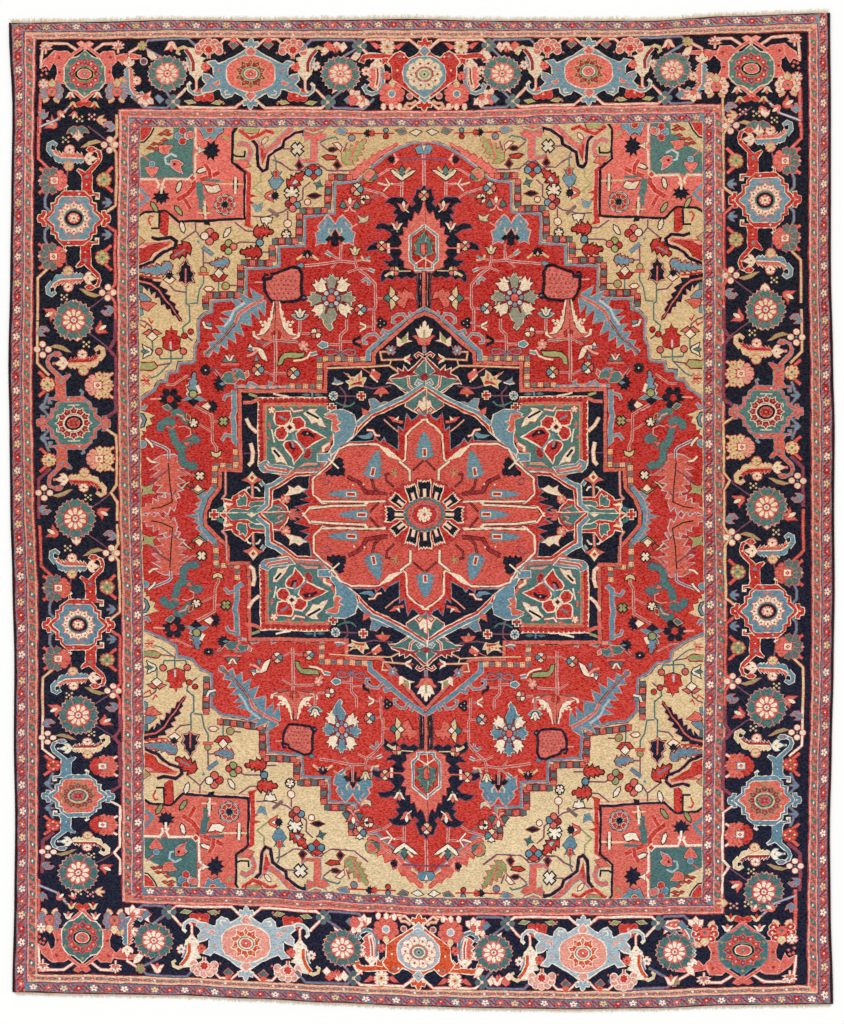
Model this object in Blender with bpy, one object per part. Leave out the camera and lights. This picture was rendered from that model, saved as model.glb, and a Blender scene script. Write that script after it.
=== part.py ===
"""A room-size hand-knotted wool carpet, lying flat.

The knotted ground is one flat solid with the carpet's uneven outline. A wool-bound cord finishes each
long side, and a narrow plain-woven strip with short locks of cut warp finishes each end. Units are
metres, +Z is up, +Y runs along the warps, and the origin is under the middle of the carpet.
"""

import math

import bmesh
import bpy
from mathutils import Vector

# Driving sizes
CARPET_WIDTH = 3.040  # over the bound sides
CARPET_LENGTH = 3.645  # over the knotted ground
PILE_THICKNESS = 0.008  # foundation and pile together
PILE_SHOULDER = 0.002  # how far the clipped pile rounds over at its rim
SELVEDGE_WIDTH = 0.009
SELVEDGE_HEIGHT = 0.0075
STRIP_DEPTH = 0.005  # plain weave left past the last row of knots
STRIP_THICKNESS = 0.0024
LOCK_LENGTH_TOP = 0.0125
LOCK_LENGTH_BOTTOM = 0.0095
SEAT_GAP = 0.0003  # between two pieces that touch
SIDE_STEPS = 48  # straight runs along each long side
END_STEPS = 43  # straight runs along each end
LOCK_STEPS = 7  # stretches of the woven strip in one of those runs, every second one with a lock

# How far each long side lies outside the true rectangle, from the bottom end to the top end.
SIDE_BULGE = (
    # along, left, right
    (-1.80, -0.005, 0.004),
    (-1.47, -0.012, -0.005),
    (-1.18, -0.015, -0.008),
    (-0.88, -0.010, -0.001),
    (-0.58, -0.012, 0.006),
    (-0.29, -0.005, 0.010),
    (0.00, 0.003, 0.008),
    (0.30, 0.006, 0.010),
    (0.53, 0.010, 0.004),
    (0.90, 0.003, -0.004),
    (1.20, -0.001, -0.004),
    (1.49, -0.005, -0.004),
    (1.80, 0.008, -0.007),
)
# How far each end lies outside the true rectangle, from the left side to the right side.
END_BULGE = (
    # across, bottom, top
    (-1.52, -0.046, -0.013),
    (-1.22, -0.039, -0.009),
    (-0.92, -0.035, -0.002),
    (-0.63, -0.022, -0.005),
    (-0.33, -0.007, -0.002),
    (-0.04, 0.006, 0.002),
    (0.26, 0.013, -0.005),
    (0.56, 0.017, -0.005),
    (0.85, 0.013, -0.005),
    (1.15, 0.002, 0.013),
    (1.52, -0.002, 0.024),
)


def eased(table, place, column):
    """The table's value in that column at a place, eased from row to row."""
    if place <= table[0][0]:
        return table[0][column]
    for low, high in zip(table, table[1:]):
        if place <= high[0]:
            share = (place - low[0]) / (high[0] - low[0])
            share = share * share * (3 - 2 * share)
            return low[column] + share * (high[column] - low[column])
    return table[-1][column]


def laid(across, along):
    """Where a point of the true rectangle lies on the uneven carpet. Both run from -1 to 1."""
    x, y = across * CARPET_WIDTH / 2, along * CARPET_LENGTH / 2
    left = -CARPET_WIDTH / 2 - eased(SIDE_BULGE, y, 1)
    right = CARPET_WIDTH / 2 + eased(SIDE_BULGE, y, 2)
    bottom = -CARPET_LENGTH / 2 - eased(END_BULGE, x, 1)
    top = CARPET_LENGTH / 2 + eased(END_BULGE, x, 2)
    return Vector(
        (
            left + (right - left) * (across + 1) / 2,
            bottom + (top - bottom) * (along + 1) / 2,
        )
    )


def side_line(side):
    """The outer line of one bound side, bottom to top. Side is -1 at the left and 1 at the right."""
    return [laid(side, 2 * i / SIDE_STEPS - 1) for i in range(SIDE_STEPS + 1)]


def end_line(end):
    """The line of one end, left to right, inside the bound sides. End is -1 at the bottom, 1 at the top."""
    inset = 2 * (SELVEDGE_WIDTH + SEAT_GAP) / CARPET_WIDTH
    spans = (inset - 1 + (2 - 2 * inset) * i / END_STEPS for i in range(END_STEPS + 1))
    return [laid(across, end) for across in spans]


def divided(line, parts):
    """The same line with each straight run divided into equal parts."""
    points = [start.lerp(stop, k / parts) for start, stop in zip(line, line[1:]) for k in range(parts)]
    return points + [line[-1]]


def pushed(line, distance):
    """The line moved sideways, to the right of its direction where the distance is positive."""
    moved = []
    for i, point in enumerate(line):
        ahead = (line[min(i + 1, len(line) - 1)] - line[max(i - 1, 0)]).normalized()
        moved.append(point + Vector((ahead.y, -ahead.x)) * distance)
    return moved


def material(name, colour, roughness):
    """A plain wool or cotton finish."""
    made = bpy.data.materials.new(name)
    made.use_nodes = True
    shader = made.node_tree.nodes["Principled BSDF"]
    shader.inputs["Base Color"].default_value = (*colour, 1.0)
    shader.inputs["Roughness"].default_value = roughness
    shader.inputs["Metallic"].default_value = 0.0
    return made


def add_object(name, shape, finish):
    """Links a bmesh to the scene as a named object with one finish."""
    bmesh.ops.recalc_face_normals(shape, faces=shape.faces)
    mesh = bpy.data.meshes.new(name)
    shape.to_mesh(mesh)
    shape.free()
    mesh.materials.append(finish)
    made = bpy.data.objects.new(name, mesh)
    bpy.context.scene.collection.objects.link(made)
    return made


def bridge(shape, rings):
    """Faces from each ring of points to the next, and a cap on the first and the last."""
    for ring, following in zip(rings, rings[1:]):
        for i in range(len(ring)):
            j = (i + 1) % len(ring)
            shape.faces.new((ring[i], ring[j], following[j], following[i]))
    shape.faces.new(rings[0])
    shape.faces.new(rings[-1])


def knotted_ground(finish):
    """The carpet's knotted body: its outline extruded to the pile's height, with a rounded rim."""
    inset = SELVEDGE_WIDTH + SEAT_GAP
    left = pushed(side_line(-1), inset)
    right = pushed(side_line(1), -inset)
    bottom, top = end_line(-1), end_line(1)
    left[0], right[0], left[-1], right[-1] = bottom[0], bottom[-1], top[0], top[-1]
    outline = bottom + right[1:-1] + top[::-1] + left[-2:0:-1]
    shape = bmesh.new()
    base = shape.faces.new([shape.verts.new((x, y, 0)) for x, y in outline])
    raised = bmesh.ops.extrude_face_region(shape, geom=[base], use_keep_orig=True)["geom"]
    corners = [item for item in raised if isinstance(item, bmesh.types.BMVert)]
    bmesh.ops.translate(shape, verts=corners, vec=(0, 0, PILE_THICKNESS))
    rim = [edge for edge in shape.edges if all(v in corners for v in edge.verts)]
    bmesh.ops.bevel(shape, geom=rim, offset=PILE_SHOULDER, segments=2, profile=0.5, affect="EDGES")
    return add_object("knotted_ground", shape, finish)


def selvedge(name, side, finish):
    """One bound side: a flat-bottomed round cord that follows the carpet's edge."""
    middle = pushed(side_line(side), -side * SELVEDGE_WIDTH / 2)
    profile = [(-0.5, 0.0), (0.5, 0.0)]
    arc = range(1, 6)
    profile += [(0.5 * math.cos(math.pi * k / 6), math.sin(math.pi * k / 6)) for k in arc]
    shape, rings = bmesh.new(), []
    for point, outer in zip(middle, pushed(middle, 1.0)):
        sideways = outer - point
        rings.append(
            [
                shape.verts.new((*(point + sideways * s * SELVEDGE_WIDTH), h * SELVEDGE_HEIGHT))
                for s, h in profile
            ]
        )
    bridge(shape, rings)
    return add_object(name, shape, finish)


def warp_fringe(name, end, lock_length, finish):
    """The woven strip past one end's knots. Every second stretch of its outer face is drawn out as a lock."""
    line = end_line(end)
    inner = divided(pushed(line, -end * SEAT_GAP), LOCK_STEPS)
    outer = divided(pushed(line, -end * (SEAT_GAP + STRIP_DEPTH)), LOCK_STEPS)
    shape, rings = bmesh.new(), []
    for near, far in zip(inner, outer):
        rings.append(
            [
                shape.verts.new((*near, 0)),
                shape.verts.new((*near, STRIP_THICKNESS)),
                shape.verts.new((*far, STRIP_THICKNESS)),
                shape.verts.new((*far, 0)),
            ]
        )
    bridge(shape, rings)
    outer_points = {v for ring in rings for v in ring[2:]}
    outer_faces = [f for f in shape.faces if len(f.verts) == 4 and set(f.verts) <= outer_points]
    outer_faces.sort(key=lambda face: face.calc_center_median().x)
    roots = outer_faces[1::2]
    for step in range(2):
        roots = bmesh.ops.extrude_discrete_faces(shape, faces=roots)["faces"]
        for i, face in enumerate(roots):
            draw_out_lock(face, i, end, lock_length / 2, step)
    return add_object(name, shape, finish)


def draw_out_lock(face, index, end, reach, step):
    """Moves a lock's new end outward, narrows it and keeps its underside on the floor."""
    uneven = 1 + 0.28 * math.sin(2.4 * index) + 0.12 * math.sin(0.37 * index + end)
    lean = 0.0016 * math.sin(1.7 * index + 2 * end)
    narrowing = (0.78, 0.5)[step]
    centre = face.calc_center_median()
    for vertex in face.verts:
        vertex.co.x = centre.x + (vertex.co.x - centre.x) * narrowing + lean
        vertex.co.y += end * reach * uneven
        vertex.co.z *= narrowing + 0.15


def centre(pieces):
    """Moves the pieces' points so that the origin lies under the middle of them all."""
    points = [vertex.co for piece in pieces for vertex in piece.data.vertices]
    middle_x = (min(p.x for p in points) + max(p.x for p in points)) / 2
    middle_y = (min(p.y for p in points) + max(p.y for p in points)) / 2
    for point in points:
        point.x -= middle_x
        point.y -= middle_y


def clear_scene():
    """Starts from an empty scene."""
    for item in list(bpy.data.objects):
        bpy.data.objects.remove(item)


def main():
    """Builds the carpet's five pieces."""
    clear_scene()
    wool = material("madder_red_wool", (0.46, 0.07, 0.05), 0.92)
    binding = material("dark_brown_wool", (0.07, 0.035, 0.025), 0.9)
    cotton = material("ivory_cotton", (0.76, 0.68, 0.55), 0.95)
    centre(
        [
            knotted_ground(wool),
            selvedge("selvedge_left", -1, binding),
            selvedge("selvedge_right", 1, binding),
            warp_fringe("fringe_top", 1, LOCK_LENGTH_TOP, cotton),
            warp_fringe("fringe_bottom", -1, LOCK_LENGTH_BOTTOM, cotton),
        ]
    )


main()
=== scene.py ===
"""A room-size hand-knotted wool carpet with a lobed medallion, seen from straight above.

The design is drawn as a weaver's chart: flat shapes laid over one another, each in one dyed wool. One unit of
the chart is one knot. The chart is then laid out on the loom, where the frames came out uneven, and knotted
into one sheet. Bound sides and warp fringes finish it.
"""

from __future__ import annotations

import logging
import math
from dataclasses import dataclass, field
from enum import Enum
from typing import ClassVar

import bmesh
import bpy
import numpy as np
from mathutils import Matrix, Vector
from mathutils.geometry import delaunay_2d_cdt, tessellate_polygon

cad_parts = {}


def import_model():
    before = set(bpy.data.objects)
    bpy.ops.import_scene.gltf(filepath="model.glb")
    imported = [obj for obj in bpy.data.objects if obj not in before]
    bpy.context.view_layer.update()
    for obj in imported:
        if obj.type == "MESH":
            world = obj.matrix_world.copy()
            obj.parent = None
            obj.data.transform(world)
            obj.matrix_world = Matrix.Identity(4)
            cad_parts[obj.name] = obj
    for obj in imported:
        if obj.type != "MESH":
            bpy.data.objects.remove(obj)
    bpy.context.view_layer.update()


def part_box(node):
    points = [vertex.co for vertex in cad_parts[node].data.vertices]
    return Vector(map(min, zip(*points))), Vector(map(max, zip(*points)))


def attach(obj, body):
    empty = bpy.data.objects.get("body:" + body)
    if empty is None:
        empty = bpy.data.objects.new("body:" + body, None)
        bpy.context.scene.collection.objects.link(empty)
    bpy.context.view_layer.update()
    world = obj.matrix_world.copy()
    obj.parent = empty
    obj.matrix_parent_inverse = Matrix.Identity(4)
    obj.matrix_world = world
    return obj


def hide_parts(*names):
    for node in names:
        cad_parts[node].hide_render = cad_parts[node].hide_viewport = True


LOG = logging.getLogger("carpet")

Point = tuple[float, float]
Outline = list[Point]

KNOT = 0.0037  # metres from knot to knot
CARPET_WIDTH = 3.040  # metres over the bound sides
CARPET_LENGTH = 3.645  # metres over the knots
PILE_HEIGHT = 0.008  # metres from the floor to the top of the pile
PILE_SHOULDER = 0.002  # metres that the clipped pile falls at its rim
BINDING_SEAT = 0.0093  # metres of side cord and seat beside the knots
TOP_LOCKS = 0.0125  # metres of cut warp past the woven strip at the top
BOTTOM_LOCKS = 0.0095


class Wool(Enum):
    """The dyed wools, each with its colour as an sRGB code and the name of its dye lot."""

    NAVY = ("1e1e28", "indigo")
    RED = ("ba3a32", "madder")
    CORAL = ("d2695b", "coral")
    BRICK = ("d05c53", "coral")
    ROSE = ("e29a88", "coral")
    MADDER = ("963336", "madder")
    GOLD = ("d6b788", "gold")
    IVORY = ("e6d0b2", "gold")
    TEAL = ("52736e", "teal")
    SKY = ("6b8b98", "teal")
    PALE = ("b2bec0", "teal")
    GREEN = ("9a9c68", "teal")
    PLUM = ("7c4c5e", "coral")
    BROWN = ("33221f", "indigo")
    ORANGE = ("c9502f", "madder")
    GREY = ("8a8a78", "teal")


NAVY, RED, CORAL, BRICK, ROSE, MADDER, GOLD, IVORY, TEAL, SKY, PALE, GREEN, PLUM, BROWN, ORANGE, GREY = Wool


# ---------------------------------------------------------------- outlines


def path(*numbers: float) -> Outline:
    """Points from their places across and along, in turn."""
    return list(zip(numbers[::2], numbers[1::2]))


def polar(radius: float, angle: float) -> Point:
    """The point at a radius and an angle in radians, counted from straight up."""
    return radius * math.sin(angle), radius * math.cos(angle)


def mirrored(half: Outline) -> Outline:
    """A closed outline from its right half, listed from one end of its axis to the other."""
    return half + [(-x, y) for x, y in reversed(half) if abs(x) > 1e-6]


def quartered(quarter: Outline) -> Outline:
    """A closed outline from the quarter right of and above its centre, listed from the top to the right."""
    lower = [(x, -y) for x, y in reversed(quarter) if abs(y) > 1e-6]
    return mirrored(quarter + lower)


def petalled(count: int, outer: float, inner: float, blunt: float = 0.5, turn: float = 0.0) -> Outline:
    """The outline of an open flower.

    Args:
        count: number of petals.
        outer: radius at the petals' ends.
        inner: radius between two petals.
        blunt: width of a petal's end as a share of its pitch, 0 for a point.
        turn: angle of the first petal in pitches.

    Returns:
        The closed outline.
    """
    pitch = 2 * math.pi / count
    outline = []
    for i in range(count):
        angle = (i + turn) * pitch
        outline.append(polar(inner, angle - pitch / 2))
        ends = (-blunt / 2, blunt / 2) if blunt else (0.0,)
        outline.extend(polar(outer, angle + end * pitch) for end in ends)
    return outline


def area(outline: Outline) -> float:
    """The signed area inside a closed outline, positive where it runs against the clock."""
    following = outline[1:] + outline[:1]
    return sum(x * v - u * y for (x, y), (u, v) in zip(outline, following)) / 2


def grown(outline: Outline, margin: float) -> Outline:
    """A closed outline moved outward all round.

    Args:
        outline: the outline.
        margin: how far it moves.

    Returns:
        The larger outline.
    """
    side = math.copysign(1.0, area(outline))
    moved = []
    for i, (x, y) in enumerate(outline):
        before, after = outline[i - 1], outline[(i + 1) % len(outline)]
        a = unit(x - before[0], y - before[1])
        b = unit(after[0] - x, after[1] - y)
        reach = side * margin / max(1 + a[0] * b[0] + a[1] * b[1], 0.45)
        moved.append((x + (a[1] + b[1]) * reach, y - (a[0] + b[0]) * reach))
    return moved


def unit(x: float, y: float) -> Point:
    """The direction of a vector."""
    length = math.hypot(x, y) or 1.0
    return x / length, y / length


def ribbon(points: Outline, width: float, end_width: float | None = None) -> Outline:
    """The outline of a flat band along a line.

    Args:
        points: the line.
        width: the band's width, at the line's start if it tapers.
        end_width: its width at the line's end, or None for the same.

    Returns:
        The closed outline.
    """
    end_width = width if end_width is None else end_width
    near, far = [], []
    last = len(points) - 1
    for i, (x, y) in enumerate(points):
        a = unit(x - points[i - 1][0], y - points[i - 1][1]) if i else None
        b = unit(points[i + 1][0] - x, points[i + 1][1] - y) if i < last else None
        a, b = a or b, b or a
        half = (width + (end_width - width) * i / last) / 2
        reach = half / max(1 + a[0] * b[0] + a[1] * b[1], 0.5)
        dx, dy = (a[1] + b[1]) * reach, -(a[0] + b[0]) * reach
        near.append((x + dx, y + dy))
        far.append((x - dx, y - dy))
    return near + far[::-1]


# ---------------------------------------------------------------- the chart


TRIMMED_AREAS = (9.0, 330.0)  # square knots, the smallest and largest shape that gets a trim
TRIM_WIDTH = 0.55  # knots
LINE_EDGES = 1.4  # knots that the outlines on both sides add to a line's width


@dataclass
class Chart:
    """A place on the weaver's chart, with its own turn and scale, that lays shapes into the whole."""

    shapes: list[tuple[Outline, Wool]] = field(default_factory=list)
    frame: tuple[float, float, float, float, float, float] = (1.0, 0.0, 0.0, 1.0, 0.0, 0.0)
    repeated_low: bool = False  # whether it lies in the field's lower half, which came out a little longer
    trim: Wool | None = None  # the wool of the thin line laid around each small shape, if any

    def at(
        self, x: float, y: float, turn: float = 0.0, wide: float = 1.0, tall: float | None = None
    ) -> Chart:
        """A new place on this one.

        Args:
            x: how far to the right.
            y: how far up.
            turn: degrees against the clock.
            wide: scale across, negative to mirror it.
            tall: scale along, or None for the size of the scale across.

        Returns:
            The place, which shares the list of shapes.
        """
        tall = abs(wide) if tall is None else tall
        cos, sin = math.cos(math.radians(turn)), math.sin(math.radians(turn))
        a, b, c, d, u, v = self.frame
        p, q, r, s = cos * wide, -sin * tall, sin * wide, cos * tall
        frame = (
            a * p + b * r, a * q + b * s, c * p + d * r, c * q + d * s, a * x + b * y + u, c * x + d * y + v
        )
        return Chart(self.shapes, frame, self.repeated_low, self.trim)

    def sides(self) -> tuple[Chart, Chart]:
        """This place and its mirror image from left to right."""
        return self, self.at(0, 0, wide=-1)

    def halves(self) -> tuple[Chart, Chart]:
        """The field's upper half, and its lower half, drawn as the upper one turned over."""
        return self.at(0, FIELD_MIDDLE), Chart(self.shapes, self.frame, True, self.trim)

    def quarters(self) -> list[Chart]:
        """The field's quarters, with x outward and y away from its middle."""
        return [side for half in self.halves() for side in half.sides()]

    def trimmed(self, wool: Wool) -> Chart:
        """This place, with a thin line of a wool around each small shape laid there."""
        return Chart(self.shapes, self.frame, self.repeated_low, wool)

    def fill(self, wool: Wool, outline: Outline) -> None:
        """Lays one shape, trimmed where this place asks for that.

        Args:
            wool: the shape's wool.
            outline: its closed outline.
        """
        if self.trim and TRIMMED_AREAS[0] < abs(area(outline)) < TRIMMED_AREAS[1]:
            self.lay(self.trim, grown(outline, TRIM_WIDTH))
        self.lay(wool, outline)

    def lay(self, wool: Wool, outline: Outline) -> None:
        """Lays one shape.

        Args:
            wool: the shape's wool.
            outline: its closed outline.
        """
        a, b, c, d, u, v = self.frame
        laid = [(a * x + b * y + u, c * x + d * y + v) for x, y in outline]
        if self.repeated_low:
            laid = [(x, between(y, UPPER_LEVELS, LOWER_LEVELS)) for x, y in laid]
        self.shapes.append((laid, wool))

    def edged(self, wool: Wool, edge: Wool | None, outline: Outline, width: float = 1.0) -> None:
        """Lays one shape with an outline of another wool around it.

        Args:
            wool: the shape's wool.
            edge: the wool around it, or None for a plain shape.
            outline: its closed outline.
            width: how far the edge reaches, in knots.
        """
        if edge:
            self.fill(edge, grown(outline, width))
            self.lay(wool, outline)
        else:
            self.fill(wool, outline)

    def line(self, wool: Wool, points: Outline, width: float = 1.6, edge: Wool | None = None) -> None:
        """Lays a vine or a stem along a line, with an outline of another wool if one is given.

        Args:
            wool: the line's wool.
            points: the line.
            width: its width in knots.
            edge: the wool on both sides of it, if any.
        """
        if edge:
            self.lay(edge, ribbon(points, width + LINE_EDGES))
        self.lay(wool, ribbon(points, width))

    def dots(self, wool: Wool, places: Outline, size: float = 1.0) -> None:
        """Lays a small diamond at each place."""
        for x, y in places:
            self.lay(wool, [(x, y + size), (x - size, y), (x, y - size), (x + size, y)])


# ---------------------------------------------------------------- the loom


def eased(table: tuple[tuple[float, ...], ...], place: float, column: int) -> float:
    """A table's value in one column, eased from row to row.

    Args:
        table: rows that start with their place.
        place: the place asked for.
        column: the column read.

    Returns:
        The value there.
    """
    if place <= table[0][0]:
        return table[0][column]
    for low, high in zip(table, table[1:]):
        if place <= high[0]:
            share = (place - low[0]) / (high[0] - low[0])
            share = share * share * (3 - 2 * share)
            return low[column] + share * (high[column] - low[column])
    return table[-1][column]


def between(place: float, marks: tuple[float, ...], values: list[float]) -> float:
    """The value at a place between even marks, on straight runs that go on past both ends.

    Args:
        place: the place asked for.
        marks: where the values hold, in rising order.
        values: the value at each mark.

    Returns:
        The value there.
    """
    i = 1
    while i < len(marks) - 1 and place > marks[i]:
        i += 1
    share = (place - marks[i - 1]) / (marks[i] - marks[i - 1])
    return values[i - 1] + share * (values[i] - values[i - 1])


# How far each long side lies outside the true rectangle, in metres, from the bottom end to the top end.
SIDE_BULGE = (
    # along, left, right
    (-1.80, -0.005, 0.004),
    (-1.47, -0.012, -0.005),
    (-1.18, -0.015, -0.008),
    (-0.88, -0.010, -0.001),
    (-0.58, -0.012, 0.006),
    (-0.29, -0.005, 0.010),
    (0.00, 0.003, 0.008),
    (0.30, 0.006, 0.010),
    (0.53, 0.010, 0.004),
    (0.90, 0.003, -0.004),
    (1.20, -0.001, -0.004),
    (1.49, -0.005, -0.004),
    (1.80, 0.008, -0.007),
)
# How far each end lies outside the true rectangle, in metres, from the left side to the right side.
END_BULGE = (
    # across, bottom, top
    (-1.52, -0.046, -0.013),
    (-1.22, -0.039, -0.009),
    (-0.92, -0.035, -0.002),
    (-0.63, -0.022, -0.005),
    (-0.33, -0.007, -0.002),
    (-0.04, 0.006, 0.002),
    (0.26, 0.013, -0.005),
    (0.56, 0.017, -0.005),
    (0.85, 0.013, -0.005),
    (1.15, 0.002, 0.013),
    (1.52, -0.002, 0.024),
)
# Where the frame lines that run along the carpet came out, in knots from its middle.
ACROSS = (
    # along, navy left, guard left, field left, middle, field right, guard right, navy right
    (-438, -384.0, -299.5, -276.5, 4.5, 279.5, 302.0, 386.0),
    (-288, -384.0, -299.5, -276.5, 5.0, 280.0, 302.5, 387.5),
    (-168, -383.7, -299.5, -276.7, 4.5, 281.7, 305.0, 390.0),
    (-108, -383.5, -299.7, -277.2, 4.0, 282.0, 305.5, 390.5),
    (32, -388.0, -302.7, -279.7, 3.0, 280.5, 303.7, 390.0),
    (112, -389.5, -303.7, -280.7, 3.0, 280.5, 303.2, 389.5),
    (252, -388.5, -304.5, -282.0, 2.5, 280.5, 303.5, 387.5),
    (372, -388.0, -302.7, -280.5, 2.5, 280.3, 303.0, 388.0),
    (472, -386.0, -302.0, -280.0, 2.5, 279.5, 302.5, 387.0),
)
# Where the frame lines that run across it came out, in knots from its middle.
ALONG = (
    # across, navy bottom, guard bottom, field bottom, middle, field top, guard top, navy top
    (-346, -462.0, -389.0, -372.5, 1.0, 384.5, 402.5, 472.5),
    (-231, -465.5, -392.5, -374.5, 1.0, 384.0, 402.5, 474.0),
    (-171, -469.0, -393.5, -376.0, 1.0, 383.7, 402.0, 474.0),
    (-111, -472.0, -397.0, -378.5, 1.0, 384.0, 402.0, 473.5),
    (-51, -474.5, -400.0, -382.0, 1.0, 384.3, 401.2, 473.5),
    (8, -477.5, -403.0, -385.0, 1.0, 384.7, 401.0, 473.5),
    (188, -479.0, -403.0, -386.0, 1.0, 388.0, 406.0, 474.5),
    (308, -475.0, -401.5, -384.0, 1.0, 389.5, 407.5, 478.0),
    (393, -473.0, -400.0, -383.0, 1.0, 391.0, 409.0, 480.5),
)
# Where levels of the field's upper half, counted from its middle, lie again in the lower half.
FIELD_MIDDLE = -3.5
UPPER_LEVELS = (0.0, 44.0, 93.5, 124.0, 151.0, 201.5, 267.5, 372.0)
LOWER_LEVELS = [-3.5, -51.0, -96.0, -128.0, -148.0, -197.5, -263.0, -370.0]
UPRIGHTS = (-410.0, -388.0, -304.0, -281.0, 0.0, 281.0, 304.0, 388.0, 410.0)
LEVELS = (-491.0, -474.0, -402.0, -384.0, 0.0, 384.0, 402.0, 474.0, 491.0)


@dataclass(frozen=True)
class Loom:
    """How the chart came out on the loom, with the sides drawn in and the frames a little uneven."""

    width: float = CARPET_WIDTH
    length: float = CARPET_LENGTH
    binding: float = BINDING_SEAT
    longest_run: float = 26.0  # knots that a straight run may have before it is divided
    wobble: float = 0.28  # knots
    rough_area: float = 130.0  # square knots from which a shape's edges show single rows
    rough_run: float = 4.6
    roughness: float = 0.34  # knots

    def side(self, side: int, y: float) -> float:
        """Where the knots end at the left (-1) or right (1), at a height in metres."""
        bulge = eased(SIDE_BULGE, y, 1 if side < 0 else 2)
        return side * (self.width / 2 + bulge - self.binding)

    def end(self, end: int, x: float) -> float:
        """Where the knots end at the bottom (-1) or top (1), at a place across in metres."""
        return end * (self.length / 2 + eased(END_BULGE, x, 1 if end < 0 else 2))

    def laid(self, point: Point, rough: float = 0.0) -> Point:
        """Where a point of the chart lies, in knots from the carpet's middle, at most so far off its line.

        Args:
            point: a point of the chart.
            rough: how far it may lie off its line, in knots.

        Returns:
            Its place in knots from the carpet's middle.
        """
        u, v = point
        across = [eased(ACROSS, v, column) for column in range(1, 8)]
        along = [eased(ALONG, u, column) for column in range(1, 8)]
        across = [self.side(-1, v * KNOT) / KNOT, *across, self.side(1, v * KNOT) / KNOT]
        along = [self.end(-1, u * KNOT) / KNOT, *along, self.end(1, u * KNOT) / KNOT]
        x, y = between(u, UPRIGHTS, across), between(v, LEVELS, along)
        sway = self.wobble * math.sin(v / 7.3 + math.sin(u / 19))
        rise = self.wobble * math.sin(u / 8.1 + math.sin(v / 23))
        if rough:
            sway += rough * math.sin(u * 5.3 + v * 2.9 + 7 * math.sin(v * 1.7))
            rise += rough * math.sin(v * 4.7 - u * 3.1 + 7 * math.sin(u * 1.9))
        return x + sway, y + rise

    def knotted(self, outline: Outline) -> Outline:
        """An outline of the chart as it lies in the carpet, its long runs divided so that they can bend.

        Args:
            outline: an outline of the chart.

        Returns:
            The same outline as it lies in the carpet.
        """
        laid = []
        large = abs(area(outline)) > self.rough_area
        run, rough = (self.rough_run, self.roughness) if large else (self.longest_run, 0.0)
        for (x, y), (u, v) in zip(outline, outline[1:] + outline[:1]):
            parts = max(1, math.ceil(math.hypot(u - x, v - y) / run))
            places = ((x + (u - x) * k / parts, y + (v - y) * k / parts) for k in range(parts))
            laid.extend(self.laid(place, rough) for place in places)
        return laid


# ---------------------------------------------------------------- borders


def petal_at(x: float, y: float, radius: float) -> Outline:
    """A small round petal."""
    return petalled_at(x, y, 6, radius, radius * 0.92)


def petalled_at(x: float, y: float, count: int, outer: float, inner: float) -> Outline:
    """The outline of an open flower around a point."""
    return [(x + u, y + v) for u, v in petalled(count, outer, inner)]


def mirrored_at(x: float, y: float, half: Outline) -> Outline:
    """A closed outline from its right half, around a point."""
    return [(x + u, y + v) for u, v in mirrored(half)]


def frame(side: float, end: float) -> Outline:
    """A rectangle of the chart from its half width and half length."""
    return [(-side, -end), (side, -end), (side, end), (-side, end)]


@dataclass(frozen=True)
class Stripe:
    """A narrow guard stripe around the carpet."""

    side_in: float
    side_out: float
    end_in: float
    end_out: float

    def sides(self, chart: Chart, pitch: float) -> list[Chart]:
        """A place for each repeat along the two sides, with x along the stripe, which is 10 units wide.

        Args:
            chart: the whole chart.
            pitch: the repeat's length.

        Returns:
            The places.
        """
        middle, width = (self.side_in + self.side_out) / 2, self.side_out - self.side_in
        return self.run(chart.at(0, 0, 90), middle, self.end_out, width, pitch) + self.run(
            chart.at(0, 0, 270), middle, self.end_out, width, pitch
        )

    def ends(self, chart: Chart, pitch: float) -> list[Chart]:
        """A place for each repeat along the two ends, with x along the stripe, which is 10 units wide.

        Args:
            chart: the whole chart.
            pitch: the repeat's length.

        Returns:
            The places.
        """
        middle, width = (self.end_in + self.end_out) / 2, self.end_out - self.end_in
        return self.run(chart, middle, self.side_in, width, pitch) + self.run(
            chart.at(0, 0, 180), middle, self.side_in, width, pitch
        )

    @staticmethod
    def run(chart: Chart, offset: float, reach: float, width: float, pitch: float) -> list[Chart]:
        """The places along one straight run of the stripe.

        Args:
            chart: the whole chart, turned so that the run lies below its middle.
            offset: knots from the middle to the run.
            reach: half the run's length.
            width: the stripe's width.
            pitch: the repeat's length.

        Returns:
            The places.
        """
        count = round(2 * reach / pitch)
        step = 2 * reach / count
        return [
            chart.at(
                step * (i + 0.5) - reach, -offset, wide=step / pitch, tall=width / 10
            ) for i in range(count)
        ]


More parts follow.
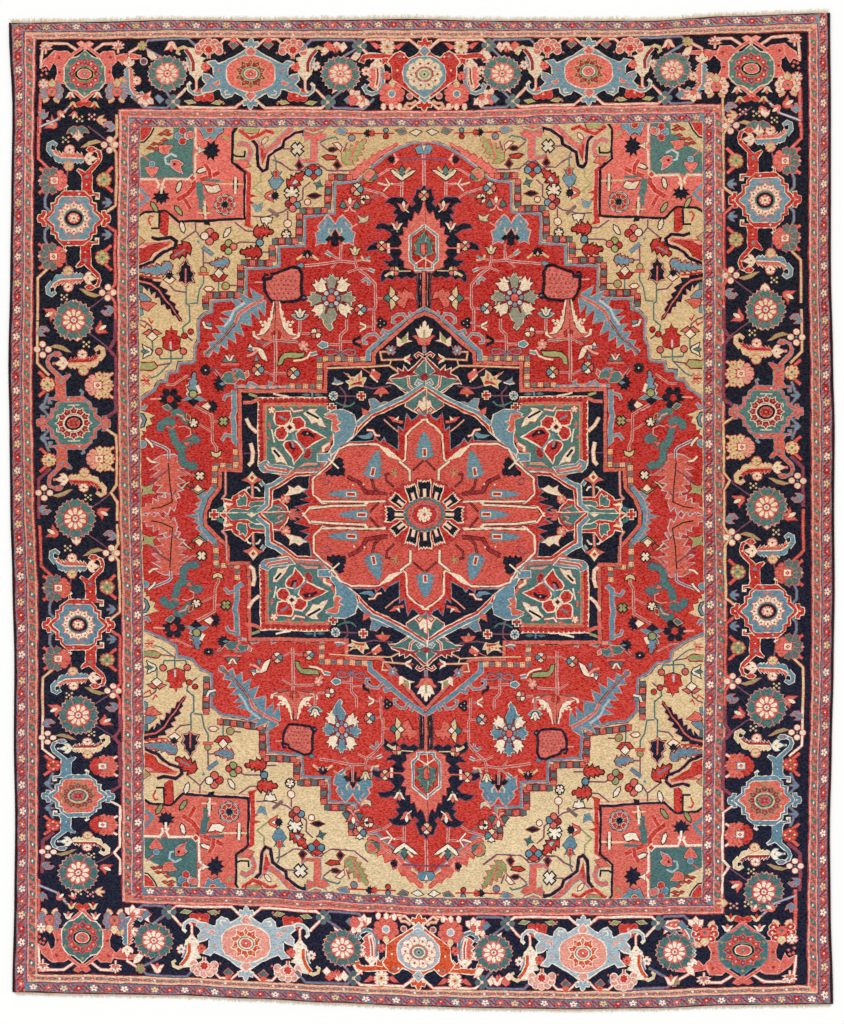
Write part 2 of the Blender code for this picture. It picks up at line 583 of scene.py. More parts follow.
@dataclass(frozen=True)
class GuardStripes:
    """The guard stripes inside and outside the main border."""

    outer_flowers: Stripe = Stripe(399.8, 408.7, 482.8, 489.6)
    outer_vine: Stripe = Stripe(390.4, 396.6, 475.6, 480.2)
    inner_vine: Stripe = Stripe(294.8, 301.2, 395.2, 400.2)
    inner_flowers: Stripe = Stripe(283.4, 292.4, 385.8, 392.8)
    side_flower_pitch: float = 13.4
    end_flower_pitch: float = 15.1
    side_vine_pitch: float = 17.2
    end_vine_pitch: float = 23.6

    LINES: ClassVar[tuple[tuple[float, float, Wool], ...]] = (
        # half width, half length, wool from there inwards
        (416.0, 504.0, BROWN),
        (410.8, 492.0, BROWN),
        (409.7, 490.4, MADDER),
        (408.9, 489.7, SKY),
        (399.4, 482.4, PLUM),
        (398.6, 481.6, MADDER),
        (398.0, 481.0, ROSE),
        (396.6, 479.9, TEAL),
        (390.4, 475.9, ROSE),
        (388.4, 475.0, MADDER),
        (387.2, 473.8, NAVY),
        (304.6, 402.8, MADDER),
        (303.4, 401.8, ROSE),
        (301.2, 400.2, TEAL),
        (294.8, 395.2, ROSE),
        (293.4, 393.8, PLUM),
        (292.4, 392.8, SKY),
        (283.4, 385.8, PLUM),
        (282.4, 385.0, GOLD),
        (281.6, 384.4, GOLD),
    )

    def draw(self, chart: Chart) -> None:
        """Lays the lines as closed bands, one inside the next, then the stripes' repeats.

        Args:
            chart: the whole chart.
        """
        for (side, end, wool), (inner_side, inner_end, _) in zip(self.LINES, self.LINES[1:]):
            outer, inner = frame(side, end), frame(inner_side, inner_end)[::-1]
            chart.fill(wool, outer + outer[:1] + inner[-1:] + inner)
        for end in (1, -1):
            chart.fill(
                ROSE, path(-396, 475.6 * end, 396, 475.6 * end, 396.6, 479.9 * end, -396.6, 479.9 * end)
            )
            chart.fill(CORAL, path(-300, 395.0 * end, 300, 395.0 * end, 300.6, 400 * end, -300.6, 400 * end))
            for level in (480.5, 475.3):
                chart.line(GOLD, path(-397, level * end, 397, level * end), 1.1)
        for stripe in (self.outer_vine, self.inner_vine):
            for i, place in enumerate(stripe.sides(chart, self.side_vine_pitch)):
                self.vine(place, i)
            for i, place in enumerate(stripe.ends(chart, self.end_vine_pitch)):
                self.end_vine(place, i)
        for stripe in (self.outer_flowers, self.inner_flowers):
            for i, place in enumerate(stripe.sides(chart, self.side_flower_pitch)):
                self.flower(place, i, 1.0)
            for i, place in enumerate(stripe.ends(chart, self.end_flower_pitch)):
                self.flower(place, i, 1.12)

    def vine(self, place: Chart, index: int) -> None:
        """One repeat of a side's narrow stripe: a zigzag vine, its diagonal leaf and a dot between beads.

        Args:
            place: its place.
            index: its number along the stripe.
        """
        place.line(CORAL, [(-5.6, -5), (-3.6, 2.6), (-1.5, 3.4), (1.5, -3.4), (3.6, -2.6), (5.6, 5)], 2.5)
        place.line(RED, [(-2.4, -1.8), (2.4, 1.8)], 2.0)
        place.dots(IVORY if index % 3 else GREEN, [(8.6, 0)], 1.9)
        place.dots(CORAL, [(7.0, 3.6), (10.2, -3.6), (-4.6, -3.4), (4.6, 3.2)], 1.4)

    def end_vine(self, place: Chart, index: int) -> None:
        """One repeat of an end's narrow stripe: beads in teal rings between slanting leaves.

        Args:
            place: its place.
            index: its number along the stripe.
        """
        for x in (-6.4, 5.2):
            ring = path(-4.6, 0.6, -3.2, -2.3, 2.6, -2.5, 4.6, -0.6, 3.2, 2.3, -2.6, 2.5)
            place.at(x, 0).fill(TEAL, ring)
            place.at(x, 0).fill(ROSE, [(u * 0.64, v * 0.36) for u, v in ring])
            place.dots(CORAL, [(x - 1.4, 0.2), (x + 1.4, -0.2)], 1.2)
        place.line(MADDER, path(-1.8, 2.2, 0.4, -2.2), 1.3)
        place.line(TEAL, path(9.8, 2.2, 11.4, -2.2), 1.2)
        place.dots(IVORY if index % 3 else GREEN, [(-11.2, 0)], 1.8)

    def flower(self, place: Chart, index: int, reach: float) -> None:
        """One repeat of the wide stripe: a flower, in turn red and pale, with a dark leaf slanting past it.

        Args:
            place: its place.
            index: its number along the stripe.
            reach: how far the leaf lies from the flower, 1 on the sides.
        """
        x = 6.8 * reach
        place.line(
            MADDER,
            path(x - 3.4, 4.4, x - 2.4, 2.2, x - 0.6, 1.4, x + 0.6, -1.4, x + 2.4, -2.2, x + 3.4, -4.4), 1.9,
        )
        place.line(PLUM, path(x - 3.0, -0.6, x - 2.0, -3.8, x - 0.2, -4.2), 1.3)
        place.line(PLUM, path(x + 3.0, 0.6, x + 2.0, 3.8, x + 0.2, 4.2), 1.3)
        if reach == 1.0:
            place.dots(RED, [(x - 2.6, -1.9), (x + 2.6, 1.9)], 1.9)
        place.dots(CORAL, [(x - 0.4, 3.6), (x + 0.4, -3.6)], 1.5)
        pale = index % 2 == 0
        place.fill(MADDER, petalled(5, 4.9, 3.4, 0.5, 0.5 * (index % 4 // 2)))
        petals = (GOLD if index % 6 == 2 else IVORY) if pale else (RED if index % 6 == 3 else CORAL)
        place.fill(petals, petalled(5, 4.1, 1.9, 0.5, 0.5 * (index % 4 // 2)))
        place.dots(RED if pale else IVORY, [(0, 0)], 1.2)


@dataclass(frozen=True)
class Rosette:
    """A round flower of scalloped rings around a pointed star."""

    ring: Wool = TEAL
    edge: Wool = CORAL
    star: Wool = RED
    petals: Wool = IVORY
    eye: Wool = SKY
    lobes: int = 8

    def draw(self, chart: Chart) -> None:
        """Lays the rosette 40 knots across.

        Args:
            chart: its place.
        """
        teeth = [polar(20.0 if k % 2 else 17.8, math.tau * k / 48) for k in range(48)]
        chart.edged(self.ring, ROSE, teeth, 0.6)
        for k in range(self.lobes):
            x, y = polar(19.6, math.tau * (k + 0.5) / self.lobes)
            chart.line(self.edge, [(x * 0.56, y * 0.56), (x, y)], 0.9)
        chart.edged(self.edge, self.star, petalled(10, 11.6, 10.4, 0.6), 0.6)
        petal = mirrored(path(0, 3.4, 1.3, 5.2, 2.0, 8.0, 1.3, 10.4, 0, 11.0))
        for k in range(10):
            chart.at(0, 0, 36 * k).edged(self.petals, self.star, petal, 0.4)
        chart.edged(self.star, self.edge, petalled(10, 4.0, 3.4, 0.5), 0.5)
        chart.fill(self.petals, petalled(8, 2.8, 2.0, 0.5))
        chart.dots(self.eye, [(0, 0)], 1.5)


@dataclass(frozen=True)
class SmallFlower:
    """The little flowers that fill the grounds: four or more blunt petals around an eye."""

    petals: Wool = IVORY
    edge: Wool | None = CORAL
    eye: Wool = RED
    count: int = 4
    radius: float = 5.2

    def draw(self, chart: Chart) -> None:
        """Lays the flower around the place's origin.

        Args:
            chart: its place.
        """
        outline = petalled(self.count, self.radius, self.radius * 0.42, 0.5)
        chart.edged(self.petals, self.edge, outline, 0.8)
        chart.dots(self.eye, [(0, 0)], self.radius * 0.26)


def tulip(chart: Chart, petals: Wool, inner: Wool, edge: Wool | None = None) -> None:
    """A tulip about 12 knots high that opens upwards.

    Args:
        chart: its place, at the foot of the flower.
        petals: the outer petals' wool.
        inner: the middle petal's wool.
        edge: the wool around it, if any.
    """
    chart.edged(
        petals, edge, mirrored([(0, 0), (3.2, 1.6), (4.4, 5.0), (7.4, 9.6), (3.6, 8.6), (1.6, 6.4)]), 0.8
    )
    chart.fill(inner, mirrored([(0, 3.0), (2.0, 6.6), (1.6, 10.0), (0, 12.0)]))


def bud(chart: Chart, wool: Wool, edge: Wool | None = None) -> None:
    """A three-pointed bud about 9 knots high that opens upwards."""
    outline = mirrored([(0, 0), (1.8, 1.4), (3.4, 2.6), (5.2, 7.2), (2.8, 5.4), (1.2, 4.8), (0.8, 9.0)])
    chart.edged(wool, edge, outline, 0.7)


def cross(chart: Chart, wool: Wool) -> None:
    """A small cross of five dots."""
    chart.dots(wool, [(0, 0), (2.6, 2.2), (-2.6, 2.2), (2.6, -2.2), (-2.6, -2.2)], 1.35)


@dataclass(frozen=True)
class BorderDress:
    """The wools of one palmette unit of the main border."""

    band: Wool = RED
    band_edge: Wool = IVORY
    ground: Wool = SKY
    petals: Wool = IVORY
    tips: Wool = CORAL
    rings: tuple[Wool, Wool, Wool] = (TEAL, NAVY, RED)
    leaf: tuple[Wool, Wool] = (CORAL, SKY)
    leaf_edge: Wool = IVORY
    fan: Wool = TEAL
    fan_petals: Wool = CORAL
    vine: Wool = CORAL
    far_vine: Wool = GOLD
    star: Wool = GREEN


@dataclass(frozen=True)
class BorderUnit:
    """A palmette of the main border with its arms, leaves and flowers, up to the rosette at each end.

    The unit is drawn for a side border: x runs across it towards the field, y along it.
    """

    dress: BorderDress = BorderDress()
    reach: float = 102.0  # knots from the palmette to the rosette
    near: float = 41.5  # where the vine by the field runs
    far: float = -35.6  # where the vine by the carpet's edge runs
    drift: float = 4.0  # how far the leaves of a turned unit lie towards the field

    def draw(self, chart: Chart, up: float, down: float, hand: int = 1) -> None:
        """Lays the unit.

        Args:
            chart: its place, at the palmette's middle.
            up: knots to the next rosette.
            down: knots to the rosette before it, or 0 if the unit begins here.
            hand: 1 with the arms towards the field, -1 with the arms away from it.
        """
        halves = [chart.at(0, 0, tall=up / self.reach)]
        if down:
            halves.append(chart.at(0, 0, tall=-down / self.reach))
        for index, half in enumerate(halves):
            self.vines(half, index)
        for half in halves:
            turned = half.at(0, 0, wide=hand)
            shifted = half if hand > 0 else half.at(self.drift, 0, wide=-1)
            self.arm(turned)
            self.saz_leaf(shifted.at(4, 60))
            self.fan_flower(shifted.at(-20, 38))
            self.fillers(shifted)
        self.palmette(chart.at(0, 0, wide=hand, tall=(up + (down or up)) / 2 / self.reach))

    def vines(self, half: Chart, index: int) -> None:
        """Lays the long vines of one half.

        Args:
            half: the half's place.
            index: 0 for the half towards the next rosette, 1 for the other.
        """
        dress = self.dress
        near, far = (dress.vine, dress.far_vine) if index else (dress.far_vine, dress.vine)
        bow = path(28, 3, self.near, 13, self.near, 66, self.near - 6, 74, self.near, 84, self.near, 104)
        half.line(near, bow, 2.2, MADDER)
        half.line(far, path(self.far + 12, 48, self.far, 60, self.far, 102), 2.2, MADDER)
        half.line(SKY, path(-25, 30, -28.6, 20, -28.6, 12, -23, 6), 1.8, PLUM)
        half.line(PLUM, path(-8, 40, -7, 46, -7, 51), 1.6)
        half.line(PLUM, path(24, 66, 34, 76, 24, 84, 13, 92), 1.3)

    def arm(self, half: Chart) -> None:
        """Lays the stepped shaft that rises from the palmette's corner and its hooked arm.

        Args:
            half: the half's place.
        """
        dress = self.dress
        hook = path(12.5, 45, 24, 57, 25.6, 62, 24, 67, 19.6, 69.4)
        half.fill(dress.band_edge, ribbon(hook, 5.2, 3.5))
        shaft = path(
            6, 22, 7.6, 30, 7.4, 42, 2.6, 48, 3.6, 49.4, 7.4, 48, 12, 45.6, 17, 48, 17.6, 38, 17, 30, 20, 24
        )
        half.edged(dress.band, dress.band_edge, shaft, 0.6)
        half.fill(dress.band, ribbon(hook, 3.9, 2.2))
        half.dots(SKY, [(12, 42)], 2.1)
        half.dots(dress.band_edge, [(12, 34)], 0.9)
        tip = path(11.6, 68.6, 14, 71.6, 18.6, 71.6, 21.6, 68.8, 18, 66.8, 14, 67)
        half.edged(dress.band, dress.band_edge, tip, 0.6)
        half.dots(CORAL, [(16.6, 69.2)], 1.3)
        half.line(dress.band_edge, path(18, 25, 24, 24.6, 24, 20.6, 21, 20.6), 3.0)
        half.line(dress.band, path(18, 25, 23.6, 24.2, 23.6, 21), 1.7)
        half.line(dress.band_edge, path(-8, 26, -9.4, 31, -6.6, 33), 2.8)
        half.line(dress.band, path(-8, 25, -9.2, 30.6), 1.6)

    def palmette(self, chart: Chart) -> None:
        """Lays the stepped cartouche, its star flower and the trefoils at its tips.

        Args:
            chart: its place.
        """
        dress = self.dress
        for side in chart.sides():
            half = path(24, 1.2, 31, 1.0, 33.4, 3, 32.4, 7.4, 36.4, 7.8, 37.4, 4.2, 41.4, 3.4, 42.4, 0)
            trefoil = half + [(x, -y) for x, y in reversed(half[:-1])]
            small = [(x * 0.86, y) for x, y in trefoil]
            side.edged(dress.band, dress.band_edge, small, 0.6)
            side.line(dress.band_edge, path(31, 0, 33, 0), 1.2)
        band = path(
            0, 27, 10, 27, 13.6, 23.6, 17.6, 20, 18, 16, 22.4, 15, 22.4, 8, 26, 5.6, 29.6, 1.0, 29.6, 0
        )
        chart.edged(dress.band, dress.band_edge, quartered(band), 0.7)
        ground = path(0, 21.5, 12, 21.5, 15, 18.6, 15, 14, 19, 12.6, 19, 6.6, 25.6, 0.6, 25.6, 0)
        chart.edged(dress.ground, dress.band_edge, quartered(ground), 0.7)
        for tall in (1, -1):
            half = chart.at(0, 0, tall=tall)
            half.line(dress.tips, path(-6, 18.6, 6, 18.6), 1.0)
            half.line(dress.rings[0], path(16.4, 9, 16.4, 5), 0.9)
        chart.dots(dress.band, [(0, 24.4), (0, -24.4), (20.6, 10.4), (20.6, -10.4)], 1.2)
        chart.dots(PALE, [(5, 24.4), (-5, -24.4)], 1.4)
        for k in range(12):
            petal = chart.at(0, 0, 30 * k)
            petal.edged(
                dress.petals, dress.tips,
                path(-2.6, 10, -3.6, 14.4, -1.8, 14.2, 0, 17.2, 1.8, 14.2, 3.6, 14.4, 2.6, 10), 0.7,
            )
            petal.dots(dress.band, [(0, 13.2)], 1.2)
        for wool, radius in zip(dress.rings, (10.2, 8.8, 6.4)):
            chart.fill(wool, [(x, y * 0.86) for x, y in petalled(10, radius, radius, 0.5)])
        chart.fill(dress.petals, [(x, y * 0.86) for x, y in petalled(8, 5.4, 3.0, 0.55)])
        chart.dots(dress.band, [polar(3.6, math.tau * k / 4) for k in range(4)], 0.8)
        chart.dots(dress.rings[2], [(0, 0)], 1.5)

    def saz_leaf(self, chart: Chart) -> None:
        """Lays the long toothed leaf across the border, curled at its tip, with a small flower on each side.

        Args:
            chart: its place.
        """
        dress = self.dress
        spine = path(6, 0, -16, 0.6, -24, 4, -27.6, 9)
        upper, lower = list(spine), list(spine)
        for k in range(8):
            x = -21.6 + 3.6 * k
            top = 6.4 - abs(x + 9) * 0.1 + max(0.0, -x - 17) * 1.1
            upper += [(x - 1.4, top - 2.4), (x - 1.0, top + 0.4)]
            lower += [(x - 1.2, max(0.0, -x - 15) * 0.4 - 6.2 + abs(x + 8) * 0.1), (x + 1.2, -3.4)]
        chart.fill(dress.leaf_edge, grown(upper, 0.6))
        chart.fill(dress.leaf_edge, grown(lower, 0.6))
        chart.fill(dress.leaf[0], upper)
        chart.fill(dress.leaf[1], lower)
        curl = path(-25, 3.6, -29.4, 9, -29, 14.4, -25.4, 16.4, -22.6, 14.4, -23.6, 12.4)
        chart.fill(dress.leaf_edge, ribbon(curl, 5.4, 3.3))
        chart.fill(dress.leaf[1], ribbon(curl, 4.2, 2.0))
        chart.line(dress.leaf_edge, path(8, 0, -17, 0.8, -25, 5.6), 1.1)
        chart.line(dress.leaf_edge, path(12, 0, 21, 0), 1.6, dress.band)
        cup = mirrored(path(0, -13, 2.0, -9.6, 3.2, -6.6, 5.6, -8.6, 6.4, -5, 4.6, -2.6, 1.6, -1, 0, 0.6))
        chart.edged(IVORY, dress.band, [(5.6 - y, x) for x, y in cup], 0.6)
        chart.dots(dress.band, [(10.4, 0)], 1.1)
        for x, y, petals, edge, eye in (
            (-9, 8.6, IVORY, CORAL, RED), (-9.6, -7.6, GOLD, CORAL, GREEN),
        ):
            chart.edged(petals, edge, petalled_at(x, y, 7, 4.4, 3.4), 0.9)
            chart.dots(eye, [(x, y)], 1.5)
            chart.dots(edge, [(x - 2.4, y + 1), (x + 2.4, y + 1)], 0.7)

    def fan_flower(self, chart: Chart) -> None:
        """Lays the flower seen from the side: leaves behind, a square eye and a fan of petals.

        Args:
            chart: its place.
        """
        dress = self.dress
        for tall in (1, -1):
            half = chart.at(0, 0, tall=tall)
            half.line(dress.vine, path(-8, 7.6, -15, 12.6), 2.2, RED)
            for angle, distance in ((-75, 10.6), (-40, 11.6), (-6, 9.6)):
                x, y = polar(distance, math.radians(angle))
                leaf = half.at(x, y, -angle)
                leaf.edged(dress.fan, CORAL, mirrored(path(0, -6, 3, -2.6, 3.8, 2, 1.8, 2.6, 0, 4.4)), 0.6)
                leaf.dots(RED, [(0, 0.6)], 1.1)
            for angle in (36, 68):
                x, y = polar(8.6, math.radians(angle))
                half.edged(dress.fan_petals, MADDER, petalled_at(x + 0.6, y, 6, 3.6, 3.2), 0.5)
        chart.edged(dress.fan_petals, MADDER, petalled_at(9.4, 0.0, 6, 3.4, 3.0), 0.5)
        chart.fill(dress.fan_petals, path(0, -7, 6, -6, 8, 0, 6, 6, 0, 7))
        chart.edged(IVORY, dress.band, frame(3.6, 3.3), 0.8)
        chart.dots(RED, [(0, 0)], 2.3)
        chart.dots(ROSE, [(0, 0)], 1.1)
        chart.dots(ROSE, [(-14.6, 0)], 1.8)

    def fillers(self, half: Chart) -> None:
        """Lays the small flowers and buds of one half.

        Args:
            half: the half's place.
        """
        dress = self.dress
        half.line(CORAL, path(31, 45, 38, 51.6), 2.2, RED)
        half.line(CORAL, path(31, 33, 38, 26.6), 2.2, RED)
        half.edged(dress.star, RED, petalled_at(29, 39, 8, 7.0, 5.6), 0.8)
        for k in range(8):
            x, y = polar(4.6, math.tau * k / 8)
            half.dots(CORAL if k % 2 else GOLD, [(29 + x, 39 + y)], 1.5)
        half.dots(TEAL, [(29, 39)], 1.6)
        for x, y in ((34.4, 68.6), (34.4, 79.4), (28.8, 74), (40, 74)):
            half.edged(IVORY, CORAL, petal_at(x, y, 2.9), 0.6)
        half.dots(SKY, [(34.4, 74)], 1.4)
        bud(half.at(37.6, 16, 90), SKY, PLUM)
        tulip(half.at(-18, 92, 60), CORAL, IVORY, MADDER)
        bud(half.at(0, 82), IVORY, CORAL)
        leaf = path(27, 76.6, 21, 78.6, 14, 76.6, 6, 70.8, 10, 71.4, 15, 73.6, 21, 75.6)
        half.edged(GREEN, CORAL, leaf, 0.6)
        bud(half.at(40, 90, 70), SKY, CORAL)
        cross(half.at(-9, 79), GOLD)
        half.line(SKY, path(28, 92, 32, 96, 37, 96), 2.0, CORAL)


@dataclass(frozen=True)
class EndUnit:
    """A palmette of the border's ends with its arms, leaves and flowers.

    It is drawn with x along the end and y towards the side that its arms are on.
    """

    dress: BorderDress
    winged: bool  # whether it has stepped wings around an eight-sided ground, or long arms and a round ring
    crossing: float  # knots from its middle to the crossing of its two vines
    margin: float = 34.4  # knots from its middle to the vines along the border's edge

    def draw(self, chart: Chart, rosettes: Point, palmettes: Point) -> None:
        """Lays the unit.

        Args:
            chart: its place, at the palmette's middle, with the arms upward.
            rosettes: knots to the rosette at the right and to that at the left.
            palmettes: knots to the palmette beyond each.
        """
        for side, rosette, palmette in zip(chart.sides(), rosettes, palmettes):
            self.vines(side, rosette, palmette)
            self.leaf(side.at(54, 1) if self.winged else side.at(47, 10))
            if self.winged:
                self.outer_flowers(side, rosette)
            else:
                self.middle_flowers(side, rosette)
        if self.winged:
            self.winged_palmette(chart)
        else:
            self.round_palmette(chart)

    def vines(self, side: Chart, rosette: float, palmette: float) -> None:
        """Lays one side's two vines and the small flower where they cross.

        Args:
            side: the side's place.
            rosette: knots to the rosette on this side.
            palmette: knots to the palmette beyond it.
        """
        at, edge = self.crossing, self.margin
        bow = path(
            rosette + (3 if self.winged else 1), 15, at, 28, at + 6, edge, palmette - 60, edge,
            palmette - 50, 24,
        )
        side.line(SKY, bow, 1.4, PLUM)
        side.line(IVORY, path(4, 25, 15, edge, at - 7, edge, at, 28.6, at - 13, 15), 1.8, CORAL)
        side.line(IVORY, path(4, -26, 14, -edge, 26, -edge, 33, -28), 1.5, CORAL)
        for x, y in ((-4.6, 0), (4.6, 0), (0, 4.4), (0, -4.4)):
            side.edged(TEAL, PLUM, petal_at(at + x, 28.4 + y, 2.7), 0.4)
        side.dots(GOLD, [(at, 28.4)], 1.6)

    def leaf(self, place: Chart) -> None:
        """Lays the long leaf that hangs from the arm, toothed on one side and curled at its tip.

        Args:
            place: its place.
        """
        dress = self.dress
        if self.winged:
            teeth = path(
                0, -1, -3.4, -3, -8.4, -6.4, -4.6, -8, -9, -11.4, -4.8, -13, -8.4, -16.6, -3, -18, -5, -21.6,
                1.4, -22.6, 2, -26, 8, -26.6, 9, -23, 4.4, -19, 2, -12, 2, -2,
            )
            place.edged(IVORY, GOLD, teeth, 0.7)
            place.fill(
                dress.leaf_edge, ribbon(path(8, -24.6, 13, -27.4, 18, -25.4, 19, -21.6, 16, -19.8), 3.6, 2.6)
            )
            place.line(dress.leaf[0], path(3, -3, 3, -12, 6, -19, 11, -25), 3.2, IVORY)
            place.line(SKY, path(6.4, -3.6, 6.6, -12, 9.4, -17.6), 1.8, IVORY)
            place.line(IVORY, path(0, 2, 0, 15, 4, 19), 1.6, CORAL)
        else:
            teeth = path(
                4, -3, 8.6, -4.6, 5.4, -7.6, 9.6, -9.6, 5.6, -12.4, 9.6, -14.6, 6, -17.6, 8.6, -20.4,
                4.6, -24, 0, -26, -2, -10,
            )
            place.edged(dress.leaf[1], IVORY, teeth, 0.9)
            place.line(
                SKY, path(-5, -2, -5.4, -20, -2, -27, 5, -29.4, 11, -27.4, 13.4, -23, 11, -20.6), 2.8, IVORY
            )
            place.line(IVORY, path(-0.4, -3, -0.6, -14, 1.4, -24), 4.4, CORAL)
            place.line(dress.leaf[0], path(-0.4, -4, -0.4, -14, 1, -21), 1.7)
            place.line(IVORY, path(0, 2, 0, 8), 1.6, CORAL)
        cup = mirrored(path(0, -4, 3.6, -2.4, 7, -5, 6.4, -0.6, 3, 2.4, 1.4, 5, 0, 5.6))
        place.edged(IVORY, GOLD if self.winged else CORAL, cup, 0.5)
        place.dots(CORAL, [(0, 1)], 1.0)

    def outer_flowers(self, side: Chart, rosette: float) -> None:
        """Lays the flowers of a winged palmette's side.

        Args:
            side: the side's place.
            rosette: knots to the rosette on this side.
        """
        dress = self.dress
        fan = side.at(42, -24)
        for k in range(7):
            x, y = polar(8.4, math.radians(180 + 34 * (k - 3)))
            fan.edged(dress.fan_petals, dress.fan, petal_at(x * 1.24, y * 0.9, 3.6), 0.8)
            fan.dots(dress.band, [(x * 1.2, y * 0.86)], 1.2)
        fan.edged(dress.fan_petals, dress.fan, path(-8, 0, 0, 6.4, 8, 0, 5, -5, -5, -5), 0.7)
        fan.edged(dress.star, dress.fan, petalled(7, 4.0, 3.0), 0.6)
        fan.line(CORAL, path(0, 5, 0, 9), 2.4, dress.fan)
        bell = side.at(46.5, 23.4)
        for angle in (-100, -60, -20, 20, 60, 100):
            x, y = polar(6.4, math.radians(angle + 180))
            bell.edged(RED, CORAL, petal_at(x, y * 0.9, 3.3), 0.5)
        bell.fill(RED, petalled(7, 5.4, 4.6))
        bell.dots(ROSE, [(0, -1)], 1.7)
        bell.line(CORAL, path(0, -6, 0, -10), 1.8)
        for foot in (-1, 1):
            wing = path(8 * foot, 6.4, 12 * foot, 3.8, 19 * foot, 4.6, 15 * foot, 7.6)
            bell.edged(GREEN, GOLD, wing, 0.5)
        for x, y, petals, eye in ((44.6, -7, CORAL, RED), (65, -8, IVORY, SKY)):
            side.edged(petals, RED if petals is CORAL else CORAL, petalled_at(x, y, 5, 4.4, 2.6), 0.5)
            side.dots(eye, [(x, y)], 1.7)
        tulip(side.at(rosette - 4, -32, 0, 0.9, 0.9), IVORY, CORAL, CORAL)
        leaf = path(
            rosette + 10, -16, rosette + 14, -22, rosette + 20, -24, rosette + 19, -18, rosette + 15, -14
        )
        side.edged(IVORY, CORAL, leaf, 0.5)
        lotus = side.at(rosette + 21, 24)
        for turn in (-50, 0, 50):
            lotus.at(0, 0, turn).edged(IVORY, CORAL, mirrored(path(0, 0, 2.6, 3, 2.8, 7, 0, 10)), 0.6)
        lotus.fill(CORAL, petalled(6, 3.6, 2.4))
        side.edged(SKY, PLUM, path(rosette + 3, 26, rosette + 9, 21, rosette + 12, 24, rosette + 7, 30), 0.5)
        side.dots(CORAL, [(26, -20.5), (30, -23), (27, 30), (31, 27)], 1.4)
        side.edged(TEAL, CORAL, path(13, -29, 17, -33, 22, -29, 18, -25), 0.8)
        side.edged(CORAL, RED, path(14, -33, 17, -36, 21, -33, 17.6, -30), 0.5)

    def middle_flowers(self, side: Chart, rosette: float) -> None:
        """Lays the flowers of a middle palmette's side.

        Args:
            side: the side's place.
            rosette: knots to the rosette on this side.
        """
        dress = self.dress
        star = side.at(37, 27.4)
        star.edged(IVORY, CORAL, petalled(8, 7.4, 4.8), 0.7)
        star.fill(GOLD, petalled(8, 4.0, 3.2))
        star.dots(RED, [(0, 0)], 1.9)
        star.line(IVORY, path(0, -7, 0, -12), 1.4, CORAL)
        for hand in (-1, 1):
            horn = path(7 * hand, 0, 11 * hand, -2.4, 17 * hand, 3.6, 13 * hand, 3.4, 10 * hand, 2)
            star.edged(CORAL, RED, horn, 0.6)
        fan = side.at(32.5, -19.6)
        for k in range(9):
            x, y = polar(8.4, math.tau * k / 9)
            fan.edged(dress.fan_petals, RED, petal_at(x * 1.12, y, 3.5), 0.5)
        fan.fill(dress.fan_petals, petalled(8, 6.4, 6.0))
        fan.edged(dress.ground, IVORY, petalled(6, 3.2, 2.4), 0.9)
        fan.edged(GOLD, CORAL, mirrored(path(0, 14.6, 3.2, 10.4, 2, 7, 0, 6.6)), 0.5)
        for x in (-8, 0, 8):
            fan.edged(IVORY, CORAL, mirrored_at(x, -12.4, path(0, -4, 2.4, -1.6, 1.8, 2, 0, 3)), 0.6)
        for x, y, petals in ((37.6, -1.6, CORAL), (58, 3, IVORY)):
            side.edged(petals, CORAL if petals is IVORY else RED, petalled_at(x, y, 5, 4.2, 2.6), 0.5)
            side.dots(RED, [(x, y)], 1.5)
        curl = path(8, -26, 12, -29, 17, -29, 19, -32, 15, -34)
        side.line(GOLD, curl, 1.8, CORAL)
        side.edged(CORAL, IVORY, petal_at(14.6, -21.6, 2.8), 0.6)
        side.dots(TEAL, [(14.6, -21.6)], 1.4)
        twins = side.at(rosette + 12, 26)
        twins.edged(CORAL, RED, path(-2, -1, -6, -5, -5, 2, 1, 6, 5, 3, 3, -3), 0.6)
        twins.edged(IVORY, CORAL, path(0, -3, 4, -7, 8, -3, 4, 1), 0.5)
        side.edged(
            IVORY, CORAL, path(rosette - 1, 22, rosette + 2, 28, rosette - 3, 32, rosette - 6, 27), 0.5
        )
        lotus = side.at(rosette - 13, -23, 20)
        for turn in (-40, 20, 80):
            lotus.at(0, 0, turn).edged(IVORY, CORAL, mirrored(path(0, -1, 2.4, 2, 2.6, 6, 0, 8.6)), 0.6)
        lotus.edged(CORAL, RED, mirrored(path(0, -9, 4, -6, 5, -1, 0, 2)), 0.5)
        side.edged(IVORY, CORAL, path(rosette + 4, -17, rosette + 9, -20, rosette + 6, -13), 0.5)

    def finials(self, chart: Chart, reach: float) -> None:
        """Lays the palmette's pointed tips and the small diamonds in them.

        Args:
            chart: its place.
            reach: knots from the palmette's middle to a tip.
        """
        dress = self.dress
        tip = mirrored(path(0, -2, 3, 1, 4, 3.4, 7.6, 3.6, 6.4, 7.4, 2.6, 6.6, 1.8, 9.4, 0, 11.4))
        for tall in (1, -1):
            end = chart.at(0, 0, tall=tall)
            end.at(0, reach).edged(dress.band, dress.band_edge, tip, 0.8)
            end.edged(
                dress.ground, dress.band_edge,
                path(0, reach + 3, 5, reach - 2.6, 0, reach - 8, -5, reach - 2.6), 0.8,
            )
            end.dots(dress.band, [(0, reach - 2.4)], 1.2)

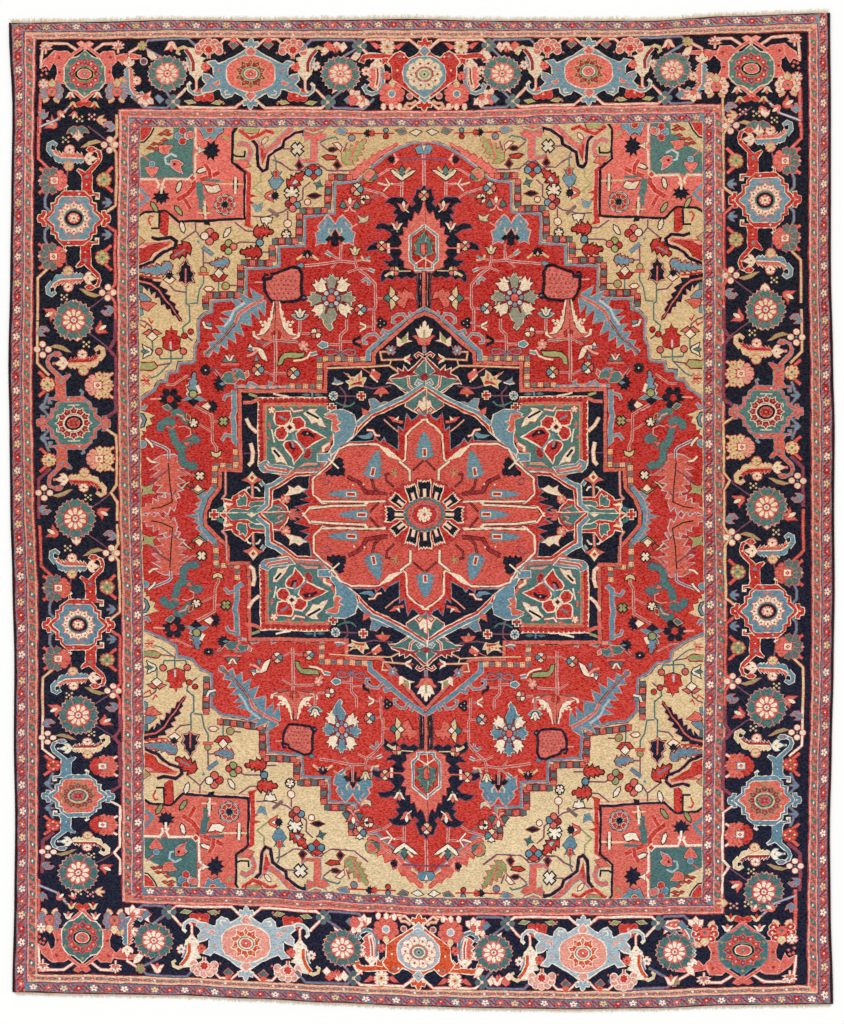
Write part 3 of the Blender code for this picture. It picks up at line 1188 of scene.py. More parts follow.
    def winged_palmette(self, chart: Chart) -> None:
        """Lays the palmette of stepped wings, its eight-sided ground and its star of petals.

        Args:
            chart: its place.
        """
        dress = self.dress
        for side in chart.sides():
            side.fill(
                dress.band_edge,
                ribbon(path(46, 18, 52, 21, 57, 20.6, 61.6, 17, 62.4, 11.6, 59.6, 9), 4.0, 3.2),
            )
            side.fill(dress.band, ribbon(path(46, 17.6, 52, 20.6, 57, 20.2, 61.2, 16.6, 62, 12), 2.4, 1.6))
        half = path(
            0, 28, 6, 24.4, 12, 20.6, 16, 18.6, 19, 22.4, 25, 24.4, 29, 20.6, 30, 15, 34, 15.6, 40, 18,
            48, 19, 49, 16,
            43.6, 10.6, 47.6, 5.6, 47.2, 0, 41.6, 1.4, 36.4, 4.6, 36.6, -5.6, 42.6, -11.6, 36, -12.8,
            32, -9, 26, -11.6,
            16, -16.6, 6, -23.4, 0, -26,
        )
        chart.edged(dress.band, dress.band_edge, mirrored(half), 1.0)
        for side in chart.sides():
            side.line(dress.band_edge, path(20, 21, 25, 21.4, 26, 18, 23, 17), 1.1)
            side.edged(dress.ground, dress.band_edge, path(31, 6, 34, 9, 38, 9.6, 35, 12, 31, 11), 0.4)
            side.dots(dress.ground, [(39.6, 14.4), (31.6, -3.4), (42.6, 5)], 1.9)
            side.dots(NAVY, [(36.8, 2.8)], 1.0)
        self.finials(chart, 24.4)
        ground = quartered(path(0, 18, 7, 17.4, 13, 15, 20.4, 10.6, 23.4, 5.6, 23.4, 0))
        chart.edged(dress.ground, dress.band_edge, ground, 1.0)
        for k in range(10):
            petal = chart.at(0, 0, 36 * k)
            house = path(-3.8, 7, -4.6, 11, -2.4, 11.4, 0, 15.4, 2.4, 11.4, 4.6, 11, 3.8, 7)
            house = [(x, y * (1.0 if k % 5 else 0.96)) for x, y in house]
            petal.edged(dress.petals, dress.tips, house, 0.8)
            petal.dots(dress.ground, [(0, 11.4)], 1.1)
        for wool, radius in zip(
            (dress.tips, dress.rings[1], dress.band_edge, dress.rings[2]), (9.2, 8.2, 6.8, 5.6)
        ):
            chart.fill(wool, [(x, y * 0.8) for x, y in petalled(8, radius, radius, 0.5)])
        chart.dots(dress.petals, [(0, 0)], 2.6)
        chart.dots(IVORY, [(0, 0)], 1.2)

    def round_palmette(self, chart: Chart) -> None:
        """Lays the palmette with long arms, its round ring and its open flower.

        Args:
            chart: its place.
        """
        dress = self.dress
        for side in chart.sides():
            arm = path(30, 17, 42, 17.4, 54, 18.4, 60.6, 17, 62.4, 13.6, 59, 12.4)
            side.fill(dress.band_edge, ribbon(arm, 7.0, 4.0))
            side.fill(dress.band, ribbon(arm, 5.2, 2.4))
            side.edged(
                dress.band, dress.band_edge, path(37, 16, 42, 15, 41.4, 9, 38.4, 11.6, 35, 8, 34, 14), 0.7
            )
        half = path(
            0, 27, 5, 21.6, 10, 18, 16, 16, 20, 20.4, 24.4, 23, 29, 20.4, 33, 16, 36, 12, 32.6, 8, 32, -5,
            26, -9, 21, -12.6,
            12, -18.6, 4, -24.6, 0, -26,
        )
        chart.edged(dress.band, dress.band_edge, mirrored(half), 0.9)
        for side in chart.sides():
            side.dots(SKY, [(24.6, 18)], 1.8)
            side.dots(dress.band_edge, [(27, 4), (20, 17.6)], 1.3)
            side.dots(MADDER, [(27.6, -3)], 1.5)
        self.finials(chart, 25.4)
        ring = mirrored(
            path(0, 17, 6, 17.4, 13, 14.6, 19.6, 9, 21.8, 2, 20.6, -6, 15, -12.6, 8, -18, 3, -21.6, 0, -23)
        )
        chart.edged(dress.ground, dress.band_edge, ring, 0.9)
        for k in range(10):
            x, y = polar(11.8, math.tau * (k + 0.5) / 10)
            chart.edged(dress.petals, dress.tips, petalled_at(x * 1.14, y * 0.94, 7, 4.9, 4.3), 0.6)
            chart.dots(dress.rings[1], [(x * 1.14, y * 0.94)], 1.6)
        for wool, radius in zip(
            (dress.rings[1], dress.rings[0], dress.petals, dress.rings[2]), (9.6, 8.2, 6.8, 5.4)
        ):
            chart.fill(wool, [(x, y * 0.8) for x, y in petalled(8, radius, radius, 0.5)])
        chart.dots(PALE, [(0, 0)], 2.8)
        chart.dots(NAVY, [(0, 0)], 1.5)


@dataclass(frozen=True)
class CornerPalmette:
    """The palmette in each corner of the border with its flowers, drawn for the upper left, x outward."""

    upper: bool = True
    edge: Wool = IVORY
    fan: tuple[Wool, Wool] = (SKY, CORAL)  # its petals and their outlines

    def draw(self, place: Chart) -> None:
        """Lays the vines, the palmette, then the flowers around it.

        Args:
            place: the corner's place.
        """
        lines = (
            (CORAL, MADDER, 2.4, path(43.4, -20, 43.4, -60)),
            (IVORY, CORAL, 1.8, path(8, 24, 18, 31, 42, 32, 44, 6)),
            (SKY, PLUM, 1.4, path(-80, 15, -58, 28, -64, 34, -104, 35, -114, 25)),
            (IVORY, CORAL, 1.8, path(-8, 24, -18, 31, -34, 31)),
            (IVORY, CORAL, 1.8, path(-44, 21, -58, 29)),
        )
        for wool, edge, width, points in lines:
            place.line(wool, points, width, edge)
        place.edged(GREEN, CORAL, petalled_at(-58, 28.6, 5, 4.6, 2.8), 0.5)
        place.line(CORAL, path(43.4, -20, 36, -15), 2.0, MADDER)
        place.line(PALE, path(12, -30, 26, -46, 44, -54), 1.6, PLUM)
        place.line(PLUM, path(-44, -2, -34, -6), 1.6)
        self.wings(place)
        self.body(place)
        self.leaf(place.at(-44.6, 1, 90, 0.92))
        self.flowers(place)

    def wings(self, place: Chart) -> None:
        """Lays the coral blocks at the palmette's sides and their toothed arms.

        Args:
            place: the corner's place.
        """
        block = path(12, 18, 18, 23, 28, 23, 31, 12, 27, 8, 26.4, 1, 30, -8.4, 20, -9, 12, -17, 10, -12)
        outer = path(22, 22.6, 30, 23.6, 40, 15, 43.4, 7, 38, 10, 35, 5, 32, 12.4, 28, 12)
        inner = path(20, 22, 28, 23, 30.6, 18, 42, 20, 57, 18.6, 57, 15.6, 44, 16, 38, 10, 34, 14.6, 28, 12)
        for side, arm in zip(place.sides(), (outer, inner)):
            side.edged(CORAL, ROSE, arm, 0.8)
            side.edged(CORAL, ROSE, block, 0.8)
            side.dots(MADDER, [(25, 2), (25.6, 17)], 1.8)
            side.dots(SKY, [(25, 9)], 1.3)
        place.edged(PLUM, IVORY, petal_at(-60, 12.6, 3.2), 0.7)

    def body(self, place: Chart) -> None:
        """Lays the octagon, its petals and the dark ring.

        Args:
            place: the corner's place.
        """
        for tall, tip in ((1, ROSE if self.upper else CORAL), (-1, RED)):
            half = place.at(0, 0, tall=tall)
            half.edged(tip, CORAL, mirrored(path(0, 22, 2, 28, 6, 29, 8, 31.6, 4, 33.6, 0, 31.4)), 0.7)
        for half in place.sides():
            half.line(CORAL, path(18, -11, 3, -24, -3, -28), 2.2, ROSE)
            half.line(CORAL, path(15, 18, 2, 28), 2.0, ROSE)
        octagon = quartered(path(0, 24, 4.4, 20, 8, 17, 14, 15.6, 17.4, 11.4, 20, 7, 20, 0))
        place.edged(TEAL, self.edge, octagon, 1.0)
        for x, y in ((0, 20.4), (0, -20.4), (17.4, 8), (-17.4, 8), (17.4, -8), (-17.4, -8)):
            place.dots(GREEN, [(x, y)], 1.8)
        for k in range(12):
            petal = place.at(0, 0, 30 * k)
            house = path(-3.2, 9.6, -3.9, 13.2, -2, 13.8, 0, 16.4, 2, 13.8, 3.9, 13.2, 3.2, 9.6)
            petal.edged(RED if k % 3 else MADDER, CORAL, house, 0.6)
            petal.dots(PALE if k % 3 else SKY, [(0, 12.6)], 1.3)
        for wool, radius in ((GREEN, 9.9), (NAVY, 9.2), (IVORY, 7.2), (CORAL, 6.4)):
            place.fill(wool, [(x, y * 0.76) for x, y in petalled(8, radius, radius, 0.5)])
        place.dots(TEAL, [(0, 0)], 2.4)
        place.dots(ROSE, [(0, 0)], 1.1)

    def leaf(self, chart: Chart) -> None:
        """Lays the long leaf that hangs beside the palmette."""
        BorderUnit().saz_leaf(chart)

    def flowers(self, place: Chart) -> None:
        """Lays the flowers and buds.

        Args:
            place: the corner's place.
        """
        for side, x in zip(place.sides(), (32.5, 32.0)):
            fan = side.at(x, -18)
            for k in range(7):
                u, v = polar(8.0, math.radians(-120 + 40 * k))
                fan.edged(self.fan[0], self.fan[1], petalled_at(u, v, 7, 3.7, 3.3), 0.5)
                fan.dots(self.fan[1], [(u, v)], 1.3)
            for foot in fan.sides():
                foot.line(GOLD, path(3, -6, 4.6, -9, 8, -10.4), 2.4, CORAL)
            fan.edged(CORAL, RED, petalled(7, 4.6, 4.0), 0.7)
            fan.dots(TEAL, [(0, 0)], 1.8)
            fan.edged(GOLD, RED, mirrored(path(0, 13.4, 4, 9.6, 2.4, 5.6, 0, 5)), 0.6)
        for x in (-13, 14):
            tulip(place.at(x, -18, 180, 0.7), IVORY, CORAL)
            tulip(place.at(x * 0.8, -28, 180, 0.7), GOLD, RED, BROWN)
        for x in (-33, 39):
            flower = place.at(x, 27)
            for angle in (0, 62, -62):
                bud(flower.at(0, 0, angle, 0.72), IVORY, CORAL)
            flower.edged(CORAL, IVORY, frame(3.6, 1.4), 0.5)
            flower.line(IVORY, path(0, -1, 0, -6), 1.2, CORAL)
            flower.dots(SKY, [(0, 2)], 1.4)
        SmallFlower(IVORY, CORAL, SKY, 6, 4.6).draw(place.at(41, -10))
        place.dots(CORAL, [(42, 4), (38, 1), (43, -1), (39, 5)], 1.7)
        tulip(place.at(26, -38, 130, 0.8), CORAL, IVORY)
        tulip(place.at(8, -38, 200, 0.7), CORAL, IVORY)
        cross(place.at(4, -46), GOLD)
        cross(place.at(-8, -44), ROSE)
        bud(place.at(-13, -47, 90), GOLD, CORAL)
        bud(place.at(40, -46, 0), SKY, CORAL)
        for side in place.at(6, -56).sides() if self.upper else ():
            side.edged(TEAL, CORAL, path(-1, 1, 4, 3, 9, 0, 11, -4, 6, -3, 3, -7, -1, -6), 0.6)
            side.edged(IVORY, CORAL, path(0, 0, 2, -4, 5, -8, 2.6, -9, 0, -12), 0.6)
        petal = path(-50, -26, -53, -22, -60, -22, -67, -18, -66, -23, -69, -26, -64, -30, -56, -31)
        place.edged(IVORY, CORAL, petal, 0.6)
        place.edged(CORAL, RED, path(-52, -26, -58, -23.4, -66, -26, -62, -28.4, -56, -29.4), 0.5)
        place.dots(IVORY, [(-57, -26), (-61, -26)], 1.0)


@dataclass(frozen=True)
class MainBorder:
    """The navy border: palmette units along each side and end, rosettes between them."""

    left_middle: float = -347.5
    right_middle: float = 344.2
    end_middle: float = 438.4

    def draw(self, chart: Chart) -> None:
        """Lays the units of the sides and ends, and the rosettes over their meeting places.

        Args:
            chart: the whole chart.
        """
        self.side_units(chart)
        sky = BorderDress(
            SKY, IVORY, CORAL, MADDER, GREEN, (GREEN, TEAL, CORAL),
            (MADDER, SKY), GOLD, IVORY, CORAL, star=RED,
        )
        red = BorderDress(
            ground=SKY, tips=GREEN, rings=(GREY, RED, GREEN), leaf=(MADDER, CORAL),
        )
        pale = BorderDress(
            PALE, IVORY, ROSE, ORANGE, IVORY, (PLUM, GREY, CORAL),
            (ORANGE, SKY), GOLD, IVORY, ROSE, star=RED,
        )
        orange = BorderDress(
            ORANGE, IVORY, PALE, IVORY, CORAL, (GREY, CORAL, GREY),
            (RED, CORAL), fan_petals=CORAL,
        )
        self.end_units(
            chart, (-338.5, -255.3, -172.3, -82.8, 0.5, 79.2, 167.0, 251.7, 331.0), (sky, red, sky), 1
        )
        self.end_units(
            chart, (-343.4, -272.5, -180.0, -83.5, -7.4, 69.0, 160.4, 254.3, 323.5), (pale, orange, pale), -1
        )

    def side_units(self, chart: Chart) -> None:
        """Lays the units and rosettes of the two sides.

        Args:
            chart: the whole chart.
        """
        red, blue = BorderDress(), BorderDress(
            CORAL, SKY, TEAL, MADDER, IVORY, (IVORY, NAVY, CORAL),
            (RED, GOLD), ROSE, GOLD, ROSE, GOLD, PLUM, GOLD,
        )
        sky = BorderDress(
            SKY, IVORY, CORAL, MADDER, GREEN, (GOLD, TEAL, CORAL),
            (MADDER, GOLD), IVORY, CORAL, RED, IVORY, PLUM, RED,
        )
        for middle, side, places in (
            (self.left_middle, 1, (437, 293, 191, 88, -8, -117, -210, -293, -372)),
            (self.right_middle, -1, (445, 307, 199, 98, 4, -100, -196, -289, -380)),
        ):
            border = chart.at(middle, 0, wide=side)
            for i, dress in zip((1, 3, 5, 7), (red, blue, red, sky)):
                up, down = min(places[i - 1] - places[i], 102), min(places[i] - places[i + 1], 102)
                BorderUnit(dress).draw(border.at(0, places[i]), up, down, 1 if i % 4 == 1 else -1)
            for y in places[2::2]:
                Rosette().draw(border.at(0, y))

    def end_units(
        self, chart: Chart, places: tuple[float, ...], dresses: tuple[BorderDress, ...], end: int
    ) -> None:
        """Lays the units, corner palmettes and rosettes of one end.

        Args:
            chart: the whole chart.
            places: the middles of the palmettes and rosettes in turn, from the left.
            dresses: the palmettes' wools.
            end: 1 at the top, -1 at the bottom.
        """
        level = self.end_middle * end
        fans = ((SKY, CORAL), (IVORY, CORAL) if end > 0 else (RED, IVORY))
        for x, wide, fan in zip((places[0], places[-1]), (-1.0, 1.1 if end > 0 else 1.2), fans):
            edge = SKY if end < 0 and x > 0 else IVORY
            CornerPalmette(end > 0, edge, fan).draw(chart.at(x, level, wide=wide, tall=end))
        for i, dress in zip((2, 4, 6), dresses):
            middle, winged = places[i], i != 4
            rosettes = (places[i + 1] - middle, middle - places[i - 1])
            palmettes = (places[i + 2] - middle, middle - places[i - 2])
            place = chart.at(middle, level, tall=-end if winged else end)
            EndUnit(dress, winged, 77.0 if winged else 65.0).draw(place, rosettes, palmettes)
        for x in places[1::2]:
            Rosette(star=CORAL, eye=PLUM).draw(chart.at(x, level, wide=0.98, tall=0.9 * end))


# ---------------------------------------------------------------- the field


def blocks(
    chart: Chart,
    start: Point,
    stop: Point,
    pitch: float = 6.1,
    size: float = 5.0,
    wools: tuple[Wool, Wool] = (GOLD, TEAL),
    marks: tuple[Wool, Wool] = (RED, CORAL),
) -> None:
    """A row of small blocks in two wools in turn, each with a cross of another wool.

    Args:
        chart: its place.
        start: the middle of the first block.
        stop: where the row ends.
        pitch: from block to block.
        size: a block's width.
        wools: the blocks' two wools.
        marks: the wools of their crosses.
    """
    length = math.dist(start, stop)
    count = max(1, round(length / pitch))
    for i in range(count + 1):
        x, y = (a + (b - a) * i / count for a, b in zip(start, stop))
        wool, mark = wools[i % 2], marks[i % 2]
        spot = chart.at(x, y)
        spot.fill(wool, frame(size / 2, size / 2))
        spot.dots(mark, [(-1.2, 1.2), (1.2, -1.2), (-1.2, -1.2), (1.2, 1.2)], 0.7)


def serrated_leaf(chart: Chart, length: float = 27.0, width: float = 21.0) -> None:
    """The toothed sky leaf of the medallion's lobes, with a red bar at its foot. It points up.

    Args:
        chart: its place, at the foot.
        length: its length.
        width: its width over the lowest teeth.
    """
    half = path(
        0, 0, 0.34, 0.06, 0.5, 0.2, 0.3, 0.22, 0.36, 0.34, 0.44, 0.4, 0.28, 0.44, 0.32, 0.58, 0.4, 0.62
    )
    half += path(0.22, 0.62, 0.22, 0.74, 0.28, 0.8, 0.12, 0.82, 0.12, 0.9, 0.06, 1.0)
    chart.edged(SKY, TEAL, [(x * width, y * length) for x, y in mirrored(half)], 0.4)
    chart.edged(RED, IVORY, path(-1.4, 3, 1.4, 3, 1.4, length * 0.37, -1.4, length * 0.37), 0.9)


def twig(chart: Chart, points: Outline, width: float = 2.4) -> None:
    """A dark double line that joins the leaves inside the lobed flower."""
    chart.line(BROWN, points, width + 1.3)
    chart.line(MADDER, points, width - 0.1)


def sprig(chart: Chart) -> None:
    """A small foot-shaped green sprig with red tips.

    Args:
        chart: its place.
    """
    for turn in (60, 0, -60):
        chart.at(0, 0, turn).line(GREEN, path(0, 0, 0, 4.6), 2.4)
        chart.at(0, 0, turn).line(RED, path(0, 1.4, 0, 4.4), 1.3)
    chart.line(GREEN, path(0, 0, 0, -3.6), 1.2)


@dataclass(frozen=True)
class MedallionRosette:
    """The round flower in the middle of the medallion, a little wider than high."""

    def draw(self, chart: Chart) -> None:
        """Lays the rosette.

        Args:
            chart: its place.
        """
        flower = chart.at(0, 0, tall=0.83)
        flower.edged(RED, PLUM, petalled(34, 42.5, 39.4, 0.3), 0.9)
        for side in chart.sides():
            for half in (side, side.at(0, 0, tall=-1)):
                self.petal(half.at(0, 17), 12.6, 16.5)
                self.petal(half.at(10.5, 14.5, -16), 10, 15)
                self.petal(half.at(21, 9.5, -52), 9, 14)
                self.petal(half.at(20, 0, -90), 15, 18.6, 0.5)
        flower.edged(TEAL, CORAL, petalled(24, 20.6, 18.8, 0.45), 0.5)
        flower.dots(SKY, [polar(19.2, math.tau * (k + 0.5) / 24) for k in range(24)], 0.9)
        flower.fill(BRICK, petalled(8, 17, 17, 0.5))
        flower.edged(RED, SKY, petalled(8, 12.4, 12.4, 0.45), 0.9)
        chart.fill(IVORY, petalled(8, 7.2, 5.0, 0.56))
        chart.dots(SKY, [polar(4.6, math.tau * k / 8) for k in range(8)], 0.7)
        chart.dots(CORAL, [(0, 0)], 2.1)

    def petal(self, chart: Chart, width: float, length: float, foot: float = 0.85) -> None:
        """Lays one forked navy petal with a pale bar.

        Args:
            chart: its place, at the petal's foot.
            width: its width at the outer end.
            length: its length.
            foot: its width at the foot as a share of the outer width.
        """
        half = path(
            foot * 0.5, 0, foot * 0.5, 0.45, 0.5, 0.72, 0.48, 1.0, 0.3, 0.9, 0.24, 0.98, 0.12, 0.86, 0, 0.96
        )
        outline = [(x * width, y * length) for x, y in mirrored(half)]
        chart.fill(RED, grown(outline, 2.2))
        chart.edged(NAVY, IVORY, outline, 1.0)
        bar = [(x, y + length * 0.25) for x, y in frame(1.3, length * 0.25)]
        chart.edged(IVORY, ROSE, bar, 0.5)


@dataclass(frozen=True)
class LobedFlower:
    """The large lobed brick-red flower of the medallion."""

    def draw(self, chart: Chart) -> None:
        """Lays the flower, its leaves and the rosette.

        Args:
            chart: the whole chart.
        """
        teeth = path(
            0, 98, 4, 102, 8, 97, 13, 94, 17.5, 101, 20.5, 83, 25.5, 88, 26, 64, 38, 71.5, 40.5, 76, 44, 71
        )
        teeth += path(
            49.5, 77.5, 50, 73.5, 75, 72.5, 84, 68, 90, 58, 98, 49, 107, 41, 113.5, 38.5, 115, 26, 120, 23
        )
        teeth += path(114, 18, 124, 15.5, 112, 12, 129, 8, 121, 4, 131, 0)
        lobes = path(
            0, 93.5, 11.5, 85, 17, 78.5, 18, 55, 22, 51, 34.5, 61.5, 47.5, 69, 73.5, 69, 84, 64.5, 92, 50
        )
        lobes += path(
            100, 43, 106.5, 37.5, 109.5, 34.5, 109.5, 20.5, 100.5, 12.5, 95, 9.5, 113.5, 6, 118.5, 0
        )
        quarters = chart.quarters()
        for place in quarters:
            place.edged(RED, SKY, path(-1, 0, -1, 98) + teeth, 0.8)
        for wool, reach in ((IVORY, 2.3), (BROWN, 0.5), (BRICK, 0.0)):
            for place in quarters:
                place.fill(
                    wool,
                    grown(path(-1, 0, -1, 93.5) + lobes, reach) if reach else path(-1, 0, -1, 93.5) + lobes,
                )
        for place in quarters:
            self.quarter(place)
        for half in chart.halves():
            serrated_leaf(half.at(0, 55.5), 27, 21)
            for side in half.sides():
                twig(side, path(1, 54, 11.5, 44), 1.0)
        for place in chart.at(0, FIELD_MIDDLE).sides():
            serrated_leaf(place.at(55.5, 0, -90), 30, 12.5)
        MedallionRosette().draw(chart.at(0, FIELD_MIDDLE))

    def quarter(self, place: Chart) -> None:
        """Lays the lines and leaves of one quarter.

        Args:
            place: the quarter's place.
        """
        for wool, width in ((BROWN, 3.4), (IVORY, 2.3)):
            place.line(wool, path(25, 53.5, 14.5, 44.5, 14.5, 33), width)
            place.line(wool, path(102, 13, 37.5, 13), width - 0.4)
            place.line(wool, path(113, 6.3, 92, 8.4, 58, 9.4), width - 0.4)
        place.fill(IVORY, path(60, 13.5, 55.5, 11.4, 60, 8.6))
        place.line(MADDER, path(106, 9.6, 62, 11.2), 1.3)
        place.fill(IVORY, path(26, 55, 36, 66, 46, 69, 36, 58))
        twig(place, path(76.5, 38.5, 64.5, 32.5, 58.5, 22.5, 37.5, 20.5), 3.0)
        twig(place, path(52.5, 36, 50.5, 27, 44.5, 21.5), 1.6)
        twig(place, path(34, 41, 38.5, 40, 38, 34, 30.5, 27.5), 1.2)
        twig(place, path(45.5, 12, 54.5, 2.5), 1.2)
        serrated_leaf(place.at(52.5, 36, 12), 28, 20)
        serrated_leaf(place.at(66, 20.5, -90), 30, 10.5)
        sprig(place.at(29.5, 41.5, -20))
        place.dots(IVORY, [(71, 30), (60.5, 30.2)], 1.2)
        place.line(PLUM, path(105, 35, 99, 36, 94, 33, 97, 29.6, 101, 31), 1.0)
        carnation = path(
            91.5, 52.5, 85.5, 57.5, 80.5, 55.5, 81.5, 52.5, 79.5, 50.5, 81.5, 47.5, 78.5, 45.5, 79.5, 38.5
        )
        carnation += path(
            84.5, 39.5, 85.5, 37.5, 89.5, 39.5, 91.5, 37, 94.5, 39.5, 98, 38, 98.5, 42.5, 92.5, 46.5
        )
        place.fill(NAVY, carnation)
        place.line(IVORY, path(96, 56, 85.5, 46), 1.7)


@dataclass(frozen=True)
class TealSquare:
    """The teal square in each of the medallion's corners, with its spray of flowers."""

    def draw(self, place: Chart) -> None:
        """Lays the square for one quarter."""
        self.border(place)
        self.spray(place)

    def border(self, place: Chart) -> None:
        """Lays the toothed border, the teal ground and the sky corner pieces.

        Args:
            place: the quarter's place.
        """
        line = path(162, 48, 162, 114.3, 96, 114.3)
        place.line(IVORY, line, 7.4)
        place.line(RED, line, 5.6)
        place.dots(MADDER, [(161.2, 51 + 5.2 * k) for k in range(12)], 1.9)
        place.dots(MADDER, [(158 - 5.2 * k, 113.4) for k in range(13)], 1.9)
        place.dots(IVORY, [(164.4, 48.4 + 5.2 * k) for k in range(13)], 0.9)
        place.dots(IVORY, [(160.6 - 5.2 * k, 116.6) for k in range(13)], 0.9)
        ground = path(
            157.5, 109.5, 101, 109.5, 93, 103, 90.5, 93, 90.5, 83, 94, 74, 97, 66, 105, 63, 106.5, 58
        )
        ground += path(103, 53.5, 103, 47, 127.5, 46, 138, 39, 157.5, 47)
        place.edged(TEAL, CORAL, ground, 2.6)
        place.line(GREEN, path(157, 50, 157, 109, 101, 109), 1.0)
        place.fill(CORAL, path(127, 109.4, 123.4, 106.4, 120, 109.4))
        place.fill(CORAL, path(157.4, 79.5, 152.5, 77, 157.4, 74.5))
        SmallFlower(MADDER, IVORY, CORAL, 4, 4.2).draw(place.at(92, 107))
        corner = path(
            99, 100.5, 90, 104.5, 80, 104.5, 70, 99.5, 68, 90, 71, 79, 90, 61.5, 94.5, 60, 93.5, 64.5
        )
        corner += path(89.5, 70.5, 89.5, 79.5, 91.5, 84.5, 90, 95, 95, 97)
        place.edged(SKY, IVORY, corner, 0.8)
        place.edged(SKY, IVORY, path(106.5, 60.5, 94, 61, 93, 53, 106.5, 53.5), 0.7)
        hook = path(
            100, 98, 95, 100.5, 87.5, 100.5, 86.5, 93.5, 82.5, 92.5, 87.5, 89.5, 84, 84.5, 88, 82.5, 91.5, 85
        )
        place.edged(CORAL, IVORY, hook + path(91.5, 95), 0.5)
        foot = path(164, 51, 157, 54.5, 153, 50, 140, 49, 130, 47, 136, 40, 160, 42.5, 163.5, 46)
        place.edged(SKY, IVORY, foot, 0.7)
        place.line(CORAL, path(158, 50, 155, 46.5, 136, 43.5), 2.6, IVORY)
        place.dots(CORAL, [(157.5, 44), (135.5, 44.5)], 2.2)

    def spray(self, place: Chart) -> None:
        """Lays the red petals around their eye, the leaves and the buds.

        Args:
            place: the quarter's place.
        """
        petals = (
            path(147.8, 102.8, 133.9, 102.8, 132.3, 97.3, 135.6, 91.7, 140, 88.4, 146.7, 90.6, 148.4, 96.2),
            path(130, 96.2, 123.4, 97.3, 119, 92.8, 119, 88.4, 125.6, 85.1, 130, 86.2, 131, 91.7),
            path(146.7, 85.1, 140, 88.4, 135.6, 85.1, 136.7, 79.5, 140, 75.1, 144.5, 75.1, 147.8, 79.5),
            path(
                126.7, 80.6, 121.2, 86.2, 115.6, 86.2, 106.7, 81.7, 99, 77.3, 104.5, 75.1, 115.6, 68.4,
                120, 66.2, 124.5, 71.7,
            ),
            path(
                137.8, 72.8, 130, 73.9, 124.5, 69.5, 121.2, 62.8, 129.5, 52.5, 131.2, 58.4, 137.8, 65.1,
                139.5, 69.5,
            ),
        )
        for petal in petals:
            place.edged(RED, IVORY, petal, 1.3)
        place.line(MADDER, path(128, 94, 122, 90), 1.4)
        place.line(MADDER, path(144.5, 78, 138.5, 84.5), 1.4)
        place.line(SKY, path(144.5, 99, 137, 94.5), 1.8)
        place.dots(RED, [(143, 95), (126, 88.5)], 1.3)
        place.line(SKY, path(131, 81, 127.8, 76.2, 119, 65.6), 1.8)
        place.line(SKY, path(130, 79, 131.5, 73, 130, 67.5), 1.8)
        place.fill(
            NAVY, path(123.4, 80.6, 119.5, 84.3, 113.4, 83.6, 108.6, 79.4, 109, 76.2, 113.4, 79, 118.4, 79)
        )
        place.dots(ROSE, [(116, 81.4)], 1.2)
        place.line(NAVY, path(134.5, 72, 132.5, 66.6, 128.5, 65.4), 2.2)
        place.fill(IVORY, [(x + 133.4, y + 87.1) for x, y in petalled(8, 5.6, 4.0, 0.6)])
        place.dots(CORAL, [(133.4, 87.1)], 3.2)
        place.dots(NAVY, [(133.4, 87.1)], 2.3)
        bud = path(112.5, 66.5, 114.2, 64.5, 112.8, 62.5, 113.5, 59.5, 117, 56, 120, 58, 119, 62, 116.4, 66)
        place.edged(MADDER, CORAL, bud, 0.6)
        upper = path(
            120, 101.7, 113.4, 105.8, 106.7, 106.2, 109, 102.8, 102.3, 96.2, 97.8, 87.3, 104.5, 89.5,
            106.7, 92.8,
        )
        lower = path(
            152.3, 67.3, 148.9, 67.3, 142.3, 60.6, 140, 57.3, 135.6, 49.5, 142.3, 52.8, 146.7, 51.7,
            147.8, 53.9,
        )
        place.edged(IVORY, RED, upper + path(112.3, 91.7, 115.6, 97.3), 0.5)
        place.edged(IVORY, RED, lower + path(148.9, 58.4, 151.7, 61.7), 0.5)
        place.line(NAVY, path(117.4, 103, 104.8, 96.4), 2.2)
        place.line(NAVY, path(150, 64.6, 143.8, 57.4), 2.4)
        place.line(IVORY, path(133, 107, 130, 103, 120.5, 104.6), 1.5, RED)
        SmallFlower(IVORY, RED, IVORY, 5, 3.4).draw(place.at(151.5, 105))
        place.line(IVORY, path(94, 71, 100.6, 67, 100.6, 62.6), 2.5, CORAL)
        place.fill(ROSE, path(125, 47.5, 119, 52.2, 106.7, 51.6, 106.7, 49.4, 117, 49.4))
        place.line(IVORY, path(151.4, 85.5, 150.4, 80, 149.2, 72), 1.5)
        place.fill(CORAL, path(155, 90, 153.4, 94, 151.6, 89, 153.4, 85))
        place.fill(CORAL, path(142, 108, 137, 109, 133, 107.5, 137, 106))


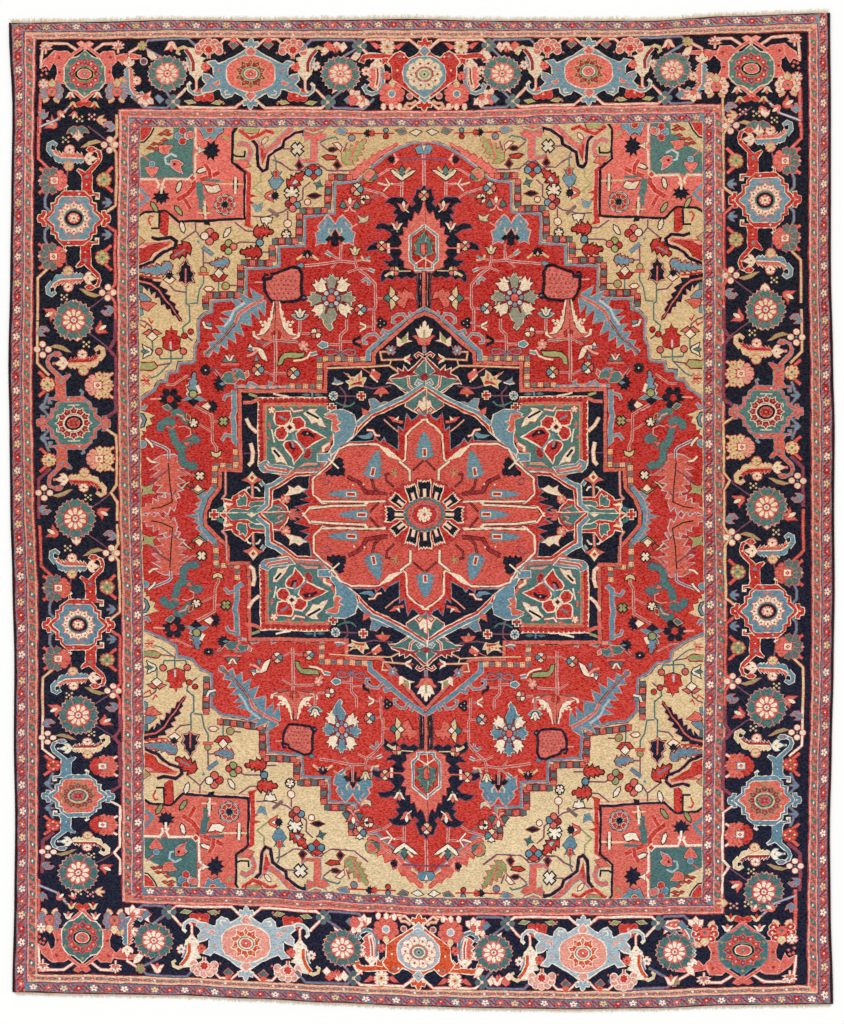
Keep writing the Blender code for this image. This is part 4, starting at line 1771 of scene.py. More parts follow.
@dataclass(frozen=True)
class Medallion:
    """The stepped navy medallion with its lattice, palmettes, teal squares and lobed flower."""

    def draw(self, chart: Chart) -> None:
        """Lays the medallion.

        Args:
            chart: the whole chart.
        """
        upper = path(
            0, 198, 10, 194, 50.5, 158, 50.5, 147.5, 98, 147.5, 98, 120.5, 183, 120.5, 183, 41, 203, 41
        )
        lower = path(203, 23.5, 213, 11.5, 218.5, -2, 218, -14, 209, -24, 197, -36, 197, -53.4, 176, -53.4)
        lower += path(176, -130.4, 79.5, -130.4, 79.5, -147.7, 45, -147.7, 0, -197.5)
        outline = mirrored(upper + lower)
        self.surround(chart)
        chart.fill(BROWN, grown(outline, 2.4))
        chart.fill(CORAL, grown(outline, 1.8))
        chart.fill(NAVY, grown(outline, -1.8))
        for place in chart.quarters():
            self.lattice_vine(place)
            self.top_palmette(place)
            self.side_palmette(place)
            self.lattice(place)
            TealSquare().draw(place)
            self.fillers(place)
        for half in chart.halves():
            self.top_flower(half)
        LobedFlower().draw(chart)

    def surround(self, chart: Chart) -> None:
        """Lays the blocks and the sky scrolls around the medallion.

        Args:
            chart: the whole chart.
        """
        for place in chart.quarters():
            band = path(0, 205.6, 13, 198, 25, 188.6, 36, 179.4, 46, 171, 55.6, 162.6, 56.4, 153)
            place.line(SKY, band, 4.6, ROSE)
            place.line(SKY, path(17, 195, 20.6, 201, 26.6, 200.6, 31, 197, 31.4, 193, 28, 192), 1.9, ROSE)
            place.line(SKY, path(12, 198, 15, 203.6), 2.4, ROSE)
            place.line(SKY, path(43, 175, 48, 180.6, 55, 180, 60, 176, 59.6, 172, 55.4, 171.4), 2.0, ROSE)
            place.line(SKY, path(34, 182, 40, 184, 42, 180), 2.6, ROSE)
            blocks(place, (61, 155.6), (104, 155.6))
            blocks(place, (104, 149.5), (104, 131.3))
            blocks(place, (104, 128.6), (131, 128.6))
            place.line(SKY, path(133, 127, 186, 127), 4.6)
            for x in (137, 147, 157, 167, 177):
                place.fill(ROSE, path(x, 125.6, x + 7, 125.6, x + 7, 128.6, x, 128.6))
            place.line(SKY, path(188.5, 124, 188.5, 104, 190.5, 98, 188.5, 88, 188.5, 74, 183, 69), 4.6, ROSE)
            place.line(SKY, path(190, 121, 197, 119, 199, 114), 2.2, ROSE)
            place.line(SKY, path(190, 78, 197, 80, 201, 74), 2.6, ROSE)
            blocks(place, (187.6, 62.6), (187.6, 50))
            blocks(place, (187.6, 48.8), (207, 48.8))
            blocks(place, (208.6, 46), (208.6, 28))
            place.line(SKY, path(209.5, 26, 219, 15, 222.5, 4, 222.5, 0), 5.0, ROSE)

    def lattice(self, place: Chart) -> None:
        """Lays the red lattice line and the sky band beside it.

        Args:
            place: the quarter's place.
        """
        line = path(
            0, 127, 20, 113.5, 39, 104.5, 52, 99, 62.5, 89, 69.5, 80.5, 83.5, 68.5, 91.5, 56.5, 104.5, 41
        )
        line += path(127.8, 40.5, 145.5, 28.5, 152.6, 25, 153.2, 8.5, 163.5, 0)
        band = path(
            0, 130.2, 20, 117, 39, 108, 54, 102, 66, 91, 86, 72, 94, 60, 106, 45, 128.6, 44.2, 148, 31
        )
        band += path(156.8, 27.5, 157, 10, 166, 2.5)
        tip = path(
            55.5, 115.5, 50, 116.5, 44, 111.5, 38, 113, 34, 110.6, 24, 112, 40, 101.5, 58, 99, 53, 107.5
        )
        place.edged(SKY, ROSE, tip, 0.5)
        place.line(SKY, band, 3.8, IVORY)
        place.line(IVORY, line, 3.8)
        place.line(RED, line, 2.3)
        place.edged(RED, IVORY, path(66, 88, 71.5, 91.5, 69.5, 84.5, 72.5, 82, 68, 80.5), 0.6)
        place.line(SKY, path(160, 29, 163, 33), 3.0, IVORY)

    def lattice_vine(self, place: Chart) -> None:
        """Lays the thin vines of the navy ground.

        Args:
            place: the quarter's place.
        """
        place.line(GOLD, path(96.5, 146.6, 35, 149, 26, 143), 1.5, MADDER)
        place.line(GOLD, path(19, 155.6, 42.5, 154.5, 44, 162.6, 37, 163), 1.4, MADDER)
        lines = (
            (GOLD, 1.2, path(33, 154.6, 34.5, 149)),
            (PLUM, 1.5, path(84, 128, 78, 121, 78.2, 114, 81.5, 104)),
            (PLUM, 1.4, path(88, 118.6, 62, 118.6)),
            (PLUM, 1.8, path(33, 128.5, 52, 126.4, 60, 128.6)),
            (CORAL, 1.2, path(62, 147, 52, 140.5)),
            (PLUM, 1.2, path(180, 61.5, 164, 61.5)),
        )
        for wool, width, points in lines:
            place.line(wool, points, width)
        place.line(ROSE, path(197.8, 43, 197.8, 20, 202, 15), 1.7, PLUM)
        place.line(ROSE, path(171.2, 30, 171.2, 14), 2.0, PLUM)
        place.line(PLUM, path(150, 15.5, 139, 15.5), 1.6)
        place.line(ROSE, path(40, 95, 32, 87.5, 25, 82), 1.4)

    def top_palmette(self, place: Chart) -> None:
        """Lays half of the teal palmette at the medallion's head and of the teal hexagon under it.

        Args:
            place: the quarter's place.
        """
        head = path(
            -1, 155.5, 2, 157, 12, 147, 16, 143.6, 20.5, 149, 20.5, 143, 26, 146, 25.5, 140.6, 33, 137.5
        )
        place.edged(MADDER, IVORY, head + path(38.5, 130, 37, 132, 29, 131, 24, 126, 19, 122, -1, 127), 0.9)
        leaf = path(
            -1, 154, 1, 154, 10.5, 143, 5, 139.5, 16, 138.6, 24, 136, 34, 135.4, 28.5, 130.5, 22, 126.5,
            12, 120, -1, 128,
        )
        place.edged(TEAL, IVORY, leaf, 0.6)
        place.line(CORAL, path(16, 138.6, 15, 129, 10, 124), 1.7, IVORY)
        place.line(SKY, path(1, 131.6, 6, 134.5, 8, 131, 5, 129.4), 1.7, IVORY)
        hexagon = path(-1, 124, 3, 123, 18, 113, 18, 109, 4, 101, -1, 101)
        place.edged(RED, IVORY, grown(hexagon, 1.0), 0.8)
        place.fill(TEAL, hexagon)
        foot = path(-1, 118.5, 1.6, 117, 2, 112.5, 5.5, 114.5, 7, 108.6, 4, 107, 3, 104, -1, 105.5)
        place.edged(IVORY, CORAL, foot, 0.5)
        place.line(RED, path(3, 104, 6, 107.4, 9, 104.5, 6, 102), 1.5, IVORY)
        place.line(RED, path(1, 158.5, 6, 161.5, 9, 159.5, 7, 157), 1.6, IVORY)

    def top_flower(self, half: Chart) -> None:
        """Lays the flowers on the medallion's long axis.

        Args:
            half: the half's place.
        """
        half.line(SKY, path(0, 161, 0, 168), 2.6, CORAL)
        cup = mirrored(path(0, 168.5, 5.5, 170.5, 7.5, 175.5, 11, 178.5, 8.5, 179.5, 5, 177, 3, 176))
        crest = mirrored(path(0, 171, 4, 174, 8.5, 186, 5, 185, 3.8, 189.5, 2, 186.5, 1.6, 192, 0, 193.5))
        half.edged(IVORY, MADDER, crest, 0.5)
        half.edged(CORAL, MADDER, cup, 0.4)
        half.line(GREEN, path(0, 174.5, 0, 184.5), 2.0)
        half.edged(MADDER, None, [(x, y + 138) for x, y in petalled(3, 4.6, 2.6, 0.6)])

    def side_palmette(self, place: Chart) -> None:
        """Lays half of the teal palmette at the medallion's side.

        Args:
            place: the quarter's place.
        """
        body = path(
            203, 0, 201.5, 1.5, 193.5, 8.5, 198.5, 10, 199.5, 15, 192, 13.6, 190.5, 17.5, 179, 25, 172, 16.5
        )
        place.edged(RED, IVORY, body + path(158, 16.5, 158, -1, 203, -1), 0.8)
        leaf = path(
            186, 8.6, 187, 14, 184, 15.5, 184.5, 19, 181, 17.5, 179, 20.5, 177, 17, 177.5, 9, 180, 9.6,
            182, 8.4,
        )
        place.edged(TEAL, IVORY, leaf, 0.7)
        branch = path(175, 9, 173.5, 12.5, 168, 13.4, 158, 13.4, 158, 9.6, 168, 9.4, 172, 7.6)
        place.edged(TEAL, IVORY, branch, 0.5)
        lozenge = path(197.5, -1, 197.5, 0, 191.5, 5.6, 176, 4.6, 169, 8.2, 158, 8.2, 158, -1)
        place.edged(TEAL, IVORY, lozenge, 0.6)
        inner = path(164, -1, 164, 0, 150.5, 12.6, 145.5, 13.6, 138, 6.6, 135.4, -1)
        place.edged(RED, IVORY, grown(inner, 0.9), 0.8)
        place.fill(TEAL, path(160.5, -1, 150.5, 10, 144, 10, 138.8, 5.4, 137.6, -1))
        place.line(ROSE, path(149, 8.5, 142, 6.4, 146, 3, 141, 1), 1.1)
        place.line(PLUM, path(146, 6.6, 140.4, 3.2), 1.0)
        place.edged(IVORY, GOLD, path(177, -0.5, 172, 2.4, 167, -0.5), 0.4)
        SmallFlower(RED, IVORY, MADDER, 4, 4.6).draw(place.at(209.5, 0))
        thorns = path(136, -0.5, 133, 5, 127, 5.4, 130, 2.4, 122, 3.4, 124, 0.8, 117, -0.5)
        place.edged(CORAL, PLUM, thorns, 0.7)

    def fillers(self, place: Chart) -> None:
        """Lays the small flowers of one quarter of the navy ground.

        Args:
            place: the quarter's place.
        """
        place.line(IVORY, path(176.7, 96.2, 172.6, 88.4, 166, 82.4), 2.4, ROSE)
        place.line(IVORY, path(172.6, 71.8, 170.6, 62.8, 171.4, 53, 175, 49.4), 2.8, ROSE)
        diamond = path(171.2, 44.6, 165.4, 37, 171.2, 31, 177, 37)
        place.fill(
            CORAL, path(182, 34.6, 176, 33, 171.2, 29.5, 166.4, 33, 160.4, 34.6, 165.5, 37, 171, 43, 177, 37)
        )
        place.edged(IVORY, GOLD, grown(diamond, -1.4), 0.8)
        place.dots(RED, [(171.2, 37)], 2.4)
        place.line(IVORY, path(178.4, 23.4, 176, 27, 173.4, 27.6), 1.6)
        place.line(IVORY, path(164, 23.4, 166.4, 27, 169, 27.6), 1.6)
        tulip(place.at(200, 11, 130, 0.8), IVORY, CORAL)
        place.fill(TEAL, path(209, 3, 205, 7, 200, 8.6, 201, 3.5))
        SmallFlower(ROSE, CORAL, IVORY, 5, 4.2).draw(place.at(138.6, 15.5))
        leaf = path(
            139.5, 18.5, 134.5, 24.5, 135.6, 29, 130, 26.4, 125.6, 29.5, 121.2, 26.4, 117.5, 26, 124.5, 21.6
        )
        place.edged(IVORY, CORAL, leaf + path(128.9, 20.6, 133, 19.6), 0.4)
        place.line(CORAL, path(180, 112, 172, 112.4, 164, 116), 3.4)
        place.line(GREEN, path(174, 121, 166, 118.4), 2.6)
        place.line(IVORY, path(150, 121.4, 143.5, 119.6, 135, 118), 1.8)
        for x in (105, 117):
            place.fill(TEAL, path(x - 5, 120, x, 121.8, x + 5, 120, x, 118.6))
        place.line(SKY, path(111, 123, 111, 117.4), 1.8)
        SmallFlower(SKY, IVORY, NAVY, 5, 3.8).draw(place.at(90, 118.8))
        SmallFlower(RED, IVORY, MADDER, 4, 4.0).draw(place.at(62.5, 119))
        place.line(TEAL, path(88, 112.4, 82, 109.4, 76, 108.6), 1.6)
        place.line(TEAL, path(80, 107.6, 73, 109, 69, 112.6), 1.6)
        bird = path(92, 131, 86, 129.4, 80, 132, 84, 133.6, 87, 134.6, 89.4, 137.6, 89, 133.4)
        place.edged(SKY, CORAL, bird, 0.3)
        place.line(IVORY, path(91, 131, 86, 130, 80.6, 131.6), 1.3)
        star = path(
            81, 143, 73, 138, 69, 137.4, 62.4, 144, 62, 137.6, 57.4, 137, 60, 131, 60.6, 128.6, 68, 129.4
        )
        place.edged(GOLD, IVORY, star + path(74.5, 125.6, 74, 130, 77.6, 133.4, 72, 135), 0.4)
        place.fill(CORAL, path(66, 138.6, 64, 142, 63, 136, 65, 133))
        place.fill(RED, path(74, 128.6, 66, 130.4, 61, 130, 62, 134, 70, 132))
        place.dots(CORAL, [(71.5, 135.4), (76, 140)], 1.8)
        place.dots(SKY, [(67.5, 134.6)], 1.2)
        cup = path(52, 146, 48, 143.6, 43.4, 140.6, 44.4, 136.6, 48, 133.4, 51, 135.6, 54, 139)
        place.edged(CORAL, RED, cup, 0.3)
        place.line(IVORY, path(53.6, 140, 48, 134.4), 1.8)
        place.dots(IVORY, [(50, 144.6), (46.6, 133.4)], 1.3)
        tulip(place.at(21, 155.6, 90, 0.75), IVORY, RED)
        SmallFlower(SKY, CORAL, IVORY, 4, 4.4).draw(place.at(33.5, 164.4, 45))
        place.line(PLUM, path(31, 166, 27.6, 169), 1.3)
        big = path(27, 169.4, 27, 178, 22, 174.6, 15.6, 183, 16, 175, 11.4, 173.6, 18.6, 172.4, 24.6, 168.6)
        place.edged(IVORY, CORAL, big, 0.5)
        place.fill(GREEN, path(22.6, 171.6, 22, 176.6, 16.6, 180.6, 17.4, 173.6))
        bell = path(42, 127.6, 38, 124.6, 35.6, 121, 42, 120.8, 43.4, 117.6, 45, 120.8, 50.6, 121, 47, 124.6)
        place.edged(CORAL, RED, bell, 0.4)
        place.dots(GREEN, [(43.4, 119.4)], 1.5)
        place.edged(CORAL, MADDER, path(62.5, 107, 61.5, 100.5, 55.6, 99.8, 55.4, 103.4), 0.3)
        place.edged(CORAL, RED, path(36, 98, 33, 95.6, 31, 93, 21.4, 91, 21.4, 93.6, 28, 94, 30, 97), 0.4)
        place.fill(IVORY, path(30, 94.6, 25, 98.6, 26, 94))
        place.fill(SKY, path(67, 79, 61, 76, 54, 76, 50.6, 80, 53, 83, 58, 80))
        place.line(IVORY, path(57, 85, 51, 84.4, 48.4, 79.4, 44, 78.6), 1.6, RED)


def carnation(chart: Chart, wool: Wool, heart: Wool | None = None, edge: Wool | None = None) -> None:
    """A toothed fan about 11 knots high that opens upwards.

    Args:
        chart: its place.
        wool: its wool.
        heart: the wool of its middle, if any.
        edge: the wool around it, if any.
    """
    half = path(
        0, 0, 2.0, 1.0, 3.0, 3.4, 6.6, 3.0, 4.4, 5.2, 7.4, 7.8, 4.2, 7.6, 3.8, 10.6, 1.8, 9.2, 0, 11.8
    )
    chart.edged(wool, edge, mirrored(half), 0.7)
    if heart:
        chart.fill(heart, mirrored(path(0, 0.6, 1.7, 3.6, 0, 6.8)))


def four_petals(chart: Chart, up: Wool, out: Wool, down: Wool, inward: Wool) -> None:
    """A flower of four petals, each in its own wool, about 13 knots across.

    Args:
        chart: its place.
        up: the wool of the petal that points up.
        out: of the one that points outward.
        down: of the one that points down.
        inward: of the one that points inward.
    """
    half = path(0, 0.4, 2.3, 2.2, 3.1, 5.4, 1.5, 5.2, 0, 6.6)
    for turn, wool in ((0, up), (-90, out), (180, down), (90, inward)):
        chart.at(0, 0, turn).edged(wool, BROWN, mirrored(half), 0.5)


def twin_stem(chart: Chart, points: Outline, width: float = 3.0, wool: Wool = ROSE) -> None:
    """A stem drawn as two pale lines with a plum one between them."""
    chart.line(wool, points, width)
    chart.line(PLUM, points, width * 0.36)


def on_line(line: Outline, share: float) -> tuple[Point, Point]:
    """The point and the direction at a share of a line's length.

    Args:
        line: the line.
        share: the share, from 0 to 1.

    Returns:
        The point, and the direction there.
    """
    lengths = [math.dist(a, b) for a, b in zip(line, line[1:])]
    left = share * sum(lengths)
    for a, b, length in zip(line, line[1:], lengths):
        if left <= length or b is line[-1]:
            part = left / length
            return (a[0] + (b[0] - a[0]) * part, a[1] + (b[1] - a[1]) * part), unit(b[0] - a[0], b[1] - a[1])
        left -= length
    return line[-1], (0.0, 1.0)


def feather(
    chart: Chart,
    wool: Wool,
    spine: Outline,
    width: float,
    teeth: int = 7,
    edge: Wool | None = None,
    vein: Wool | None = None,
    notch: float = 0.46,
) -> None:
    """A toothed leaf along a line, widest a third of the way from its foot.

    Args:
        chart: its place.
        wool: the leaf's wool.
        spine: the line from foot to tip.
        width: its greatest width.
        teeth: number of teeth on each side.
        edge: the wool around it, if any.
        vein: the wool of its middle line, if any.
        notch: its width between two teeth, as a share of the width there.
    """
    near, far = [], []
    for i in range(teeth):
        for share, part in ((i / teeth, notch), ((i + 0.8) / teeth, 1.0)):
            (x, y), (u, v) = on_line(spine, share)
            half = width / 2 * part * math.sin(math.pi * (0.16 + 0.8 * share) ** 0.75) ** 0.8
            near.append((x + v * half, y - u * half))
            far.append((x - v * half, y + u * half))
    outline = near + [spine[-1]] + far[::-1]
    chart.edged(wool, edge, outline, 0.7)
    if vein:
        chart.fill(vein, ribbon(spine, 2.0, 0.8))


@dataclass(frozen=True)
class RedField:
    """The stepped red ground between the gold corners and the medallion."""

    def draw(self, chart: Chart) -> None:
        """Lays the red ground with its edge.

        Args:
            chart: the whole chart.
        """
        upper = path(-1, 369.6, 12, 367, 22, 363, 33, 357.6, 44, 349, 52, 342.6, 62, 333, 66, 329.4, 87, 327)
        upper += path(87, 297, 116.6, 294, 116.6, 265, 142, 263.4)
        upper += path(
            142, 244, 174, 241.6, 174, 211, 208, 209, 208.5, 199, 216, 197, 222, 191, 222, 170, 225, 165
        )
        upper += path(
            226, 151, 228.5, 147.5, 242, 146.6, 243, 138.5, 253, 137.5, 254, 129, 262, 128.4, 266, 121
        )
        upper += path(274, 116, 282.6, 108)
        lower = path(
            282.6, -120, 264, -128, 248, -138, 247, -147.5, 234, -149.5, 224, -160.5, 213, -165.5, 213, -198
        )
        lower += path(
            203, -207, 192, -208, 157, -214.5, 156, -244, 123, -246, 122, -267.5, 95.5, -268.5, 95.5, -292.5
        )
        lower += path(69, -292.5, 68, -321, 48.5, -322, -1, -367)
        outline = upper + lower
        whole = outline + [(-x, y) for x, y in reversed(outline)]
        for side in chart.sides():
            feather(side, CORAL, path(74, 334, 53, 350, 26, 368), 11, 7, RED)
            feather(side, CORAL, path(56, -326, 30, -350, 3, -375), 19, 7, RED)
        chart.fill(BROWN, grown(whole, 3.4))
        chart.fill(ROSE, grown(whole, 2.9))
        chart.fill(SKY, grown(whole, 2.2))
        chart.fill(RED, whole)
        for side in chart.sides():
            self.edge_blocks(side)
        for place in chart.quarters():
            level = place.at(0, 3.5)
            self.pendant(level)
            self.tip_stems(level)
            self.tip_sprays(level)
            if place.repeated_low:
                drawn_in = place.at(0, 9.5, wide=0.9, tall=1.0)
                self.half_palmette(place.at(73.5, 281))
                self.cartouche(place.at(16.7, 40.6, wide=0.8, tall=0.86))
                self.star_flower(place.at(84.5, 225, wide=0.76, tall=0.92), SKY)
                self.bell(place.at(131.5, 188, tall=0.72))
                self.long_leaf(place.at(-11, 6))
            else:
                drawn_in = level
                self.half_palmette(place.at(88, 283.5))
                self.cartouche(level)
                self.star_flower(place.at(91.5, 216.5, wide=0.94, tall=0.96), GREY)
                self.bell(place.at(146, 175.5))
                self.long_leaf(level)
            self.stems(drawn_in)
            self.sprays(drawn_in)
            self.side_leaves(level)
            self.side_flowers(level)
        for half in chart.halves():
            self.pendant_heart(half.at(0, 3.5))

    def edge_blocks(self, side: Chart) -> None:
        """Lays the rows of small blocks on the steps of the field's edge.

        Args:
            side: the side's place.
        """
        rows = (
            path(74, 334.5, 92, 334.5), path(95, 328, 95, 305), path(98, 301, 120, 301),
            path(123.4, 296, 123.4, 273),
            path(127, 270.4, 147, 270.4), path(150, 264, 150, 253), path(153, 249, 178, 249),
            path(181.4, 244, 181.4, 221),
            path(184, 216.6, 212, 216.6), path(215.6, 213, 215.6, 205),
            path(76, -299.6, 99, -299.6), path(102.4, -294, 102.4, -277), path(105, -275, 126, -275),
            path(129.6, -270, 129.6, -254), path(133, -252, 160, -252), path(163.4, -247, 163.4, -223),
            path(166, -220, 206, -215), path(219.6, -205, 219.6, -172), path(75, -324, 75, -304),
        )
        for start, stop in rows:
            side.line(MADDER, [start, stop], 7.6)
            blocks(side, start, stop, 7.2, 5.2, (CORAL, TEAL), (RED, MADDER))
        tip = path(
            212, 19, 221, 19, 226, 15, 222, 11, 227.6, 7, 224, 3, 230, 0, 226, -3, 238, -5, 226, -8, 230, -11
        )
        tip += path(224, -14, 227.6, -18, 222, -22, 226, -26, 221, -30, 212, -30)
        side.edged(SKY, ROSE, tip, 0.6)

    def pendant(self, place: Chart) -> None:
        """Lays one half of the toothed navy pendant and its stem.

        Args:
            place: the quarter's place.
        """
        navy = path(
            -1, 325, 0, 325, 3, 321, 7, 322, 8, 317, 11, 311, 8, 308, 12, 304, 16, 309, 21, 314, 28, 314.6
        )
        navy += path(
            34, 313, 38.6, 308.6, 34, 308.6, 30, 306, 27, 303, 31, 298.6, 26, 297, 29.6, 291, 27.6, 286.6
        )
        navy += path(
            34, 285.6, 40, 288, 46, 287, 48.4, 283, 42, 282.6, 36, 281, 31, 276.6, 36, 271, 40, 268, 48, 269
        )
        navy += path(
            54, 266, 56.4, 260.6, 50, 262, 42, 262, 36, 258.4, 30, 252, 34, 250, 40.6, 251, 36, 246, 31, 243
        )
        navy += path(
            40, 240.6, 42.6, 236, 42, 229, 36, 234, 31, 231.6, 27, 235.6, 22, 232.6, 17, 235.6, 12, 233,
            8, 236, -1, 238,
        )
        place.edged(NAVY, PLUM, navy, 0.9)
        coral = path(
            -1, 311, 0, 311, 3, 300, 6, 296, 9, 299.6, 12, 290, 15.6, 291.6, 16, 283, 20.6, 284, 19.6, 276
        )
        coral += path(
            24.4, 275, 21, 268, 25, 264, 21, 258.6, 24.6, 254, 19.6, 250, 20, 244, 12, 241.6, 8, 238.4,
            -1, 238.4,
        )
        place.edged(CORAL, MADDER, coral, 0.6)
        ring = path(-1, 286.6, 0, 286.6, 14, 275.6, 14.6, 250.6, 9, 246, 9, 241.4, -1, 241.4)
        place.fill(IVORY, grown(ring, 0.9))
        place.fill(SKY, ring)
        place.edged(
            RED, IVORY, path(-1, 284, 0, 284, 11.8, 274.4, 12.2, 252, 7, 247.6, 7, 243.6, -1, 243.6), 0.5
        )
        leaf = path(
            -1, 280, 0, 280, 2.6, 276, 2.6, 272.6, 6, 274.6, 6, 269, 10, 268, 7.4, 264, 9.6, 258, 5, 257,
            0, 255,
        )
        place.edged(TEAL, GREEN, leaf + path(-1, 255), 0.4)
        place.edged(CORAL, RED, path(-1, 268, 2.6, 267, 2.8, 259, 0, 256.6, -1, 256.6), 0.4)
        place.line(IVORY, path(9, 247.6, 0, 253.4, -1, 254), 1.2)
        for wool, width in ((SKY, 6.8), (PLUM, 6.2), (NAVY, 5.4), (ROSE, 3.7), (NAVY, 2.9)):
            place.fill(wool, path(-1, 238, width, 238, width, 203.6, -1, 206))
        place.fill(CORAL, path(-1, 240, 1.8, 240, 1.8, 203, -1, 204))
        tulip(place.at(20, 300, 0, 0.9), CORAL, IVORY)
        place.line(IVORY, path(20, 303, 15, 299), 1.0)
        tulip(place.at(27, 281, 0, 0.8), IVORY, CORAL)
        place.line(GREEN, path(27, 282, 26, 279), 1.4)
        four_petals(place.at(41.5, 265.6, 0, 0.8), IVORY, CORAL, GOLD, CORAL)
        place.line(IVORY, path(35, 268, 35, 258), 2.4, RED)
        place.line(CORAL, path(38, 263, 24, 263), 1.4)
        four_petals(place.at(29.4, 240, 45, 0.8), GOLD, CORAL, IVORY, CORAL)
        place.line(GOLD, path(33, 238.4, 38.6, 235), 2.6)
        place.line(GOLD, path(25, 240, 13, 240.4), 1.1)
        for x, y in ((47, 276), (52, 271), (46, 258), (40, 247), (34, 281), (32, 302)):
            place.fill(PLUM, path(x, y, x - 4, y + 1, x - 4, y - 0.6))

    def pendant_heart(self, half: Chart) -> None:
        """Lays the parts of the pendant on the field's long axis.

        Args:
            half: the half's place.
        """
        four_petals(half.at(0, 315.6, 0, 0.85), IVORY, CORAL, GOLD, CORAL)
        twin_stem(half, path(0, 326, 0, 369), 3.4)
        half.line(PLUM, path(-24, 352, 24, 352), 1.8)
        half.fill(SKY, path(-9, 363, -6, 357.6, 6, 357.6, 9, 363, 5, 366.6, -5, 366.6))
        half.fill(IVORY, path(-2, 366, 0, 360, 2, 366))
        half.line(IVORY, path(-3, 255, 3, 251), 1.0)

    def half_palmette(self, spot: Chart) -> None:
        """Lays the blue half-palmette under a step of the edge.

        Args:
            spot: its place.
        """
        half = path(
            0, 6.4, 4, 13, 7.6, 16, 11, 12, 13.6, 9.6, 16.6, 5.6, 14.6, 1.6, 19.4, -1.4, 17.4, -9.6,
            18.4, -13.4,
        )
        half += path(14, -10.6, 9, -12, 6.6, -8.4, 4.6, -3, 2.4, 0, 1.6, 3)
        spot.edged(SKY, ROSE, mirrored(half + path(0, 3)), 1.0)
        heart = path(
            0, 0, 1.8, -2.4, 2.4, -6, 6, -5.4, 8.4, -8, 6.4, -9.4, 5, -7.6, 2.4, -8.6, 3, -13.6, 0, -14.4
        )
        spot.edged(NAVY, BROWN, mirrored(heart), 0.5)
        for side in spot.sides():
            side.line(GOLD, path(4, -2.6, 6.6, -0.4, 6, 3.4), 1.5)
            side.fill(ROSE, path(9, 9, 12, 4.4, 10.6, 9.6))

    def cartouche(self, place: Chart) -> None:
        """Lays the pink cartouche with its navy outline and dots.

        Args:
            place: the quarter's place.
        """
        outline = path(
            156.8, 231.8, 150.6, 233, 149.4, 237, 138.7, 240.6, 131, 243.6, 124.5, 243, 121.6, 237.5,
            122.2, 226,
        )
        outline += path(121, 216.4, 125, 211.6, 138.7, 210, 150.3, 210.6, 153.6, 215, 156.6, 222.2)
        place.fill(BROWN, grown(outline, 2.4))
        place.fill(NAVY, grown(outline, 1.9))
        place.edged(CORAL, RED, grown(outline, -1.2), 0.4)
        spots = [(127 + 4.6 * i + 2.3 * (j % 2), 213.6 + 4.3 * j) for j in range(7) for i in range(7)]
        inside = [(x, y) for x, y in spots if x < 154 and y < 239 - (x - 132) * 0.4 and (x < 150 or y > 216)]
        place.dots(PLUM, inside, 1.25)
        place.line(NAVY, path(156.6, 229, 159, 233, 157, 237.6, 153.6, 236.6), 2.6)
        place.line(NAVY, path(124, 213, 119, 211.6, 116.4, 214.6, 119, 217), 2.6)
        place.line(SKY, path(117.4, 213.6, 119, 215), 1.2)
        place.line(ROSE, path(159, 229.6, 167, 230), 1.5, MADDER)
        place.fill(SKY, path(126, 246, 121, 249, 118.6, 246, 121, 243.6))

    def star_flower(self, spot: Chart, wool: Wool) -> None:
        """Lays the large flower of eight leaves, in turn of a wool and ivory.

        Args:
            spot: its place.
            wool: the wool of every second leaf.
        """
        grey = mirrored(path(0, 9, 4, 12, 7.6, 15, 6, 17.6, 7, 21, 3, 20.6, 1.6, 25, 0, 23))
        pale = mirrored(path(0, 8.6, 4.6, 13, 7, 17, 5.6, 20, 6, 24.6, 2.6, 22.6, 0, 27, -0.2, 22))
        for turn in (0, 90, -90):
            spot.at(0, 0, turn).edged(wool, IVORY, grey, 0.5)
        for turn in (40, -40):
            spot.at(0, 0, turn).edged(IVORY, MADDER, pale, 0.5)
        for turn in (128, -134):
            spot.at(0, 0, turn).edged(IVORY, MADDER, pale, 0.5)
        fall = path(
            -6, -9, 7, -8, 7.6, -14, 12.6, -19, 9.6, -22, 8.6, -27, 6, -30, 2, -34, -1, -31, 1, -26, -3, -22,
            -6, -16,
        )
        spot.edged(wool, IVORY, fall, 0.6)
        for k in range(8):
            spot.at(0, 0, 22.5 + 45 * k).fill(MADDER, path(-0.8, 9, 0.8, 9, 0.5, 17, -0.5, 17))
        spot.fill(RED, petalled(8, 10.6, 9.6, 0.5))
        for k in range(8):
            x, y = polar(7.4, math.tau * k / 8)
            spot.at(x, y).edged(PALE if k % 2 else SKY, MADDER, petalled(6, 2.3, 2.1, 0.5), 0.5)
        spot.edged(CORAL, RED, petalled(8, 3.8, 3.5, 0.5), 0.6)

